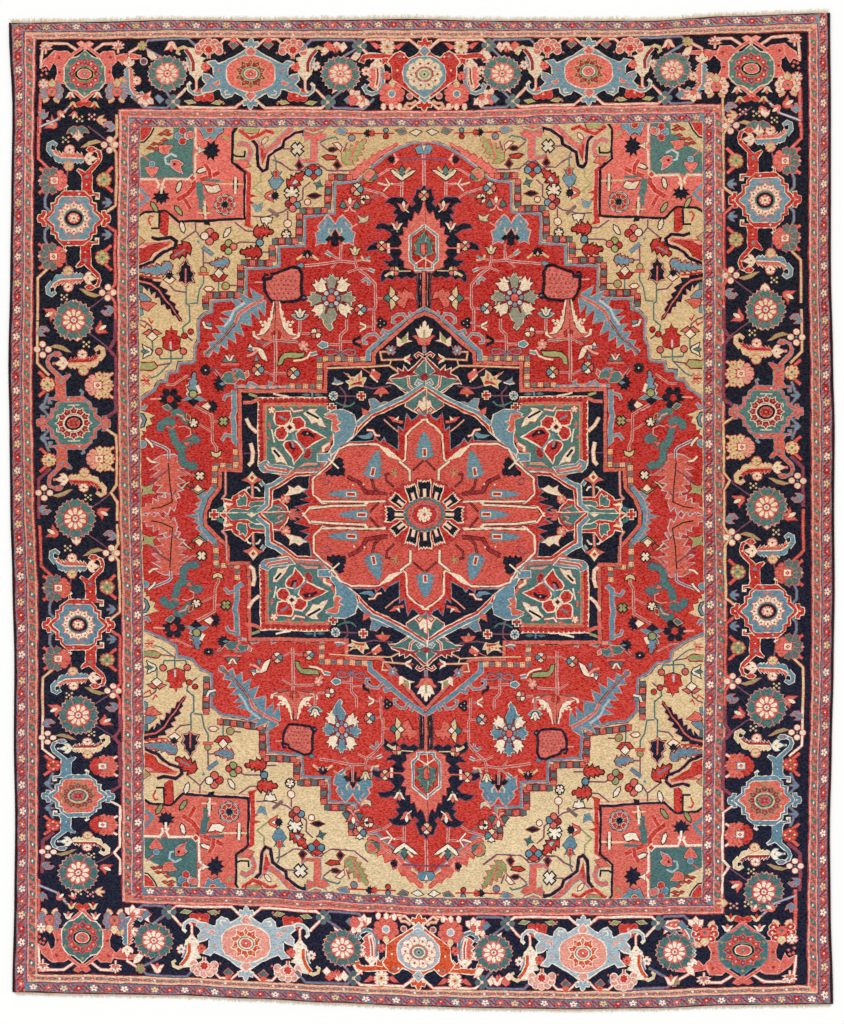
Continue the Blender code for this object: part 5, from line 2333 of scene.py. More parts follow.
    def bell(self, spot: Chart) -> None:
        """Lays the flared coral bell with its toothed ivory edge.

        Args:
            spot: its place.
        """
        for side in spot.sides():
            teeth = path(
                -1, 39, 3.4, 38, 5.4, 28, 6.4, 28, 6.4, 22, 8.6, 22, 8.8, 17, 11.4, 16.6, 12, 11.6, 15.4, 11
            )
            side.fill(IVORY, teeth + path(16.6, 6, 21, 5, 23.6, 9, 19.6, 2.4, 10, 0, -1, 0))
            side.line(IVORY, path(12, 2, 18, 1.6, 22, 4, 22.6, 8.6), 2.6, MADDER)
            side.fill(
                CORAL,
                path(-1, 39, 1.4, 38, 3, 26, 4.6, 17, 7, 10, 12, 4.6, 20, 3.6, 14, 0.6, 8, -1.6, -1, -1.6),
            )
            side.line(TEAL, path(7, -3, 14, -3.6, 20, -1.6), 1.2)
            side.fill(RED, path(2.2, 8, 4.6, 6, 3, 0, 1.6, 0))
            side.dots(IVORY, [(13.6, 14.6), (15.6, 17.6), (11.6, 17.4)], 1.9)
            side.dots(NAVY, [(13.6, 16.6)], 1.0)

    def tip_stems(self, place: Chart) -> None:
        """Lays the stems beside the pendant's tip.

        Args:
            place: the quarter's place.
        """
        twin_stem(place, path(60, 323, 50, 320, 42, 318, 35, 313), 2.2)
        place.line(TEAL, path(54, 313, 44, 318), 1.3)
        twin_stem(place, path(46, 335, 36, 342, 29, 342), 2.0)
        twin_stem(place, path(22, 330, 22, 315), 3.0)
        twin_stem(place, path(22, 327, 33, 327.6), 2.0)

    def stems(self, place: Chart) -> None:
        """Lays the stems that join the flowers.

        Args:
            place: the quarter's place.
        """
        stems = (
            (2.8, path(82, 267, 82, 250, 118, 246)),
            (2.8, path(82, 250, 68, 249, 66, 243, 56, 236, 48, 227, 48, 204, 50, 202, 50, 180)),
            (2.2, path(82, 251, 91, 256)),
            (2.0, path(86, 249, 92, 243)),
            (2.0, path(66, 243, 58, 243, 52, 241)),
            (2.2, path(66, 243, 76, 238.6)),
            (2.2, path(68, 249, 68, 258)),
            (1.8, path(66, 250.6, 60, 252)),
            (1.8, path(48, 213, 40, 213)),
            (2.0, path(50, 202, 58, 202)),
            (1.8, path(50, 188, 43, 188)),
            (1.8, path(50, 184.6, 58, 184.6)),
            (3.0, path(77, 192, 77, 182, 83, 176, 83, 160)),
            (2.0, path(83, 170, 71, 170)),
            (2.6, path(83, 166.6, 95, 166.6)),
            (3.4, path(147.6, 176, 147.6, 129)),
            (2.6, path(147.6, 171, 127, 170, 122, 167)),
            (2.2, path(147.6, 138, 134, 138)),
            (2.0, path(147.6, 172, 160, 165)),
            (2.0, path(147.6, 134.6, 161, 142)),
            (3.0, path(123, 194, 123, 179)),
            (2.4, path(121, 178, 112, 178)),
        )
        for width, points in stems:
            twin_stem(place, points, width)
        place.line(ROSE, path(66, 288, 74, 283), 1.4)

    def tip_sprays(self, place: Chart) -> None:
        """Lays the small flowers beside the pendant's tip.

        Args:
            place: the quarter's place.
        """
        place.edged(
            IVORY, BROWN,
            path(33, 341, 30, 336.6, 22, 331, 13, 337, 8, 341, 12, 341, 20, 336.6, 24, 336.6, 31, 342), 0.5,
        )
        place.edged(TEAL, BROWN, path(22, 336, 18.6, 340, 22, 346, 25.4, 340), 0.4)
        place.line(GREEN, path(28, 342.6, 25, 338), 2.0)
        place.line(GOLD, path(14, 344, 19, 338.6), 2.4)
        carnation(place.at(36, 352, 90, 0.62), NAVY)
        place.line(ROSE, path(25, 352, 29, 352), 1.8)
        place.line(ROSE, path(26, 352, 30, 358), 1.3)
        place.line(ROSE, path(26, 352, 30, 346.6), 1.3)
        place.edged(CORAL, GREEN, [(x + 54, y + 336) for x, y in petalled(6, 5.4, 4.4, 0.5)], 1.3)
        place.fill(TEAL, path(54, 331, 47, 332, 47, 339, 49.6, 336))
        place.line(IVORY, path(46, 328.6, 38, 326.4, 31, 328), 1.8, MADDER)
        place.line(IVORY, path(38, 333, 34, 327, 40, 320), 1.4, MADDER)
        four_petals(place.at(66.6, 322.4, 0, 1.0), IVORY, CORAL, GOLD, SKY)
        four_petals(place.at(58, 312, 45, 0.8), IVORY, IVORY, IVORY, RED)
        place.dots(NAVY, [(59.6, 312.4)], 2.2)
        for wing in (79.4, 67):
            place.edged(TEAL, BROWN, path(wing - 4, 305, wing, 311, wing + 4, 305, wing, 303.6), 0.4)
        tulip(place.at(73.2, 304, 0, 0.9), CORAL, IVORY, MADDER)
        place.line(ROSE, path(79, 300, 75, 301.6, 73.2, 306, 71.4, 301.6, 67, 300), 1.6, MADDER)
        place.line(MADDER, path(66, 302, 62, 306), 1.2)
        bird = path(66, 297, 63, 291, 65, 289, 60, 289.6, 56, 291, 55, 296.6, 58.6, 293.6, 61.6, 294)
        place.edged(GOLD, SKY, bird, 0.5)

    def sprays(self, place: Chart) -> None:
        """Lays the small flowers around the pendant and the star flower.

        Args:
            place: the quarter's place.
        """
        place.line(SKY, path(96.6, 260, 91, 256), 2.6, IVORY)
        place.line(SKY, path(55, 242.6, 49, 240), 2.0, IVORY)
        tulip(place.at(68, 256, 0, 0.8), GOLD, IVORY, BROWN)
        place.line(GOLD, path(62, 256, 60, 252, 53, 250.6), 2.2)
        place.line(SKY, path(59, 252, 53, 255), 2.0)
        place.line(GOLD, path(126, 252, 120, 256, 115, 254.6, 110, 256, 104, 252), 2.4, RED)
        carnation(place.at(115, 253, 0, 0.8), NAVY, ROSE)
        place.line(SKY, path(62, 230, 58, 233, 54, 230, 55, 226), 2.0, ROSE)
        big = path(
            27, 213, 25, 221, 21, 217.6, 19, 222.6, 15.4, 219.6, 11, 218.6, 9, 212, 15, 213.6, 18, 209,
            20, 203.6, 25, 205.6,
        )
        place.edged(CORAL, RED, big, 0.6)
        place.edged(GOLD, BROWN, path(33, 225, 28.6, 220, 29.6, 214, 34.6, 214), 0.5)
        place.edged(GOLD, BROWN, path(33, 201, 28.6, 206, 29.6, 212, 34.6, 212), 0.5)
        place.edged(TEAL, BROWN, path(40, 213, 35.6, 217, 33.6, 213, 35.6, 209), 0.4)
        place.edged(IVORY, BROWN, path(31.6, 213, 28.6, 216, 24.6, 213, 28.6, 210), 0.4)
        four_petals(place.at(63, 202, 0, 0.9), IVORY, CORAL, IVORY, SKY)
        for x, y in ((43.4, 190.6), (43.4, 185.4), (39.6, 188)):
            place.edged(NAVY, BROWN, [(x + u, y + v) for u, v in petalled(6, 2.6, 2.3, 0.5)], 0.3)
            place.dots(IVORY, [(x, y)], 0.7)
        tulip(place.at(57, 184.6, -90, 0.75), IVORY, CORAL)
        tulip(place.at(71, 170, 90, 0.9), NAVY, CORAL)
        place.edged(SKY, IVORY, path(105, 166, 101, 169.6, 95.6, 168, 95.6, 164.6, 101, 163), 0.8)
        for side in place.at(83, 0).sides():
            scroll = path(
                1, 155, 4, 158.6, 8, 156.6, 12, 156.4, 14.6, 158.6, 14, 161.4, 7, 161.6, 3, 160, 1, 157.6
            )
            side.edged(RED, SKY, scroll, 0.9)
        four_petals(place.at(107, 178, 45, 0.85), CORAL, IVORY, CORAL, IVORY)
        place.edged(
            SKY, IVORY,
            path(131, 196.6, 127, 197.6, 123, 194, 119, 197.6, 115, 196.6, 120, 192.6, 126, 192.6), 0.5,
        )
        tulip(place.at(123, 194, 0, 0.8), IVORY, IVORY, NAVY)
        SmallFlower(ROSE, CORAL, IVORY, 5, 4.6).draw(place.at(119.6, 166))
        four_petals(place.at(129.6, 138, 0, 0.95), GOLD, CORAL, IVORY, SKY)
        four_petals(place.at(165, 142, 0, 0.95), GOLD, CORAL, IVORY, SKY)
        leaf = path(
            145, 146, 141, 147, 139.6, 152, 136, 154, 130, 153.6, 120, 155, 118.6, 159, 124, 158.6, 132, 159,
            139, 158, 143.6, 153,
        )
        place.edged(GREEN, BROWN, leaf, 0.5)
        place.line(IVORY, path(130, 150.6, 122, 151.6, 116, 154, 112, 160), 1.8, RED)
        place.line(SKY, path(113, 157, 106, 158.6), 2.6, IVORY)
        place.line(ROSE, path(116, 160, 119, 163, 114, 162), 1.8)

    def long_leaf(self, place: Chart) -> None:
        """Lays the long blue leaf, deeply cut.

        Args:
            place: the quarter's place.
        """
        spine = path(158, 213, 172, 206, 183, 198, 187, 189, 193, 181, 202, 170, 217, 156)
        feather(place, SKY, spine, 34, 9, ROSE, CORAL, 0.22)
        place.line(PALE, [(x + 5, y + 3.4) for x, y in spine[1:5]], 2.4)
        place.line(CORAL, spine[:4], 2.2, ROSE)

    def side_leaves(self, place: Chart) -> None:
        """Lays the flowers towards the side of the field.

        Args:
            place: the quarter's place.
        """
        hand = path(
            172.6, 168, 170, 164.6, 163.6, 164, 160, 162, 156.6, 154, 155.6, 150, 161, 153, 164.6, 159.6,
            170, 161,
        )
        place.edged(IVORY, MADDER, hand + path(174.6, 163), 0.5)
        place.line(ROSE, path(176, 156, 171, 157, 165, 161.6), 2.4, MADDER)
        place.edged(SKY, MADDER, path(168.6, 150.6, 164.6, 151.4, 166.6, 157), 0.4)
        place.edged(SKY, MADDER, path(177, 163, 171, 160.6, 171, 163.6), 0.4)
        place.edged(TEAL, MADDER, path(200, 150, 197, 153.6, 193, 152, 189, 153.6, 186, 150, 193, 148.6), 0.5)
        place.line(CORAL, path(202, 147, 184, 147), 2.2)
        tulip(place.at(193, 150, 0, 0.65), IVORY, CORAL, MADDER)
        SmallFlower(NAVY, BROWN, IVORY, 5, 4.2).draw(place.at(217, 141.6))
        place.line(PLUM, path(213, 142, 203, 143), 1.4)
        place.line(PLUM, path(208, 141, 200, 131), 1.6, ROSE)
        carnation(place.at(196, 127.6, -90, 1.1), NAVY, SKY)
        dragon = path(
            201, 133, 198, 138, 192, 139, 189, 135.6, 184.6, 141, 178, 137.6, 177, 131.6, 183.6, 133,
            188, 127.6, 196, 128.6,
        )
        place.edged(TEAL, ROSE, dragon, 0.8)
        place.line(CORAL, path(190, 143, 188.6, 134, 186, 129), 2.2)
        place.line(SKY, path(191, 141, 184, 142, 180, 139.6), 2.0)
        place.edged(CORAL, IVORY, path(178, 138.6, 174.6, 141, 173.6, 136, 177, 132.6), 0.5)
        scroll = path(
            188, 124.6, 176, 124.6, 173, 128.6, 168, 127, 165, 124.6, 153, 124.6, 153, 128.6, 150, 127
        )
        place.line(SKY, scroll, 2.2, ROSE)
        feather(place, SKY, path(230, 112, 230.6, 124, 228, 139), 11, 4, IVORY, MADDER)
        twin_stem(place, path(256, 126.6, 248, 126.6, 240, 132, 234, 136), 2.2)
        place.line(IVORY, path(219, 190, 217, 184.6, 210.6, 183), 2.2, NAVY)
        place.fill(SKY, path(217, 189, 210, 188.6, 212, 184.6))

    def side_flowers(self, place: Chart) -> None:
        """Lays the coral leaf, the teal scroll leaf and the flowers at the side of the field.

        Args:
            place: the quarter's place.
        """
        feather(place, CORAL, path(255, 56, 254, 34, 252, 4), 36, 7, PALE)
        feather(place, CORAL, path(248, 12, 262, 5, 284, -1), 21, 5, PALE)
        lines = (
            (BROWN, 1.3, path(254.6, 48, 253, 26, 251, 9, 262, 4, 272, 2.6)),
            (PLUM, 1.5, path(275, 27, 262, 36, 254, 41)),
            (PLUM, 1.2, path(247, 20, 252, 14)),
            (PALE, 3.0, path(254, 52, 254, 60, 257, 63, 272, 70)),
            (PLUM, 1.2, path(254, 50, 254, 60, 257, 63, 272, 70)),
        )
        for wool, width, points in lines:
            place.line(wool, points, width)
        for points in (
            path(262, 80, 261, 87, 254, 91, 247, 87), path(251, 99, 244, 99, 238, 93, 233, 88),
            path(251, 84, 248, 70, 243, 63),
            path(247, 66, 237, 66, 229, 74, 223, 69), path(242, 63, 241, 52, 238, 47, 230, 44, 226.6, 48),
        ):
            place.line(PLUM, points, 8.4)
        for points in (
            path(262, 81, 261, 87, 254, 91, 247, 87), path(251, 99, 244, 99, 238, 93, 234, 88),
            path(251, 84, 248, 70, 243, 63),
            path(247, 66, 237, 66, 229, 73, 224, 69), path(242, 63, 241, 52, 238, 47, 230.6, 44.6, 227.4, 48),
        ):
            place.line(TEAL, points, 6.6)
        place.line(CORAL, path(256, 85, 250, 83, 245, 86), 1.8)
        place.line(ROSE, path(246, 97, 240, 95, 237, 90), 1.5)
        place.fill(CORAL, path(240, 68, 235, 64, 232, 70, 237, 69))
        place.line(MADDER, path(243.6, 84, 238, 85, 232, 82, 231.6, 76, 236, 74), 3.4)
        place.line(ROSE, path(243.6, 84, 238, 85, 232, 82, 231.6, 76, 236, 74), 1.3)
        for k in range(6):
            x, y = polar(7.2, math.tau * (k + 0.5) / 6)
            place.at(252 + x, 112.4 + y, -60 * (k + 0.5)).edged(
                NAVY, BROWN, path(-2.6, -3, 2.6, -3, 2.8, 2.4, 0, 3.8, -2.8, 2.4), 0.4
            )
        place.dots(RED, [(252, 112.4)], 2.0)
        place.line(ROSE, path(261, 113, 272, 112), 1.8)
        place.edged(TEAL, ROSE, path(260, 105, 255, 107, 251, 103, 254, 100.6, 258, 103), 0.6)
        feather(place, SKY, path(229, 118, 229, 128, 228, 139), 10, 3, MADDER)
        place.line(IVORY, path(225, 126, 222, 118), 3.2)
        place.edged(SKY, ROSE, path(241, 111, 234, 114, 229, 112, 223, 115, 216, 111, 229, 109.6), 0.5)
        place.edged(GREEN, BROWN, petal_at(229, 117, 3.6), 0.5)
        place.fill(NAVY, path(235, 110, 229, 112, 224, 110, 229, 105))
        carnation(place.at(216, 105, 90, 0.95), NAVY)
        place.edged(IVORY, RED, path(221, 105, 215, 109, 212, 105, 215, 101.6), 0.5)
        twin_stem(place, path(228, 105, 220, 101, 211, 96, 210, 70, 206.6, 64, 206.6, 59), 2.8)
        twin_stem(place, path(211, 80, 224, 87), 2.0)
        twin_stem(place, path(210, 90, 204, 90), 1.8)
        SmallFlower(GREEN, BROWN, RED, 4, 4.6).draw(place.at(199.4, 90, 45))
        SmallFlower(IVORY, BROWN, GOLD, 5, 4.2).draw(place.at(229, 88))
        place.edged(MADDER, GOLD, path(236, 97, 232.6, 95, 232, 90, 236, 92), 0.5)
        place.line(CORAL, path(212, 52.6, 206.6, 54.6, 201, 52.6), 1.6)
        place.edged(GOLD, BROWN, path(212, 60, 207, 57.6, 202, 60, 203, 55.6, 207, 53.6, 211, 55.6), 0.5)
        place.edged(
            GREEN, ROSE, path(283, 26, 277, 24, 270, 27, 272, 21, 267, 17, 274, 18.6, 281, 16, 279, 21), 0.5
        )
        twin_stem(place, path(240, 41, 232, 36, 227, 36), 1.8)
        SmallFlower(IVORY, BROWN, GOLD, 4, 4.4).draw(place.at(223, 35.6, 45))
        place.line(GOLD, path(241, 23, 237, 27, 233, 29), 1.8, BROWN)
        place.edged(RED, BROWN, path(236, 26, 231, 29, 229.6, 25, 233, 24), 0.4)
        place.edged(GREEN, BROWN, path(232, 22, 225, 24, 218, 22, 225, 17), 0.5)
        place.edged(IVORY, CORAL, path(229, 22, 225, 26.6, 221, 22, 225, 19.6), 0.5)
        place.line(IVORY, path(267, 49, 272, 50, 276, 54), 2.0, MADDER)
        place.edged(SKY, ROSE, petal_at(280, 67, 3.8), 0.6)
        place.line(IVORY, path(277, 73, 272, 68, 270, 64), 2.2, BROWN)
        palmette = path(
            285, 102, 276, 99, 266, 95.6, 272, 92.6, 269.6, 87, 275.6, 85, 275.6, 80, 280, 81, 278.6, 76,
            285, 73,
        )
        place.edged(GOLD, BROWN, palmette, 0.5)
        place.edged(SKY, NAVY, path(285, 97.6, 279, 97, 276, 92, 278, 85, 285, 82), 0.5)
        place.edged(IVORY, CORAL, path(285, 95, 281, 94, 279.6, 90, 281.6, 86, 285, 85), 0.6)
        place.line(SKY, path(282, 111, 283, 104, 278, 102.6, 275.6, 106.6), 2.4, ROSE)


@dataclass(frozen=True)
class GoldCorner:
    """The gold ground in a corner of the field, with its coral bracket, teal panel and flowers."""

    def draw(self, place: Chart) -> None:
        """Lays one corner, drawn for the upper left.

        Args:
            place: the corner's place.
        """
        self.bracket(place)
        self.panel(place)
        self.bracket_flowers(place)
        self.arms(place)
        self.vines(place)
        self.flowers(place)
        self.lower_flowers(place)

    def bracket(self, place: Chart) -> None:
        """Lays the coral ground behind the panel with its navy line.

        Args:
            place: the corner's place.
        """
        line = path(
            185, 386, 190, 379, 190, 350, 178, 340, 177.6, 293, 243, 290, 255, 300.6, 263, 300.6, 277, 299.6,
            286, 293,
        )
        place.line(RED, path(184, 345, 174, 338, 173.6, 286), 4.0, ROSE)
        place.fill(RED, path(176, 320, 165, 316, 174, 314, 168, 309, 174, 308, 178, 286, 167, 283, 174, 290))
        place.line(ROSE, path(178, 289.6, 244, 286.6, 256, 297), 1.6)
        place.fill(CORAL, line + path(286, 386))
        place.line(NAVY, line, 2.6)
        place.line(CORAL, path(186, 367, 180, 369, 174, 366, 171.6, 360, 174, 353, 182, 348), 3.4, SKY)
        place.line(NAVY, path(191, 358, 186, 355.6, 178, 355.6, 177.4, 361.6), 1.9)
        place.fill(CORAL, path(189, 352, 176, 352, 172, 346, 180, 344))
        place.line(NAVY, path(262, 300, 262, 283.6, 270, 283.6), 2.0)
        place.fill(RED, path(261, 299, 261, 280, 256, 276, 253, 277, 253, 298, 257, 300))
        place.dots(NAVY, [(260, 290), (260, 286)], 1.1)
        place.line(RED, path(270, 286, 273, 292, 271, 296, 268, 295), 1.8)
        place.fill(NAVY, path(218, 292, 213, 292, 212, 287, 217, 288))

    def panel(self, place: Chart) -> None:
        """Lays the teal panel with its ivory line, and the round piece in the extreme corner.

        Args:
            place: the corner's place.
        """
        teal = path(
            249, 386, 229, 386, 229, 332.6, 286, 332.6, 286, 352, 276, 357, 268, 360.6, 264, 366, 257, 372,
            249.6, 374,
        )
        place.fill(GOLD, path(286, 386, 240, 386, 240, 340, 286, 340))
        place.fill(TEAL, teal)
        for x, y in (
            (256, 381), (254, 377.6), (258, 372), (262, 368), (266, 363), (272, 364), (268, 368), (261, 378)
        ):
            place.fill(RED, path(x - 4, y + 0.4, x, y + 1.8, x + 3, y - 0.4, x, y - 1.4))
        for wool, width in ((CORAL, 3.6), (IVORY, 2.2)):
            place.line(wool, path(227, 386, 227, 366, 222, 360.6, 227, 357, 227, 334), width)
            place.line(wool, path(286, 331, 283, 332.6, 266, 332.6, 262.6, 327, 264, 323.6), width)
            place.line(wool, path(233, 332.6, 257, 332.6, 259.6, 327, 257, 323.6), width)
        place.edged(RED, IVORY, path(286, 386, 269, 386, 273, 377.6, 278, 371.6, 286, 370.6), 1.2)
        place.line(NAVY, path(267.6, 386, 271.6, 377, 277.6, 370, 286, 368.6), 1.7)
        place.line(CORAL, path(280, 357.6, 270, 349), 1.4)
        flower = place.at(236, 376)
        for x, y, wool in ((8, 0, SKY), (4, 5, RED), (4, -5.6, RED), (-1, 0, ROSE), (-4, 1, CORAL)):
            flower.edged(wool, PALE, petal_at(x, y, 3.6), 0.5)
        place.edged(
            CORAL, GOLD, path(263, 366, 256, 367, 249, 366, 253, 362, 253, 358, 258, 358, 262, 360), 0.3
        )
        place.line(PALE, path(245, 355, 251, 358, 257, 354, 256, 348, 251, 347), 2.0)
        maple = path(251, 351, 247, 352, 243, 351, 239, 348, 242, 345, 239.6, 338, 246, 341, 251, 345)
        place.edged(CORAL, PALE, maple, 0.6)
        place.dots(NAVY, [(247.6, 347.6)], 1.7)
        place.edged(CORAL, ROSE, path(277, 344, 270, 346, 263.6, 344, 266, 339, 270, 334.6, 274, 339), 0.4)
        place.edged(SKY, PALE, petal_at(270, 348, 2.8), 0.5)

    def bracket_flowers(self, place: Chart) -> None:
        """Lays the flowers, the red and teal leaf animals and the small leaves on the coral ground.

        Args:
            place: the corner's place.
        """
        place.edged(
            SKY, ROSE, path(224, 386, 220, 378, 218, 373, 213, 376, 208, 373, 205, 378, 200, 380, 200, 386),
            0.6,
        )
        place.edged(RED, GOLD, petal_at(213, 383, 3.4), 0.7)
        carnation(place.at(219, 361.6, 90, 1.35), NAVY)
        place.fill(IVORY, path(224, 366, 221, 363.6, 217, 362.4, 221, 360.6, 224, 358.6))
        carnation(place.at(260, 321.6, 180, 1.15), NAVY)
        place.line(IVORY, path(260, 325, 260, 318), 2.4)
        place.line(GREEN, path(199.6, 376, 193.6, 372), 2.4)
        for x, y, turn, wool in (
            (220, 342, 70, IVORY), (243, 325, 16, IVORY), (187, 328, 0, IVORY), (217, 302, 0, GOLD),
            (267, 305, -30, GREEN), (243, 301, -36, GREEN),
        ):
            place.at(x, y, turn).edged(wool, BROWN, mirrored(path(0, 5.6, 1.8, 3, 1.8, -3, 0, -5.6)), 0.5)
        place.line(GOLD, path(206, 328, 179, 328), 1.8)
        place.line(IVORY, path(187, 335, 187, 318), 2.6, BROWN)
        place.line(IVORY, path(217, 311, 216, 293), 2.0)
        place.line(GOLD, path(224, 299, 210, 299), 1.4)
        for points, width in (
            (path(229, 332, 228, 326, 234, 318, 244, 311.6), 4.4), (path(237, 313, 231, 303), 3.6),
            (path(222, 332, 213, 335, 203, 339.6), 4.4), (path(212, 334, 213, 342, 217, 348), 3.6),
        ):
            place.line(RED, points, width, ROSE)
        for points, width in (
            (path(223, 330, 222, 318, 219, 312), 6.6), (path(221, 316, 221, 303), 4.0),
            (path(217, 332, 202, 331), 2.6),
        ):
            place.line(TEAL, points, width)
        place.dots(IVORY, [(230, 334)], 4.2)
        place.dots(RED, [(230, 334)], 3.0)
        bird = path(218, 327, 210, 325.6, 204.6, 327, 201.6, 321.6, 207, 319, 214, 319.6)
        place.edged(IVORY, MADDER, bird, 0.4)
        place.fill(MADDER, path(217, 328, 211, 327.6, 210, 324.6))
        place.fill(PALE, petalled_at(197, 307, 8, 10.4, 9.4))
        for k in range(8):
            place.at(197, 307, 45 * k).edged(RED, IVORY, path(-1.8, 4.4, 1.8, 4.4, 2.8, 8.2, -2.8, 8.2), 0.4)
        place.fill(IVORY, petalled_at(197, 307, 8, 3.6, 3.2))
        place.fill(NAVY, petalled_at(197, 307, 8, 2.8, 2.6))
        place.line(SKY, path(286, 326, 278, 320, 273, 313, 279, 309, 285, 303), 3.2, CORAL)

    def arms(self, place: Chart) -> None:
        """Lays the navy and red arms that reach out of the corner.

        Args:
            place: the corner's place.
        """
        arm = path(
            171, 373, 165.6, 367, 164.4, 346, 160.6, 341, 156, 343, 154, 356, 147, 361, 140, 365, 139, 371,
            128, 379,
        )
        place.line(
            CORAL, path(168, 371, 160.6, 364, 160.6, 349, 157.6, 361, 148, 367, 142, 374, 131, 384), 4.6, SKY
        )
        place.line(RED, path(160.6, 364, 160.6, 347, 157.6, 359), 3.2)
        place.line(NAVY, arm + path(120, 381, 119.6, 376), 3.2, ROSE)
        place.line(RED, path(184, 382, 173, 374, 164, 377, 157, 382, 149, 379), 3.2, ROSE)
        place.edged(GREEN, CORAL, path(181, 386, 178, 380, 166, 379.6, 163, 386), 1.0)
        place.at(158, 372, 40).edged(IVORY, CORAL, mirrored(path(0, 4, 1.6, 2, 1.6, -2, 0, -4)), 0.5)
        column = path(
            119.6, 377, 118.6, 371, 112.4, 374, 112.4, 353.6, 120, 352.6, 124.6, 356, 124.6, 351, 116, 349.6
        )
        column += path(105.6, 350, 105.6, 372, 101, 371, 96.6, 377, 101, 379, 96, 386, 119, 386)
        place.edged(CORAL, SKY, column, 0.5)
        place.line(GOLD, path(118, 382, 110, 379, 100, 382.6), 1.8, TEAL)
        lower = path(
            269, 274.6, 262, 272.6, 250, 274.6, 244.4, 270, 246, 264, 257, 260, 263, 256, 268, 250,
            281, 244.6, 284, 238, 284.6, 230,
        )
        place.fill(CORAL, path(286, 268, 262, 269.6, 250, 271, 247.6, 268, 257, 264, 268, 258, 286, 252))
        place.fill(RED, path(286, 262, 262, 268, 252, 268, 268, 259, 272, 252, 286, 246))
        place.fill(ROSE, path(286, 270, 272, 266, 278, 263, 286, 264))
        place.line(NAVY, lower, 3.2, ROSE)
        place.edged(GREEN, CORAL, path(286, 278, 277, 270.6, 286, 263), 1.0)
        spine = path(285, 231, 270, 228, 262, 222, 256, 212, 250, 205, 246, 198, 240, 190)
        feather(place, NAVY, spine, 17, 8, ROSE, CORAL)

    def vines(self, place: Chart) -> None:
        """Lays the thin stems of the gold ground.

        Args:
            place: the corner's place.
        """
        vines = (
            (
                PLUM,
                path(
                    150, 352, 141, 348, 133, 342, 120, 342, 113, 348, 105, 348, 96, 341, 72, 341, 66, 345,
                    58, 351,
                ),
            ),
            (TEAL, path(149, 357, 147, 352, 147, 339)),
            (PLUM, path(140, 363, 131, 363)),
            (TEAL, path(104, 369, 97, 373, 88, 374.6, 85.6, 372)),
            (PLUM, path(103, 368, 96, 362, 92, 361.6)),
            (PLUM, path(80, 360, 76.6, 369)),
            (RED, path(80, 378.6, 30, 378)),
            (GREEN, path(162, 340, 162, 331, 169, 325, 157, 315)),
            (PLUM, path(170, 296, 157, 295, 147, 298, 140, 299.6, 120, 313, 120, 324, 113, 330)),
            (PLUM, path(187, 289, 176, 281, 168, 280.6)),
            (PLUM, path(165, 269.6, 182, 269.6, 190, 265)),
            (PLUM, path(161, 260, 150, 260)),
            (PLUM, path(226, 289, 226, 281, 240, 270)),
            (PLUM, path(226, 281, 220, 273)),
            (PLUM, path(218, 265, 218, 244)),
            (PLUM, path(218, 249, 209, 249)),
            (TEAL, path(235, 227, 235, 208, 232, 206, 232, 190, 239, 184, 238, 178)),
            (TEAL, path(232, 208, 224, 208.6, 222, 222, 218, 229, 218, 240)),
            (PLUM, path(251, 226, 246, 220.6, 235, 219)),
            (PLUM, path(283, 192, 276, 190, 270, 185, 269, 180)),
            (PLUM, path(238, 178, 229, 170.6)),
            (TEAL, path(269, 173, 269, 160)),
            (TEAL, path(251, 166, 251, 149, 264, 136, 271, 133)),
            (TEAL, path(263, 157, 261.6, 152.6, 240, 152.6, 239, 158)),
            (TEAL, path(203, 232, 203, 219)),
            (PLUM, path(192, 226, 185, 226)),
            (PLUM, path(252, 148, 265, 146)),
            (PLUM, path(135, 301, 135, 282)),
        )
        for wool, points in vines:
            place.line(wool, points, 1.6)

    def flowers(self, place: Chart) -> None:
        """Lays the flowers of the upper part of the gold ground.

        Args:
            place: the corner's place.
        """
        SmallFlower(IVORY, NAVY, IVORY, 4, 6.0).draw(place.at(125.6, 363, 45))
        place.at(91, 362, 90).edged(NAVY, RED, mirrored(path(0, 4.6, 2.2, 1, 1.6, -3, 0, -4)), 0.4)
        place.edged(IVORY, RED, path(90, 368, 86, 364, 83, 361, 82, 365, 86, 369), 0.5)
        place.edged(SKY, RED, petal_at(72, 374, 2.8), 0.6)
        place.edged(SKY, ROSE, path(88, 380, 82, 384, 77, 381, 79, 377, 84, 378), 0.5)
        feather(place, GREEN, path(79, 349, 68, 361, 58, 373), 17, 5, RED)
        place.line(CORAL, path(73, 351, 70, 360, 66, 369), 2.2)
        place.edged(RED, BROWN, path(100, 355, 96, 352, 88, 352.6, 87, 355, 96, 356.6), 0.5)
        for x in (124, 86):
            place.edged(NAVY, RED, path(x - 3.6, 346, x, 351, x + 3, 346.6, x, 343), 0.7)
        for x in (114.4, 105):
            place.edged(SKY, NAVY, petal_at(x, 339.6, 3.4), 0.6)
        place.edged(RED, BROWN, path(104, 344.6, 109.6, 347, 115, 344.6, 109.6, 341), 0.4)
        place.edged(RED, BROWN, path(106, 335.6, 109.6, 338.6, 113, 335.6, 109.6, 332), 0.4)
        for turn in (0, 90):
            place.at(105, 327, turn + 20).fill(TEAL, mirrored(path(0, 5, 1.4, 2, 0.8, 0, 1.4, -2, 0, -5)))
        feather(place, RED, path(134, 325, 128, 331, 119.6, 340), 13, 4, BROWN)
        place.fill(PALE, path(131, 328, 128, 333, 125, 330, 128, 328))
        SmallFlower(IVORY, NAVY, IVORY, 6, 6.6).draw(place.at(131, 319))
        cluster = place.at(130, 307)
        for x, y, wool in ((4, 1, MADDER), (-0.6, 5, CORAL), (-4.6, 0, SKY), (0, -3.6, CORAL)):
            cluster.edged(wool, BROWN, petal_at(x, y, 3.2), 0.5)
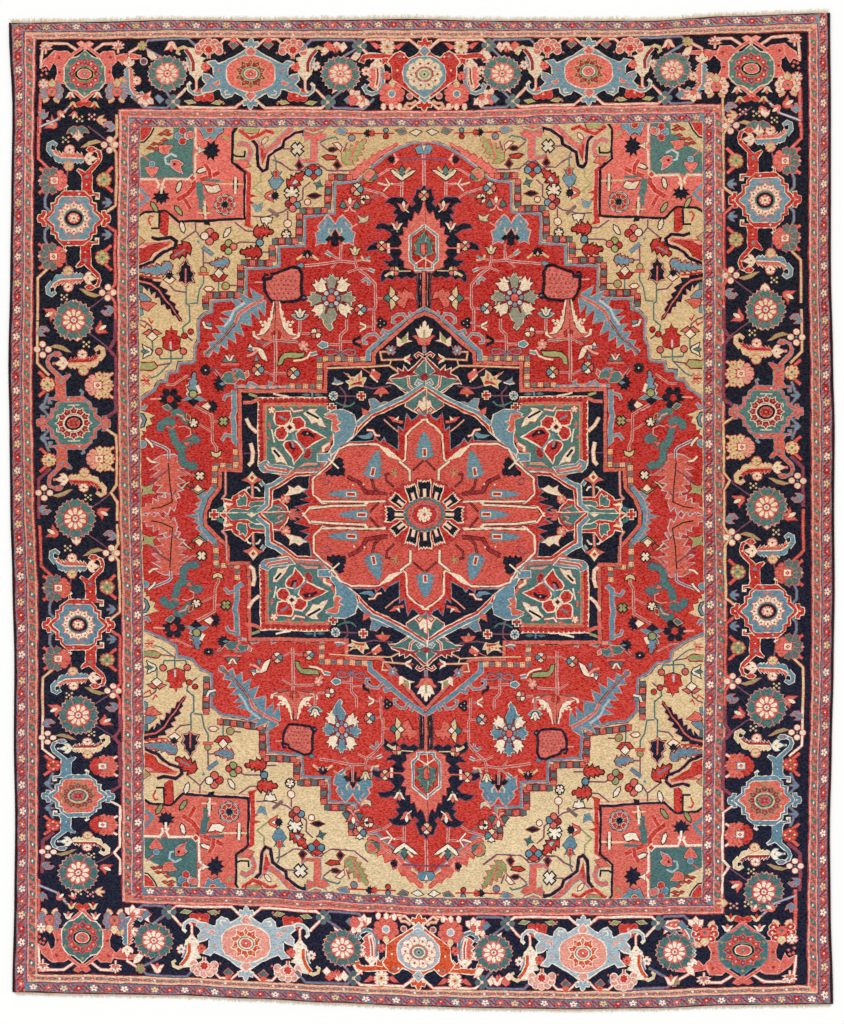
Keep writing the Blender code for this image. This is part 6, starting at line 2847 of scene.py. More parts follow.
        place.at(109, 316, 90).edged(NAVY, RED, mirrored(path(0, 7, 2.6, 1, 1.6, -3, 0, -6)), 0.4)
        place.edged(IVORY, RED, petal_at(115, 310, 2.6), 0.5)
        place.edged(IVORY, RED, petal_at(135, 288, 3.4), 0.5)
        SmallFlower(IVORY, NAVY, CORAL, 5, 4.0).draw(place.at(136, 277))
        carnation(place.at(60, 378.6, 90, 0.62), NAVY)
        carnation(place.at(55, 378.6, 90, 0.55), RED)
        place.edged(RED, BROWN, petal_at(38, 375, 2.2), 0.4)
        place.edged(SKY, BROWN, petal_at(38, 381, 2.0), 0.4)
        place.edged(TEAL, CORAL, path(28, 381, 23, 377, 18, 379, 20, 383), 0.6)
        place.edged(IVORY, BROWN, path(14, 379, 8, 376, 3, 380, 8, 382), 0.4)
        star = path(
            152, 340, 149, 336, 153.6, 331, 150.6, 325, 147, 322, 143.6, 325, 140, 331, 144.6, 336,
            141.6, 340, 147, 338,
        )
        place.edged(SKY, TEAL, star, 0.5)
        place.edged(RED, ROSE, path(149, 340, 147, 342, 145, 340, 145.6, 334, 148.6, 334), 0.4)
        tulip(place.at(157, 316, 90, 0.8), CORAL, IVORY, RED)
        carnation(place.at(151, 316, 90, 0.66), NAVY)
        place.edged(SKY, PALE, path(170, 308, 165, 306, 160, 309, 162, 302, 166, 301), 0.4)
        place.line(TEAL, path(154, 303, 144, 295), 2.2, RED)
        place.edged(IVORY, NAVY, mirrored_at(156, 290, path(0, 5, 5.6, 4, 4, -0.6, 1.6, 0, 0, -3.6)), 0.5)
        feather(place, RED, path(168, 279.6, 160, 280.6, 149, 280), 13, 4, BROWN)
        feather(place, RED, path(161, 260, 171, 259, 181, 260), 13, 4, BROWN)
        place.edged(SKY, NAVY, petal_at(162, 269.6, 3.2), 0.6)
        for x, y, wool in ((197, 264, RED), (193, 268.6, GREEN), (188, 265, CORAL), (193, 260.6, GREEN)):
            place.edged(wool, BROWN, petal_at(x, y, 3.2), 0.5)
        for x, y, wool in ((212, 280, CORAL), (207, 275.6, RED), (212, 271, CORAL), (217, 276, IVORY)):
            place.edged(wool, BROWN, petal_at(x, y, 3.6), 0.5)
        for x, y, turn in ((195, 279, 34), (239, 284, -16)):
            place.at(x, y, turn).edged(IVORY, BROWN, mirrored(path(0, 6, 2.2, 2.4, 1.6, -3, 0, -5)), 0.5)
        place.line(SKY, path(219, 265, 208, 257), 3.0, PLUM)
        feather(place, RED, path(231, 266, 239, 261, 250, 254), 15, 4, BROWN)
        place.line(SKY, path(236, 262, 246, 256), 1.6)
        place.fill(SKY, path(225, 272, 221, 270, 223, 267))

    def lower_flowers(self, place: Chart) -> None:
        """Lays the flowers of the lower part of the gold ground.

        Args:
            place: the corner's place.
        """
        feather(place, SKY, path(250, 248, 258, 242, 282, 240.6), 12, 6, RED)
        place.line(RED, path(281, 236, 270, 234, 259, 233.6), 2.0)
        place.edged(IVORY, RED, path(257, 232, 251, 228, 246, 232, 251, 236), 0.5)
        carnation(place.at(251.6, 232.6, 0, 0.62), NAVY)
        lance = mirrored_at(
            235.6, 239, path(0, 13, 2, 8, 5, 6, 4.4, 2, 7.6, -1, 5.6, -5, 7.4, -9, 3, -9.6, 0, -12.6)
        )
        place.edged(NAVY, ROSE, lance, 0.9)
        place.line(CORAL, path(235.6, 227, 235.6, 243), 1.6)
        place.edged(GREEN, RED, petal_at(218, 242, 2.8), 0.5)
        place.line(CORAL, path(212.6, 238, 223.4, 238), 2.2, RED)
        feather(place, SKY, path(193, 251, 202, 248, 211, 248.6), 11, 4, RED)
        place.edged(RED, BROWN, path(211, 236, 207, 231, 199, 231, 195, 236, 203, 238.6), 0.5)
        place.edged(IVORY, BROWN, path(203, 243, 198.6, 238.6, 203, 233.6, 207, 238.6), 0.5)
        place.at(213, 223, 90).edged(IVORY, RED, mirrored(path(0, 4.6, 2, 2, 2, -2, 0, -4)), 0.6)
        place.edged(GREEN, RED, petal_at(196, 225.6, 3.4), 0.6)
        place.fill(TEAL, path(286, 227, 278, 226, 278.6, 216, 286, 215))
        place.edged(SKY, RED, path(282, 219, 276, 217.6, 270, 212, 274, 208, 280, 211), 0.4)
        place.edged(IVORY, RED, path(286, 213, 281, 211, 279, 206, 286, 202), 0.4)
        place.edged(CORAL, RED, path(281, 209, 273, 210, 265, 208, 270, 204.6, 273, 201, 278, 203), 0.4)
        place.fill(SKY, path(286, 204, 279, 203, 278, 197, 286, 194))
        place.line(RED, path(282, 188, 276, 184, 274, 189), 1.4)
        place.line(RED, path(273, 194, 270, 188.6, 268, 191), 1.4)
        place.edged(CORAL, BROWN, path(278, 178, 272, 182, 269, 180, 266, 182, 260, 178, 269, 176), 0.5)
        place.edged(IVORY, BROWN, path(269, 179.6, 264, 175, 269, 171, 274, 175), 0.5)
        tulip(place.at(270, 160, -90, 0.9), IVORY, TEAL, BROWN)
        maple = path(0, 13.6, 1.6, 9, 6, 8.6, 5, 4, 9.6, 2, 8, -2.6, 8.6, -8, 4, -10, 0, -11)
        place.edged(RED, BROWN, mirrored_at(250, 171.6, maple), 0.6)
        place.line(PALE, path(251, 169.6, 251, 162), 1.9)
        for x in (263, 238.6):
            place.edged(CORAL, BROWN, petal_at(x, 160, 3.0), 0.5)
        place.edged(GREEN, RED, path(284, 151, 280, 148, 268, 149, 265, 145, 270, 141.6, 282, 142), 0.9)
        place.edged(RED, BROWN, petal_at(237, 175.6, 2.6), 0.4)
        place.edged(RED, BROWN, petal_at(231, 180, 2.4), 0.4)
        place.line(RED, path(281, 131, 272, 130.6), 2.0)
        place.line(ROSE, path(279, 136, 275, 132, 271, 136), 1.3, RED)
        place.line(ROSE, path(279, 126, 275, 129, 271, 126), 1.3, RED)


def drawn_design() -> list[tuple[Outline, Wool]]:
    """The whole design as it lies in the carpet, in knots from its middle.

    Returns:
        The closed outlines with their wools, the lowest first.
    """
    chart, loom = Chart(), Loom()
    chart.fill(GOLD, frame(300.0, 400.0))
    ground = chart.trimmed(BROWN)
    for place in ground.quarters():
        GoldCorner().draw(place.at(0, 3.5))
    RedField().draw(ground)
    Medallion().draw(chart)
    GuardStripes().draw(chart)
    MainBorder().draw(chart)
    return [(loom.knotted(outline), wool) for outline, wool in chart.shapes]


# ---------------------------------------------------------------- finishes


@dataclass
class Shader:
    """A material's node tree, built node by node."""

    name: str
    roughness: float
    material: bpy.types.Material = field(init=False)

    def __post_init__(self) -> None:
        """Starts the material with its plain shader."""
        self.material = bpy.data.materials.new(self.name)
        self.material.use_nodes = True
        self.surface.inputs["Roughness"].default_value = self.roughness
        self.surface.inputs["Specular IOR Level"].default_value = 0.08

    @property
    def surface(self) -> bpy.types.Node:
        """The Principled BSDF."""
        return self.material.node_tree.nodes["Principled BSDF"]

    def node(self, kind: str, inputs: dict[int | str, object], **settings: object) -> bpy.types.Node:
        """Adds a node.

        Args:
            kind: the node's type, without its ShaderNode prefix.
            inputs: for each input's name or number, a socket to link or a value to set.
            **settings: the node's own settings.

        Returns:
            The node.
        """
        made = self.material.node_tree.nodes.new("ShaderNode" + kind)
        for name, value in settings.items():
            setattr(made, name, value)
        for key, value in inputs.items():
            self.join(value, made.inputs[key])
        return made

    def join(self, value: object, socket: bpy.types.NodeSocket) -> None:
        """Links a socket to an input, or sets the input's value.

        Args:
            value: a socket or a plain value.
            socket: the input.
        """
        if isinstance(value, bpy.types.NodeSocket):
            self.material.node_tree.links.new(value, socket)
        else:
            socket.default_value = value

    def maths(self, operation: str, *values: object) -> bpy.types.NodeSocket:
        """The result of a sum on sockets and numbers."""
        return self.node("Math", dict(enumerate(values)), operation=operation).outputs[0]

    def mixed(self, blend: str, factor: object, first: object, second: object) -> bpy.types.NodeSocket:
        """Two colours mixed by a factor."""
        made = self.node("MixRGB", {0: factor, 1: first, 2: second}, blend_type=blend)
        return made.outputs[0]

    def grey(self, value: bpy.types.NodeSocket) -> bpy.types.NodeSocket:
        """A grey of one value."""
        return self.node("CombineColor", {0: value, 1: value, 2: value}).outputs[0]

    def ramp(self, place: object, stops: tuple[tuple[float, str], ...]) -> bpy.types.NodeSocket:
        """A colour read at a place from 0 to 1 between stops, each a place and an sRGB code.

        Args:
            place: where the ramp is read.
            stops: the stops in rising order.

        Returns:
            The colour.
        """
        made = self.node("ValToRGB", {0: place})
        made.color_ramp.interpolation = "EASE"
        for i, (at, code) in enumerate(stops):
            element = made.color_ramp.elements[i] if i < 2 else made.color_ramp.elements.new(at)
            element.position = at
            element.color = (*linear(code), 1.0)
        return made.outputs[0]

    def place(self) -> tuple[bpy.types.NodeSocket, bpy.types.NodeSocket, bpy.types.NodeSocket]:
        """The object's own x, y and z.

        Returns:
            The three sockets.
        """
        coordinates = self.node("TexCoord", {}).outputs["Object"]
        split = self.node("SeparateXYZ", {0: coordinates})
        return split.outputs[0], split.outputs[1], split.outputs[2]

    def bump(self, height: object, strength: float, distance: float) -> None:
        """Raises the surface by a height from 0 to 1."""
        made = self.node("Bump", {"Height": height, "Strength": strength, "Distance": distance})
        self.join(made.outputs[0], self.surface.inputs["Normal"])

    def sheen(self, weight: float, roughness: float) -> None:
        """Gives the fibres' soft gleam."""
        self.surface.inputs["Sheen Weight"].default_value = weight
        self.surface.inputs["Sheen Roughness"].default_value = roughness


def linear(code: str) -> tuple[float, float, float]:
    """The linear colour of an sRGB code.

    Args:
        code: six hexadecimal digits.

    Returns:
        Red, green and blue from 0 to 1.
    """
    channels = (int(code[i : i + 2], 16) / 255 for i in (0, 2, 4))
    red, green, blue = (c / 12.92 if c <= 0.04045 else ((c + 0.055) / 1.055) ** 2.4 for c in channels)
    return red, green, blue


@dataclass(frozen=True)
class WoolPile:
    """The clipped pile: each face's own wool, with its dye lot's bands, worn patches, and single knots that
    differ in tone and carry painted light and shade on their tufts.
    """

    bands: float = 0.16  # how far a band of one dye lot may differ
    knots: float = 0.52  # how far one knot may differ, in tone and in painted light and shade on its tuft
    fleck_and_shade: float = 0.02  # how far a dark knot may differ besides, in tone and in painted shade
    streaks: float = 0.14  # how far three or so knots of one row, tied from one end of yarn, may differ, together with painted light and shade along the row
    streak_length: float = 2.7  # knots
    streak_shift: float = 0.37  # how far a row's streaks lie along from those of the row before, in lengths
    sheen_paling: float = 0.82  # how far the light and dark knots keep to their wool's colour; the light knots pale with a painted sheen
    wear: float = 0.12
    patches: float = 2.2  # worn places to a metre
    band_scale: float = 5.5  # bands to a metre
    lot_shift: float = 13.7  # how far apart two lots' bands are read
    full: float = 4.6  # brings the linear value of 808080 to 1
    length: float = 3.7  # metres that the lots' changes are spread over

    # How each dye lot changes from the bottom end to the top end, as a factor where 808080 changes nothing.
    LOTS: ClassVar[dict[str, tuple[tuple[float, str], ...]]] = {
        "indigo": ((0.0, "8a8ea0"), (0.3, "8a8c9a"), (0.55, "828284"), (1.0, "7e7e7c")),
        "madder": (
            (0.0, "868a8a"), (0.3, "868a88"), (0.54, "7d7474"), (0.74, "7c6f6f"), (0.8, "848684"),
            (1.0, "868884"),
        ),
        "coral": (
            (0.0, "848284"), (0.3, "807e7e"), (0.5, "7c7670"), (0.7, "7e7c7a"), (0.84, "878889"),
            (1.0, "868585"),
        ),
        "gold": ((0.0, "898f99"), (0.14, "878c95"), (0.3, "84868a"), (0.55, "807f7d"), (1.0, "7d7b7b")),
        "teal": ((0.0, "787b80"), (0.4, "7a7c7e"), (0.6, "84807c"), (1.0, "8e8682")),
    }

    def material(self) -> bpy.types.Material:
        """Builds the material.

        Returns:
            The material.
        """
        shader = Shader("wool_pile", 0.93)
        x, y, _ = shader.place()
        colour = shader.node("Attribute", {}, attribute_name="wool").outputs["Color"]
        lot = shader.node("Attribute", {}, attribute_name="lot").outputs["Fac"]
        along = shader.maths("MULTIPLY_ADD", y, 1 / self.length, 0.5)
        full = (self.full, self.full, self.full, 1.0)
        for i, stops in enumerate(self.LOTS.values()):
            chosen = shader.maths("COMPARE", lot, float(i), 0.4)
            factor = shader.mixed("MULTIPLY", 1.0, full, shader.ramp(along, stops))
            colour = shader.mixed("MULTIPLY", chosen, colour, factor)
        rows = shader.maths("MULTIPLY_ADD", y, self.band_scale, shader.maths("MULTIPLY", lot, self.lot_shift))
        band = shader.node(
            "TexNoise", {"W": rows, "Scale": 1.0, "Detail": 3.0}, noise_dimensions="1D"
        ).outputs[0]
        across = shader.maths("FLOOR", shader.maths("DIVIDE", x, KNOT))
        up = shader.maths("FLOOR", shader.maths("DIVIDE", y, KNOT))
        cell = shader.node("CombineXYZ", {0: across, 1: up}).outputs[0]
        knot = shader.node("TexWhiteNoise", {0: cell}, noise_dimensions="2D").outputs[0]
        spot = shader.node("TexCoord", {}).outputs["Object"]
        worn = {"Vector": spot, "Scale": self.patches, "Detail": 5.0, "Roughness": 0.62}
        patch = shader.node("TexNoise", worn).outputs[0]
        light = shader.maths("MULTIPLY_ADD", band, self.bands, 1 - self.bands / 2)
        light = shader.maths(
            "MULTIPLY", light, shader.maths("MULTIPLY_ADD", patch, self.wear, 1 - self.wear / 2)
        )
        colour = self.grained_and_shaded(shader, colour, x, up, knot)
        colour = shader.mixed("MULTIPLY", 1.0, colour, shader.grey(light))
        shader.join(colour, shader.surface.inputs["Base Color"])
        shader.sheen(0.05, 0.5)
        shader.bump(self.knot_height(shader, x, y, knot), 0.5, 0.0012)
        return shader.material

    def grained_and_shaded(
        self,
        shader: Shader,
        colour: bpy.types.NodeSocket,
        x: bpy.types.NodeSocket,
        row: bpy.types.NodeSocket,
        knot: bpy.types.NodeSocket,
    ) -> bpy.types.NodeSocket:
        """The wool's colour with lighter and darker knots and short streaks along the rows, in random tone
        and in painted light and shade on the tufts.

        Args:
            shader: the material.
            colour: the dyed colour.
            x: place across.
            row: the row's number.
            knot: each knot's own chance number.

        Returns:
            The colour.
        """
        lengths = shader.maths("DIVIDE", x, KNOT * self.streak_length)
        across = shader.maths("FLOOR", shader.maths("MULTIPLY_ADD", row, self.streak_shift, lengths))
        cell = shader.node("CombineXYZ", {0: across, 1: row, 2: 5.5}).outputs[0]
        streak = shader.node("TexWhiteNoise", {0: cell}, noise_dimensions="3D").outputs[0]
        # painted light and shade on the tufts, with random tone: a lighter knot gains a paler painted sheen,
        # a darker one loses it
        share = (self.knots + self.streaks) / 2
        light = shader.maths("MULTIPLY_ADD", streak, self.streaks, shader.maths("MULTIPLY", knot, self.knots))
        pale = shader.node("HueSaturation", {"Saturation": self.sheen_paling, "Color": colour}).outputs[0]
        base = shader.mixed("SUBTRACT", share, colour, pale)
        dyed = shader.mixed("ADD", light, base, pale)
        # a little more painted light or shade on each knot, the same in all three channels
        fleck_and_shade = shader.maths("MULTIPLY_ADD", knot, self.fleck_and_shade, -self.fleck_and_shade / 2)
        return shader.mixed("ADD", 1.0, dyed, shader.grey(fleck_and_shade))

    def knot_height(
        self, shader: Shader, x: bpy.types.NodeSocket, y: bpy.types.NodeSocket, knot: bpy.types.NodeSocket
    ) -> bpy.types.NodeSocket:
        """The rounded tufts, one for each knot, each a little higher or lower than the next.

        Args:
            shader: the material.
            x: place across.
            y: place along.
            knot: each knot's own chance number.

        Returns:
            The height from 0 to 1.
        """
        waves = [
            shader.maths("ABSOLUTE", shader.maths("SINE", shader.maths("MULTIPLY", place, math.pi / KNOT)))
            for place in (x, y)
        ]
        tuft = shader.maths("POWER", shader.maths("MULTIPLY", *waves), 0.4)
        return shader.maths("MULTIPLY", tuft, shader.maths("MULTIPLY_ADD", knot, 0.5, 0.5))


@dataclass(frozen=True)
class WoolBinding:
    """The dark wool wrapped round each side cord."""

    wraps: float = 240.0  # light and dark turns to a metre
    lots: float = 3.0  # changes of colour to a metre
    fibres: float = 1800.0

    def material(self) -> bpy.types.Material:
        """Builds the material.

        Returns:
            The material.
        """
        shader = Shader("wool_binding", 0.88)
        _, y, _ = shader.place()
        wraps = shader.node(
            "TexNoise", {"W": y, "Scale": self.wraps, "Detail": 1.0}, noise_dimensions="1D"
        ).outputs[0]
        lots = shader.node(
            "TexNoise", {"W": y, "Scale": self.lots, "Detail": 4.0}, noise_dimensions="1D"
        ).outputs[0]
        colour = shader.ramp(lots, ((0.35, "2a1d1c"), (0.5, "3b2723"), (0.62, "2c2022"), (0.75, "54322c")))
        shade = shader.ramp(wraps, ((0.25, "9a9a9a"), (0.8, "ffffff")))
        shader.join(shader.mixed("MULTIPLY", 1.0, colour, shade), shader.surface.inputs["Base Color"])
        place = shader.node("TexCoord", {}).outputs["Object"]
        fibre = shader.node("TexNoise", {"Vector": place, "Scale": self.fibres, "Detail": 2.0}).outputs[0]
        shader.bump(fibre, 0.35, 0.0004)
        shader.sheen(0.2, 0.5)
        return shader.material


@dataclass(frozen=True)
class CottonWarp:
    """The undyed cotton of the woven ends and the cut warps, a little soiled."""

    soiling: float = 14.0  # soiled places to a metre
    yarns: float = 420.0

    def material(self) -> bpy.types.Material:
        """Builds the material.

        Returns:
            The material.
        """
        shader = Shader("cotton_warp", 0.95)
        place = shader.node("TexCoord", {}).outputs["Object"]
        soil = shader.node(
            "TexNoise", {"Vector": place, "Scale": self.soiling, "Detail": 6.0, "Roughness": 0.7}
        ).outputs[0]
        yarn = shader.node("TexNoise", {"Vector": place, "Scale": self.yarns, "Detail": 2.0}).outputs[0]
        colour = shader.ramp(soil, ((0.3, "fcf7ec"), (0.5, "f8efdc"), (0.66, "e8d4b0"), (0.8, "fdf9f0")))
        shade = shader.ramp(yarn, ((0.3, "d8b898"), (0.46, "f6efe4"), (0.7, "ffffff")))
        shader.join(shader.mixed("MULTIPLY", 1.0, colour, shade), shader.surface.inputs["Base Color"])
        shader.bump(yarn, 0.5, 0.0006)
        shader.sheen(0.1, 0.5)
        return shader.material


# ---------------------------------------------------------------- the knotted sheet


def pushed(line: Outline, distance: float) -> Outline:
    """An open line moved sideways, to the right of its direction where the distance is positive.

    Args:
        line: the line.
        distance: how far it moves.

    Returns:
        The moved line.
    """
    moved = []
    for i, (x, y) in enumerate(line):
        before, after = line[max(i - 1, 0)], line[min(i + 1, len(line) - 1)]
        dx, dy = unit(after[0] - before[0], after[1] - before[1])
        moved.append((x + dy * distance, y - dx * distance))
    return moved


@dataclass(frozen=True)
class CarpetEdge:
    """The carpet's uneven edge, in metres from the middle of the true rectangle."""

    width: float = CARPET_WIDTH
    length: float = CARPET_LENGTH
    binding: float = BINDING_SEAT
    side_steps: int = 48
    end_steps: int = 43

    def laid(self, across: float, along: float) -> Point:
        """Where a point of the true rectangle lies. Both run from -1 to 1.

        Args:
            across: from the left side to the right.
            along: from the bottom end to the top.

        Returns:
            The place in metres.
        """
        x, y = across * self.width / 2, along * self.length / 2
        left, right = -self.width / 2 - eased(SIDE_BULGE, y, 1), self.width / 2 + eased(SIDE_BULGE, y, 2)
        bottom, top = -self.length / 2 - eased(END_BULGE, x, 1), self.length / 2 + eased(END_BULGE, x, 2)
        return left + (right - left) * (across + 1) / 2, bottom + (top - bottom) * (along + 1) / 2

    def side(self, side: int) -> Outline:
        """The outer line of one bound side, bottom to top. Side is -1 at the left and 1 at the right."""
        return [self.laid(side, 2 * i / self.side_steps - 1) for i in range(self.side_steps + 1)]

    def end(self, end: int) -> Outline:
        """The line of one end inside the bound sides, left to right. End is -1 at the bottom, 1 at the top.

        Args:
            end: which end.

        Returns:
            The line in metres.
        """
        inset = 2 * self.binding / self.width
        return [
            self.laid(
                inset - 1 + (2 - 2 * inset) * i / self.end_steps, end
            ) for i in range(self.end_steps + 1)
        ]

    def ground(self) -> Outline:
        """The outline of the knots, against the clock."""
        left, right = pushed(self.side(-1), self.binding), pushed(self.side(1), -self.binding)
        return self.end(-1) + right[1:-1] + self.end(1)[::-1] + left[-2:0:-1]


def crossings(points: np.ndarray, starts: np.ndarray, ends: np.ndarray) -> np.ndarray:
    """How often closed lines wind round each point.

    Args:
        points: the points, a row for each.
        starts: where each straight run of the lines starts.
        ends: where it ends.

    Returns:
        The winding numbers, 0 for a point outside.
    """
    order = np.argsort(points[:, 1], kind="stable")
    heights = points[order, 1]
    first = np.searchsorted(heights, np.minimum(starts[:, 1], ends[:, 1]))
    count = np.searchsorted(heights, np.maximum(starts[:, 1], ends[:, 1])) - first
    run = np.repeat(np.arange(len(starts)), count)
    met = order[np.arange(len(run)) + np.repeat(first - np.cumsum(count) + count, count)]
    a, b, (x, y) = starts[run], ends[run], points[met].T
    turn = (b[:, 0] - a[:, 0]) * (y - a[:, 1]) - (x - a[:, 0]) * (b[:, 1] - a[:, 1])
    rising = b[:, 1] > a[:, 1]
    signs = (rising & (turn > 0)).astype(int) - (~rising & (turn < 0))
    return np.bincount(met, signs, len(points)).astype(int)


@dataclass
class Bins:
    """Points sorted into square bins, so that those near a shape are found at once."""

    points: np.ndarray
    size: float = 12.0

    def __post_init__(self) -> None:
        """Sorts the points."""
        self.low = self.points.min(0)
        self.columns = int((self.points[:, 0].max() - self.low[0]) // self.size) + 1
        self.rows = int((self.points[:, 1].max() - self.low[1]) // self.size) + 1
        across, up = ((self.points - self.low) // self.size).astype(int).T
        bins = up * self.columns + across
        self.order = np.argsort(bins, kind="stable")
        self.first = np.searchsorted(bins[self.order], np.arange(self.columns * self.rows + 1))

    def near(self, outline: np.ndarray) -> np.ndarray:
        """The numbers of the points in the bins that a shape's box meets.

        Args:
            outline: the shape's outline.

        Returns:
            The numbers.
        """
        low = np.clip(
            (outline.min(0) - self.low) // self.size, 0, (self.columns - 1, self.rows - 1)
        ).astype(int)
        high = np.clip(
            (outline.max(0) - self.low) // self.size, 0, (self.columns - 1, self.rows - 1)
        ).astype(int)
        starts = [row * self.columns for row in range(low[1], high[1] + 1)]
        parts = [self.order[self.first[s + low[0]] : self.first[s + high[0] + 1]] for s in starts]
        return np.concatenate(parts)


@dataclass
class Cut:
    """A design divided into triangles, each of one wool."""

    shapes: list[tuple[Outline, Wool]]
    edge: Outline  # the carpet's outline, in knots
    zone_lines: list[Outline]
    shoulder: float = 0.54  # knots between the outline and the flat of the pile
    merging: float = 0.01  # points nearer than this, in knots, become one
    sliver: float = 1e-7  # a triangle of less than half this area is dropped
    points: np.ndarray = field(init=False)
    triangles: np.ndarray = field(init=False)
    wools: np.ndarray = field(init=False)
    zones: np.ndarray = field(init=False)

    def __post_init__(self) -> None:
        """Divides the design along every outline, and keeps what lies inside the carpet."""
        loops = [outline for outline, _ in self.shapes] + self.zone_lines
        loops += [self.edge, grown(self.edge, -self.shoulder)]
        places, runs = [], []
        for loop in loops:
            first, count = len(places), len(loop)
            places.extend(Vector(point) for point in loop)
            runs.extend((first + i, first + (i + 1) % count) for i in range(count))
        points, _, faces, *_ = delaunay_2d_cdt(places, runs, [], 0, self.merging, False)
        self.points = np.array([tuple(point) for point in points])
        self.triangles = np.array(faces)
        a, b, c = (self.points[self.triangles[:, i]] for i in range(3))
        turn = (b[:, 0] - a[:, 0]) * (c[:, 1] - a[:, 1]) - (b[:, 1] - a[:, 1]) * (c[:, 0] - a[:, 0])
        self.triangles[turn < 0] = self.triangles[turn < 0][:, ::-1]
        middles = (a + b + c) / 3
        kept = self.wound(middles, self.edge) & (abs(turn) > self.sliver)
        self.triangles, middles = self.triangles[kept], middles[kept]
        self.zones = sum(self.wound(middles, line).astype(int) for line in self.zone_lines)
        self.dye(middles)

    @staticmethod
    def wound(points: np.ndarray, outline: Outline) -> np.ndarray:
        """Which points lie inside a closed outline."""
        loop = np.array(outline)
        return crossings(points, loop, np.roll(loop, -1, 0)) != 0

    def dye(self, middles: np.ndarray) -> None:
        """Gives each triangle the wool of the topmost shape over its middle.

        Args:
            middles: the triangles' middles.
        """
        order = list(Wool)
        bins = Bins(middles)
        self.wools = np.zeros(len(middles), int)
        for outline, wool in self.shapes:
            loop = np.array(outline)
            near = bins.near(loop)
            covered = crossings(middles[near], loop, np.roll(loop, -1, 0)) != 0
            self.wools[near[covered]] = order.index(wool)

    def rim(self) -> np.ndarray:
        """Which points lie on the carpet's outline.

        Returns:
            True for each such point.
        """
        on_rim = np.zeros(len(self.points), bool)
        on_rim[open_runs(self.triangles).ravel()] = True
        return on_rim


def open_runs(triangles: np.ndarray) -> np.ndarray:
    """The directed sides of triangles that no other triangle shares, as pairs of point numbers.

    Args:
        triangles: the triangles, as point numbers.

    Returns:
        The sides, a row for each.
    """
    runs = np.concatenate([triangles[:, (0, 1)], triangles[:, (1, 2)], triangles[:, (2, 0)]])
    count = int(triangles.max()) + 1
    ahead, back = runs[:, 0] * count + runs[:, 1], runs[:, 1] * count + runs[:, 0]
    return runs[~np.isin(ahead, back)]


def joined(runs: np.ndarray) -> list[list[int]]:
    """Closed loops of point numbers from directed runs.

    Args:
        runs: the runs, a pair of point numbers for each.

    Returns:
        The loops.
    """
    following = {int(a): int(b) for a, b in runs}
    loops = []
    while following:
        start, at = following.popitem()
        loop = [start]
        while at != start:
            loop.append(at)
            at = following.pop(at)
        loops.append(loop)
    return loops


def flat_fill(points: np.ndarray, loops: list[list[int]]) -> list[tuple[int, int, int]]:
    """Triangles between closed loops that use the loops' own points alone.

    Args:
        points: all points.
        loops: the outer loop and any holes, as point numbers.

    Returns:
        Triangles of point numbers, turned clockwise, so that they face down.
    """
    numbers = [number for loop in loops for number in loop]
    found = tessellate_polygon([[Vector((*points[number], 0.0)) for number in loop] for loop in loops])
    faces = []
    for corners in found:
        a, b, c = (numbers[corner] for corner in corners)
        turn = area([tuple(points[n]) for n in (a, b, c)])
        faces.append((a, b, c) if turn < 0 else (c, b, a))
    return faces


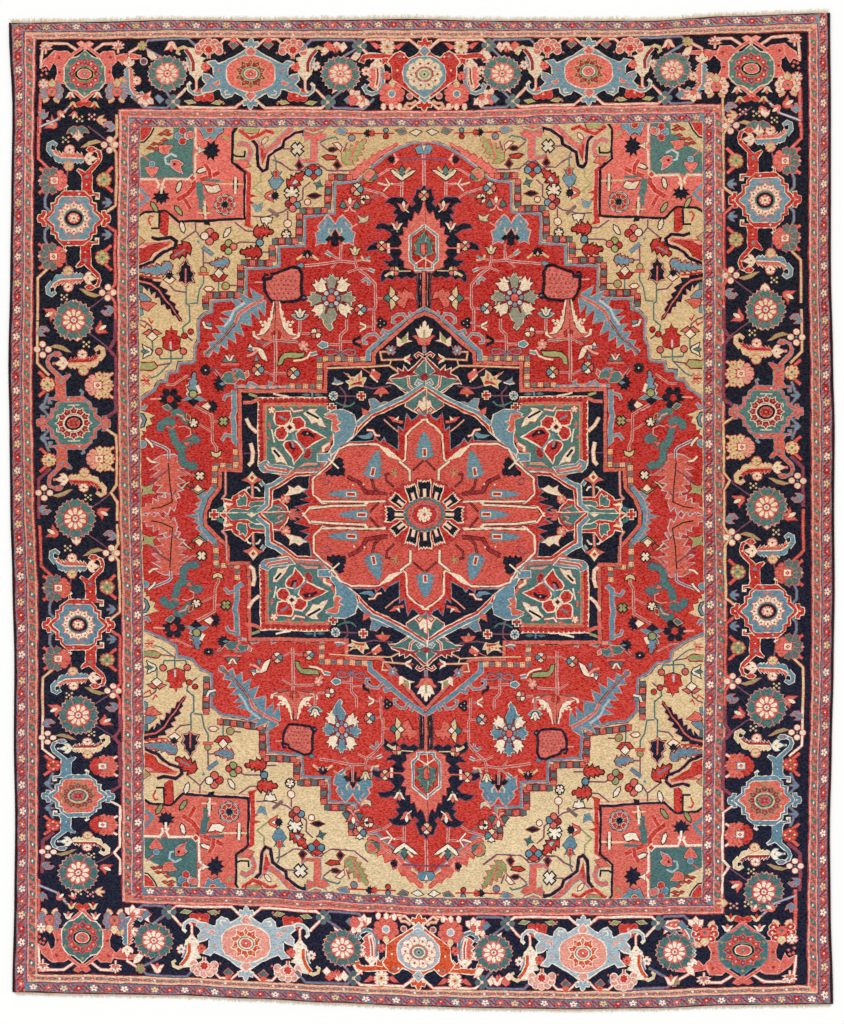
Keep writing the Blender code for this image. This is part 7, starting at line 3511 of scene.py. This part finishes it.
@dataclass
class Slab:
    """One flat closed piece of the carpet cut from the design."""

    name: str
    low: float  # metres above the floor
    high: float

    def build(self, cut: Cut, chosen: np.ndarray, shift: Point, face_down: bool = False) -> bpy.types.Object:
        """Builds the piece.

        Args:
            cut: the divided design.
            chosen: which triangles it takes.
            shift: the place of the design's middle, in metres.
            face_down: whether the design is on the underside.

        Returns:
            The object, with the wools and dye lots on its faces.
        """
        triangles = cut.triangles[chosen]
        used, local = np.unique(triangles, return_inverse=True)
        triangles = local.reshape(-1, 3)
        points = cut.points[used]
        runs = open_runs(triangles)
        plain, drawn = (self.high, self.low) if face_down else (self.low, self.high)
        heights = np.full(len(points), drawn)
        if not face_down:
            heights[cut.rim()[used]] -= PILE_SHOULDER
        rim = np.unique(runs)
        below = np.full(len(points), -1)
        below[rim] = len(points) + np.arange(len(rim))
        fill = np.array(flat_fill(points, joined(runs)))
        walls = np.concatenate(
            [
                np.stack([runs[:, 1], runs[:, 0], below[runs[:, 0]]], 1),
                np.stack([runs[:, 1], below[runs[:, 0]], below[runs[:, 1]]], 1),
            ]
        )
        faces = np.concatenate([triangles, walls, below[fill]])
        places = np.zeros((len(points) + len(rim), 3))
        places[: len(points), :2], places[: len(points), 2] = points, heights
        places[len(points) :, :2], places[len(points) :, 2] = points[rim], plain
        places[:, :2] = places[:, :2] * KNOT + shift
        if face_down:
            faces = faces[:, ::-1]
        wools = np.concatenate([cut.wools[chosen], np.full(len(faces) - len(triangles), -1)])
        wools[wools < 0] = self.wall_wools(cut.wools[chosen], triangles, runs, len(fill))
        return self.made(places, faces, wools, len(triangles))

    def wall_wools(
        self, wools: np.ndarray, triangles: np.ndarray, runs: np.ndarray, filled: int
    ) -> np.ndarray:
        """The wool of each wall, which is that of the triangle above it, and of the plain face.

        Args:
            wools: the wool of each triangle.
            triangles: the triangles.
            runs: the walls' directed runs.
            filled: how many triangles the plain face has.

        Returns:
            The wools, in the faces' order.
        """
        owners = {}
        for number, (a, b, c) in enumerate(triangles):
            for pair in ((a, b), (b, c), (c, a)):
                owners[pair] = number
        walls = np.array([wools[owners[(a, b)]] for a, b in runs])
        return np.concatenate([walls, walls, np.full(filled, list(Wool).index(IVORY))])

    @staticmethod
    def lay_flat(piece: bpy.types.Object, places: np.ndarray, faces: np.ndarray, drawn: int) -> None:
        """Gives the piece a flat UV map: the design over most of it, walls and plain face in a strip beside.

        Args:
            piece: the object.
            places: its points.
            faces: its triangles.
            drawn: how many of them carry the design.
        """
        low, high = places.min(0), places.max(0)
        x, y, z = ((places - low) / (high - low))[faces].transpose(2, 0, 1)
        number = np.arange(len(faces))[:, None]
        plain, wall = number >= drawn, (number >= drawn) & (np.ptp(z, axis=1)[:, None] > 0)
        u = np.where(wall, 0.85 + 0.03 * x + 0.02 * z, np.where(plain, 0.92 + 0.07 * x, 0.003 + 0.83 * x))
        v = np.where(wall, 0.01 + 0.94 * y + 0.03 * z, 0.003 + 0.994 * y)
        layer = piece.data.uv_layers.new(name="OFBake", do_init=False)
        layer.uv.foreach_set("vector", np.stack([u, v], -1).astype(np.float32).ravel())

    def made(self, places: np.ndarray, faces: np.ndarray, wools: np.ndarray, drawn: int) -> bpy.types.Object:
        """Makes the object from its points and triangles, with the wools on its faces.

        Args:
            places: the points.
            faces: the triangles.
            wools: the wool of each triangle.
            drawn: how many of the triangles carry the design.

        Returns:
            The object.
        """
        piece = made_mesh(self.name, places, faces, 3)
        self.lay_flat(piece, places, faces, drawn)
        lots = list(WoolPile.LOTS)
        colours = np.array([(*linear(wool.value[0]), 1.0) for wool in Wool])
        numbers = np.array([lots.index(wool.value[1]) for wool in Wool], float)
        wool = piece.data.attributes.new("wool", "FLOAT_COLOR", "FACE")
        wool.data.foreach_set("color", colours[wools].ravel())
        lot = piece.data.attributes.new("lot", "FLOAT", "FACE")
        lot.data.foreach_set("value", numbers[wools])
        return piece


def made_mesh(name: str, places: np.ndarray, faces: np.ndarray, corners: int) -> bpy.types.Object:
    """An object from points and faces that all have the same number of corners.

    Args:
        name: the piece's name.
        places: the points.
        faces: the faces, a row of point numbers for each.
        corners: how many corners a face has.

    Returns:
        The object, linked to the scene.
    """
    mesh = bpy.data.meshes.new(name)
    mesh.vertices.add(len(places))
    mesh.vertices.foreach_set("co", places.astype(np.float32).ravel())
    mesh.loops.add(len(faces) * corners)
    mesh.loops.foreach_set("vertex_index", faces.astype(np.int32).ravel())
    mesh.polygons.add(len(faces))
    mesh.polygons.foreach_set("loop_start", np.arange(0, len(faces) * corners, corners, dtype=np.int32))
    mesh.update(calc_edges=True)
    mesh.validate()
    mesh.shade_flat()
    piece = bpy.data.objects.new(name, mesh)
    bpy.context.scene.collection.objects.link(piece)
    return piece


@dataclass
class KnottedSheet:
    """The knotted body: the foundation with the design's back on its underside, and the pile in six zones."""

    thickness: float = PILE_HEIGHT
    foundation_top: float = 0.0042
    pile_bottom: float = 0.004
    knots_across: float = 821.0
    knots_along: float = 985.0
    back_detail: float = 400.0  # smallest shape shown on the underside, in square knots
    back_points: int = 40  # an outline of more points loses every second one on the underside
    back_shoulder: float = 0.3  # knots between the foundation's outline and the flat of its upper side

    ZONES: ClassVar[tuple[tuple[str, Point | None], ...]] = (
        # name, half width and half length of its outer edge in knots
        ("pile_outer_guards", None),
        ("pile_border_outer_half", (387.2, 473.8)),
        ("pile_border_inner_half", (346.0, 438.4)),
        ("pile_inner_guards", (304.6, 402.8)),
        ("pile_field", (282.4, 385.0)),
        ("pile_middle", (198.0, 262.0)),
    )

    def build(
        self, shift: Point, finish: bpy.types.Material
    ) -> tuple[bpy.types.Object, list[bpy.types.Object]]:
        """Builds the sheet.

        Args:
            shift: the place of the design's middle, in metres.
            finish: the pile's material.

        Returns:
            The foundation, and the pile's zones from the outside in.
        """
        loom = Loom()
        edge = [(x / KNOT, y / KNOT) for x, y in CarpetEdge().ground()]
        lines = [loom.knotted(frame(*size)) for _, size in self.ZONES if size]
        shapes = drawn_design()
        LOG.info("design: %d shapes, %d points", len(shapes), sum(len(outline) for outline, _ in shapes))
        cut = Cut(shapes, edge, lines)
        pile = []
        for number, (name, _) in enumerate(self.ZONES):
            zone = Slab(name, self.pile_bottom, self.thickness).build(cut, cut.zones == number, shift)
            LOG.info("%s: %d triangles", name, len(zone.data.polygons))
            pile.append(zone)
        coarse = [
            (outline[::2] if len(outline) > self.back_points else outline, wool)
            for outline, wool in shapes
            if abs(area(outline)) > self.back_detail
        ]
        back = Cut(coarse, edge, [], self.back_shoulder)
        everything = np.ones(len(back.triangles), bool)
        foundation = Slab("foundation", 0.0, self.foundation_top).build(
            back, everything, shift, face_down=True
        )
        LOG.info("foundation: %d triangles", len(foundation.data.polygons))
        for piece in (foundation, *pile):
            piece.data.materials.append(finish)
            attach(piece, "root")
            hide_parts("knotted_ground")
        return foundation, pile


# ---------------------------------------------------------------- bound sides and fringes


def walked(line: Outline, step: float) -> tuple[np.ndarray, np.ndarray]:
    """Evenly spaced places along a line.

    Args:
        line: the line.
        step: the length from place to place, rounded to fit.

    Returns:
        The places, and the line's direction at each.
    """
    points = np.array(line)
    lengths = np.concatenate([[0.0], np.cumsum(np.hypot(*np.diff(points, axis=0).T))])
    at = np.linspace(0.0, lengths[-1], round(lengths[-1] / step) + 1)
    places = np.stack([np.interp(at, lengths, points[:, i]) for i in (0, 1)], 1)
    ahead = np.gradient(places, axis=0)
    return places, ahead / np.hypot(*ahead.T)[:, None]


def tube(rings: np.ndarray) -> np.ndarray:
    """The quads of a tube through rings of points, with its ends closed by fans of quads.

    Args:
        rings: the points, by ring, corner and axis.

    Returns:
        The faces as point numbers.
    """
    count, corners = rings.shape[:2]
    ring, corner = np.meshgrid(np.arange(count - 1), np.arange(corners), indexing="ij")
    a = ring * corners + corner
    b = ring * corners + (corner + 1) % corners
    faces = np.stack([a, b, b + corners, a + corners], -1).reshape(-1, 4)
    last = (count - 1) * corners
    caps = []
    for k in range(1, corners - 2, 2):
        caps.append((k + 2, k + 1, k, 0))
        caps.append((last, last + k, last + k + 1, last + k + 2))
    return np.concatenate([faces, np.array(caps)])


@dataclass
class BoundSide:
    """A side cord wrapped closely with wool."""

    side: int  # -1 at the left, 1 at the right
    width: float = 0.009
    height: float = 0.0075
    wrap: float = 0.0039  # metres from one turn of the wool to the next
    slant: float = 0.0014  # metres that each turn leans along the cord
    corners: int = 10
    groove: float = 0.86  # the cord's size between two turns, as a share of its full size
    unevenness: float = 0.025
    rounding: float = 0.62  # how much of the section is round, the rest lies flat on the floor

    def build(self, shift: Point, finish: bpy.types.Material) -> bpy.types.Object:
        """Builds the bound side.

        Args:
            shift: the place of the design's middle, in metres.
            finish: its material.

        Returns:
            The object.
        """
        name = "left" if self.side < 0 else "right"
        middle = pushed(CarpetEdge().side(self.side), -self.side * self.width / 2)
        places, ahead = walked(middle, self.wrap / 2)
        rng = np.random.default_rng(7 + self.side)
        turns = np.arange(len(places))
        swell = np.where(turns % 2, 1.0, self.groove) + rng.normal(0, self.unevenness, len(places))
        sideways = np.stack([ahead[:, 1], -ahead[:, 0]], 1)
        angles = np.linspace(0.0, math.tau, self.corners, endpoint=False)
        across = np.cos(angles)[None, :] * self.width / 2 * swell[:, None]
        section = np.maximum(0.0, np.sin(angles) * self.rounding + (1 - self.rounding))
        height = section[None, :] * self.height * np.minimum(swell, 1)[:, None]
        lean = (np.sin(angles) * self.slant)[None, :, None] * ahead[:, None, :]
        flat = places[:, None, :] + sideways[:, None, :] * across[..., None] + lean + np.array(shift)
        rings = np.concatenate([flat, height[..., None]], -1)
        piece = made_mesh(f"bound_side_{name}", rings.reshape(-1, 3), tube(rings), 4)
        finish_piece(piece, finish, f"selvedge_{name}")
        return piece


def finish_piece(piece: bpy.types.Object, finish: bpy.types.Material, node: str) -> None:
    """Turns a piece's faces outward, gives it its finish and lets it stand for its CAD node.

    Args:
        piece: the piece.
        finish: its material.
        node: the node that it stands for.
    """
    shape = bmesh.new()
    shape.from_mesh(piece.data)
    bmesh.ops.recalc_face_normals(shape, faces=shape.faces)
    shape.to_mesh(piece.data)
    shape.free()
    piece.data.shade_smooth()
    piece.data.materials.append(finish)
    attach(piece, "root")
    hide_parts(node)
    LOG.info("%s: %d faces", piece.name, len(piece.data.polygons))


@dataclass
class Fringe:
    """The plain-woven strip past one end's knots, and the cut warps that leave it in tufts."""

    end: int  # -1 at the bottom, 1 at the top
    lock_length: float
    depth: float = 0.005
    thickness: float = 0.0024
    warp_pitch: float = 0.0046
    strands: int = 3
    strand_steps: int = 4
    strand_spacing: float = 0.0009
    strand_taper: float = 0.55  # share of its thickness that a strand loses towards its tip
    floor_gap: float = 0.0002
    seam: float = 0.0003  # between the knots and the strip

    def build(self, shift: Point, finish: bpy.types.Material) -> list[bpy.types.Object]:
        """Builds the strip and the tufts.

        Args:
            shift: the place of the design's middle, in metres.
            finish: their material.

        Returns:
            The two objects.
        """
        name = "bottom" if self.end < 0 else "top"
        places, ahead = walked(CarpetEdge().end(self.end), self.warp_pitch / 2)
        outward = np.stack([-ahead[:, 1], ahead[:, 0]], 1) * self.end
        places = places + np.array(shift)
        strip = self.strip(f"woven_end_{name}", places, outward)
        warps = self.warps(f"warp_ends_{name}", places, outward)
        for piece in (strip, warps):
            finish_piece(piece, finish, f"fringe_{name}")
        return [strip, warps]

    def strip(self, name: str, places: np.ndarray, outward: np.ndarray) -> bpy.types.Object:
        """Builds the woven strip, ribbed over each warp.

        Args:
            name: the piece's name.
            places: places along the end.
            outward: the direction away from the knots at each.

        Returns:
            The object.
        """
        rng = np.random.default_rng(23 + self.end)
        rib = np.where(np.arange(len(places)) % 2, 1.0, 0.78) + rng.normal(0, 0.03, len(places))
        reach = self.depth * (1 + rng.normal(0, 0.07, len(places)))
        profile = ((0.0003, 0.0), (0.0003, 0.8), (0.35, 1.0), (0.75, 0.92), (1.0, 0.5), (1.0, 0.0))
        rings = np.zeros((len(places), len(profile), 3))
        for i, (out, up) in enumerate(profile):
            rings[:, i, :2] = places + outward * (self.seam + out * reach)[:, None]
            rings[:, i, 2] = up * self.thickness * rib
        return made_mesh(name, rings.reshape(-1, 3), tube(rings), 4)

    def warps(self, name: str, places: np.ndarray, outward: np.ndarray) -> bpy.types.Object:
        """Builds the tufts of cut warps, each a few thin strands that spread and lie on the floor.

        Args:
            name: the piece's name.
            places: places along the end.
            outward: the direction away from the knots at each.

        Returns:
            The object.
        """
        rng = np.random.default_rng(41 + self.end)
        square = np.array([(1.0, 1.0), (-1.0, 1.0), (-1.0, -1.0), (1.0, -1.0)]) / math.sqrt(2)
        points, faces = [], []
        for root, out in zip(places[1::2], outward[1::2]):
            aside = np.array([out[1], -out[0]])
            length = self.lock_length * float(np.clip(rng.normal(1.0, 0.26), 0.35, 1.45))
            lean = rng.normal(0, 0.22)
            for strand in range(self.strands):
                reach = length * rng.uniform(0.72, 1.0)
                fan = lean + (strand - (self.strands - 1) / 2) * rng.uniform(0.08, 0.3)
                curl = rng.normal(0, 0.25)
                thick = rng.uniform(0.0005, 0.0008)
                start = root + out * self.depth * 0.55 + aside * (strand - 1) * self.strand_spacing
                rings = []
                for k in range(self.strand_steps):
                    t = k / (self.strand_steps - 1)
                    at = start + (out + aside * (fan * t + curl * t * t)) * (reach + self.depth * 0.45) * t
                    size = thick * (1 - self.strand_taper * t)
                    height = size + (1 - t) * self.thickness * 0.45 + self.floor_gap
                    rings.append([(*(at + aside * u * size), height + w * size) for u, w in square])
                rings = np.array(rings)
                faces.append(tube(rings) + len(points) * 4 * self.strand_steps)
                points.append(rings.reshape(-1, 3))
        return made_mesh(name, np.concatenate(points), np.concatenate(faces), 4)


# ---------------------------------------------------------------- stage


@dataclass(frozen=True)
class Stage:
    """The pale floor, the soft light and the camera straight above."""

    photo_height: int = 1024  # pixels, one for each knot
    distance: float = 12.0
    sensor: float = 36.0  # millimetres
    floor_size: float = 80.0
    floor_colour: str = "fbfbfa"
    floor_drop: float = 0.0002  # so that the floor doesn't show through the underside
    sky_strength: float = 0.72
    sun_strength: float = 1.45
    sun_spread: float = 35.0  # degrees
    sun_turn: Point = (-38.0, -30.0)  # degrees about x and y
    aim: float = 0.5  # knots from the design's middle to the photograph's, across
    farthest: float = 200.0

    def build(self, shift: Point) -> None:
        """Builds the floor, lights and camera.

        Args:
            shift: the place of the design's middle, in metres.
        """
        bpy.ops.object.select_all(action="DESELECT")
        bpy.ops.mesh.primitive_plane_add(size=self.floor_size, location=(0, 0, -self.floor_drop))
        floor = bpy.context.object
        floor.name = "floor"
        bpy.ops.object.transform_apply(location=True, rotation=False, scale=False)
        shader = Shader("pale_floor", 1.0)
        shader.surface.inputs["Base Color"].default_value = (*linear(self.floor_colour), 1.0)
        shader.surface.inputs["Specular IOR Level"].default_value = 0.0
        floor.data.materials.append(shader.material)
        world = bpy.context.scene.world or bpy.data.worlds.new("studio")
        bpy.context.scene.world = world
        world.use_nodes = True
        background = world.node_tree.nodes["Background"]
        background.inputs["Color"].default_value = (1.0, 1.0, 1.0, 1.0)
        background.inputs["Strength"].default_value = self.sky_strength
        turn = (*(math.radians(angle) for angle in self.sun_turn), 0)
        bpy.ops.object.light_add(type="SUN", location=(-2, 3, 6), rotation=turn)
        sun = bpy.context.object
        sun.name = "soft_light"
        sun.data.energy = self.sun_strength
        sun.data.angle = math.radians(self.sun_spread)
        bpy.context.scene.view_settings.view_transform = "Standard"
        self.camera(shift)

    def camera(self, shift: Point) -> None:
        """Hangs the camera over the carpet, so that one knot is one pixel of the photograph.

        Args:
            shift: the place of the design's middle, in metres.
        """
        height = PILE_HEIGHT + self.distance
        bpy.ops.object.camera_add(location=(shift[0] + self.aim * KNOT, shift[1], height), rotation=(0, 0, 0))
        camera = bpy.context.object
        camera.name = "camera_above"
        camera.data.sensor_width = self.sensor
        camera.data.lens = self.sensor * self.distance / (self.photo_height * KNOT)
        camera.data.clip_end = self.farthest
        bpy.context.scene.camera = camera


def main() -> None:
    """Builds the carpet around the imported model, piece by piece."""
    logging.basicConfig(level=logging.INFO, format="%(name)s: %(message)s")
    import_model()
    low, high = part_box("knotted_ground")
    ground = np.array(CarpetEdge().ground())
    middle = (ground.min(0) + ground.max(0)) / 2
    shift = ((low.x + high.x) / 2 - middle[0], (low.y + high.y) / 2 - middle[1])
    Stage().build(shift)
    KnottedSheet().build(shift, WoolPile().material())
    binding, cotton = WoolBinding().material(), CottonWarp().material()
    for side in (-1, 1):
        BoundSide(side).build(shift, binding)
    for end, lock_length in ((1, TOP_LOCKS), (-1, BOTTOM_LOCKS)):
        Fringe(end, lock_length).build(shift, cotton)


if __name__ == "__main__":
    main()
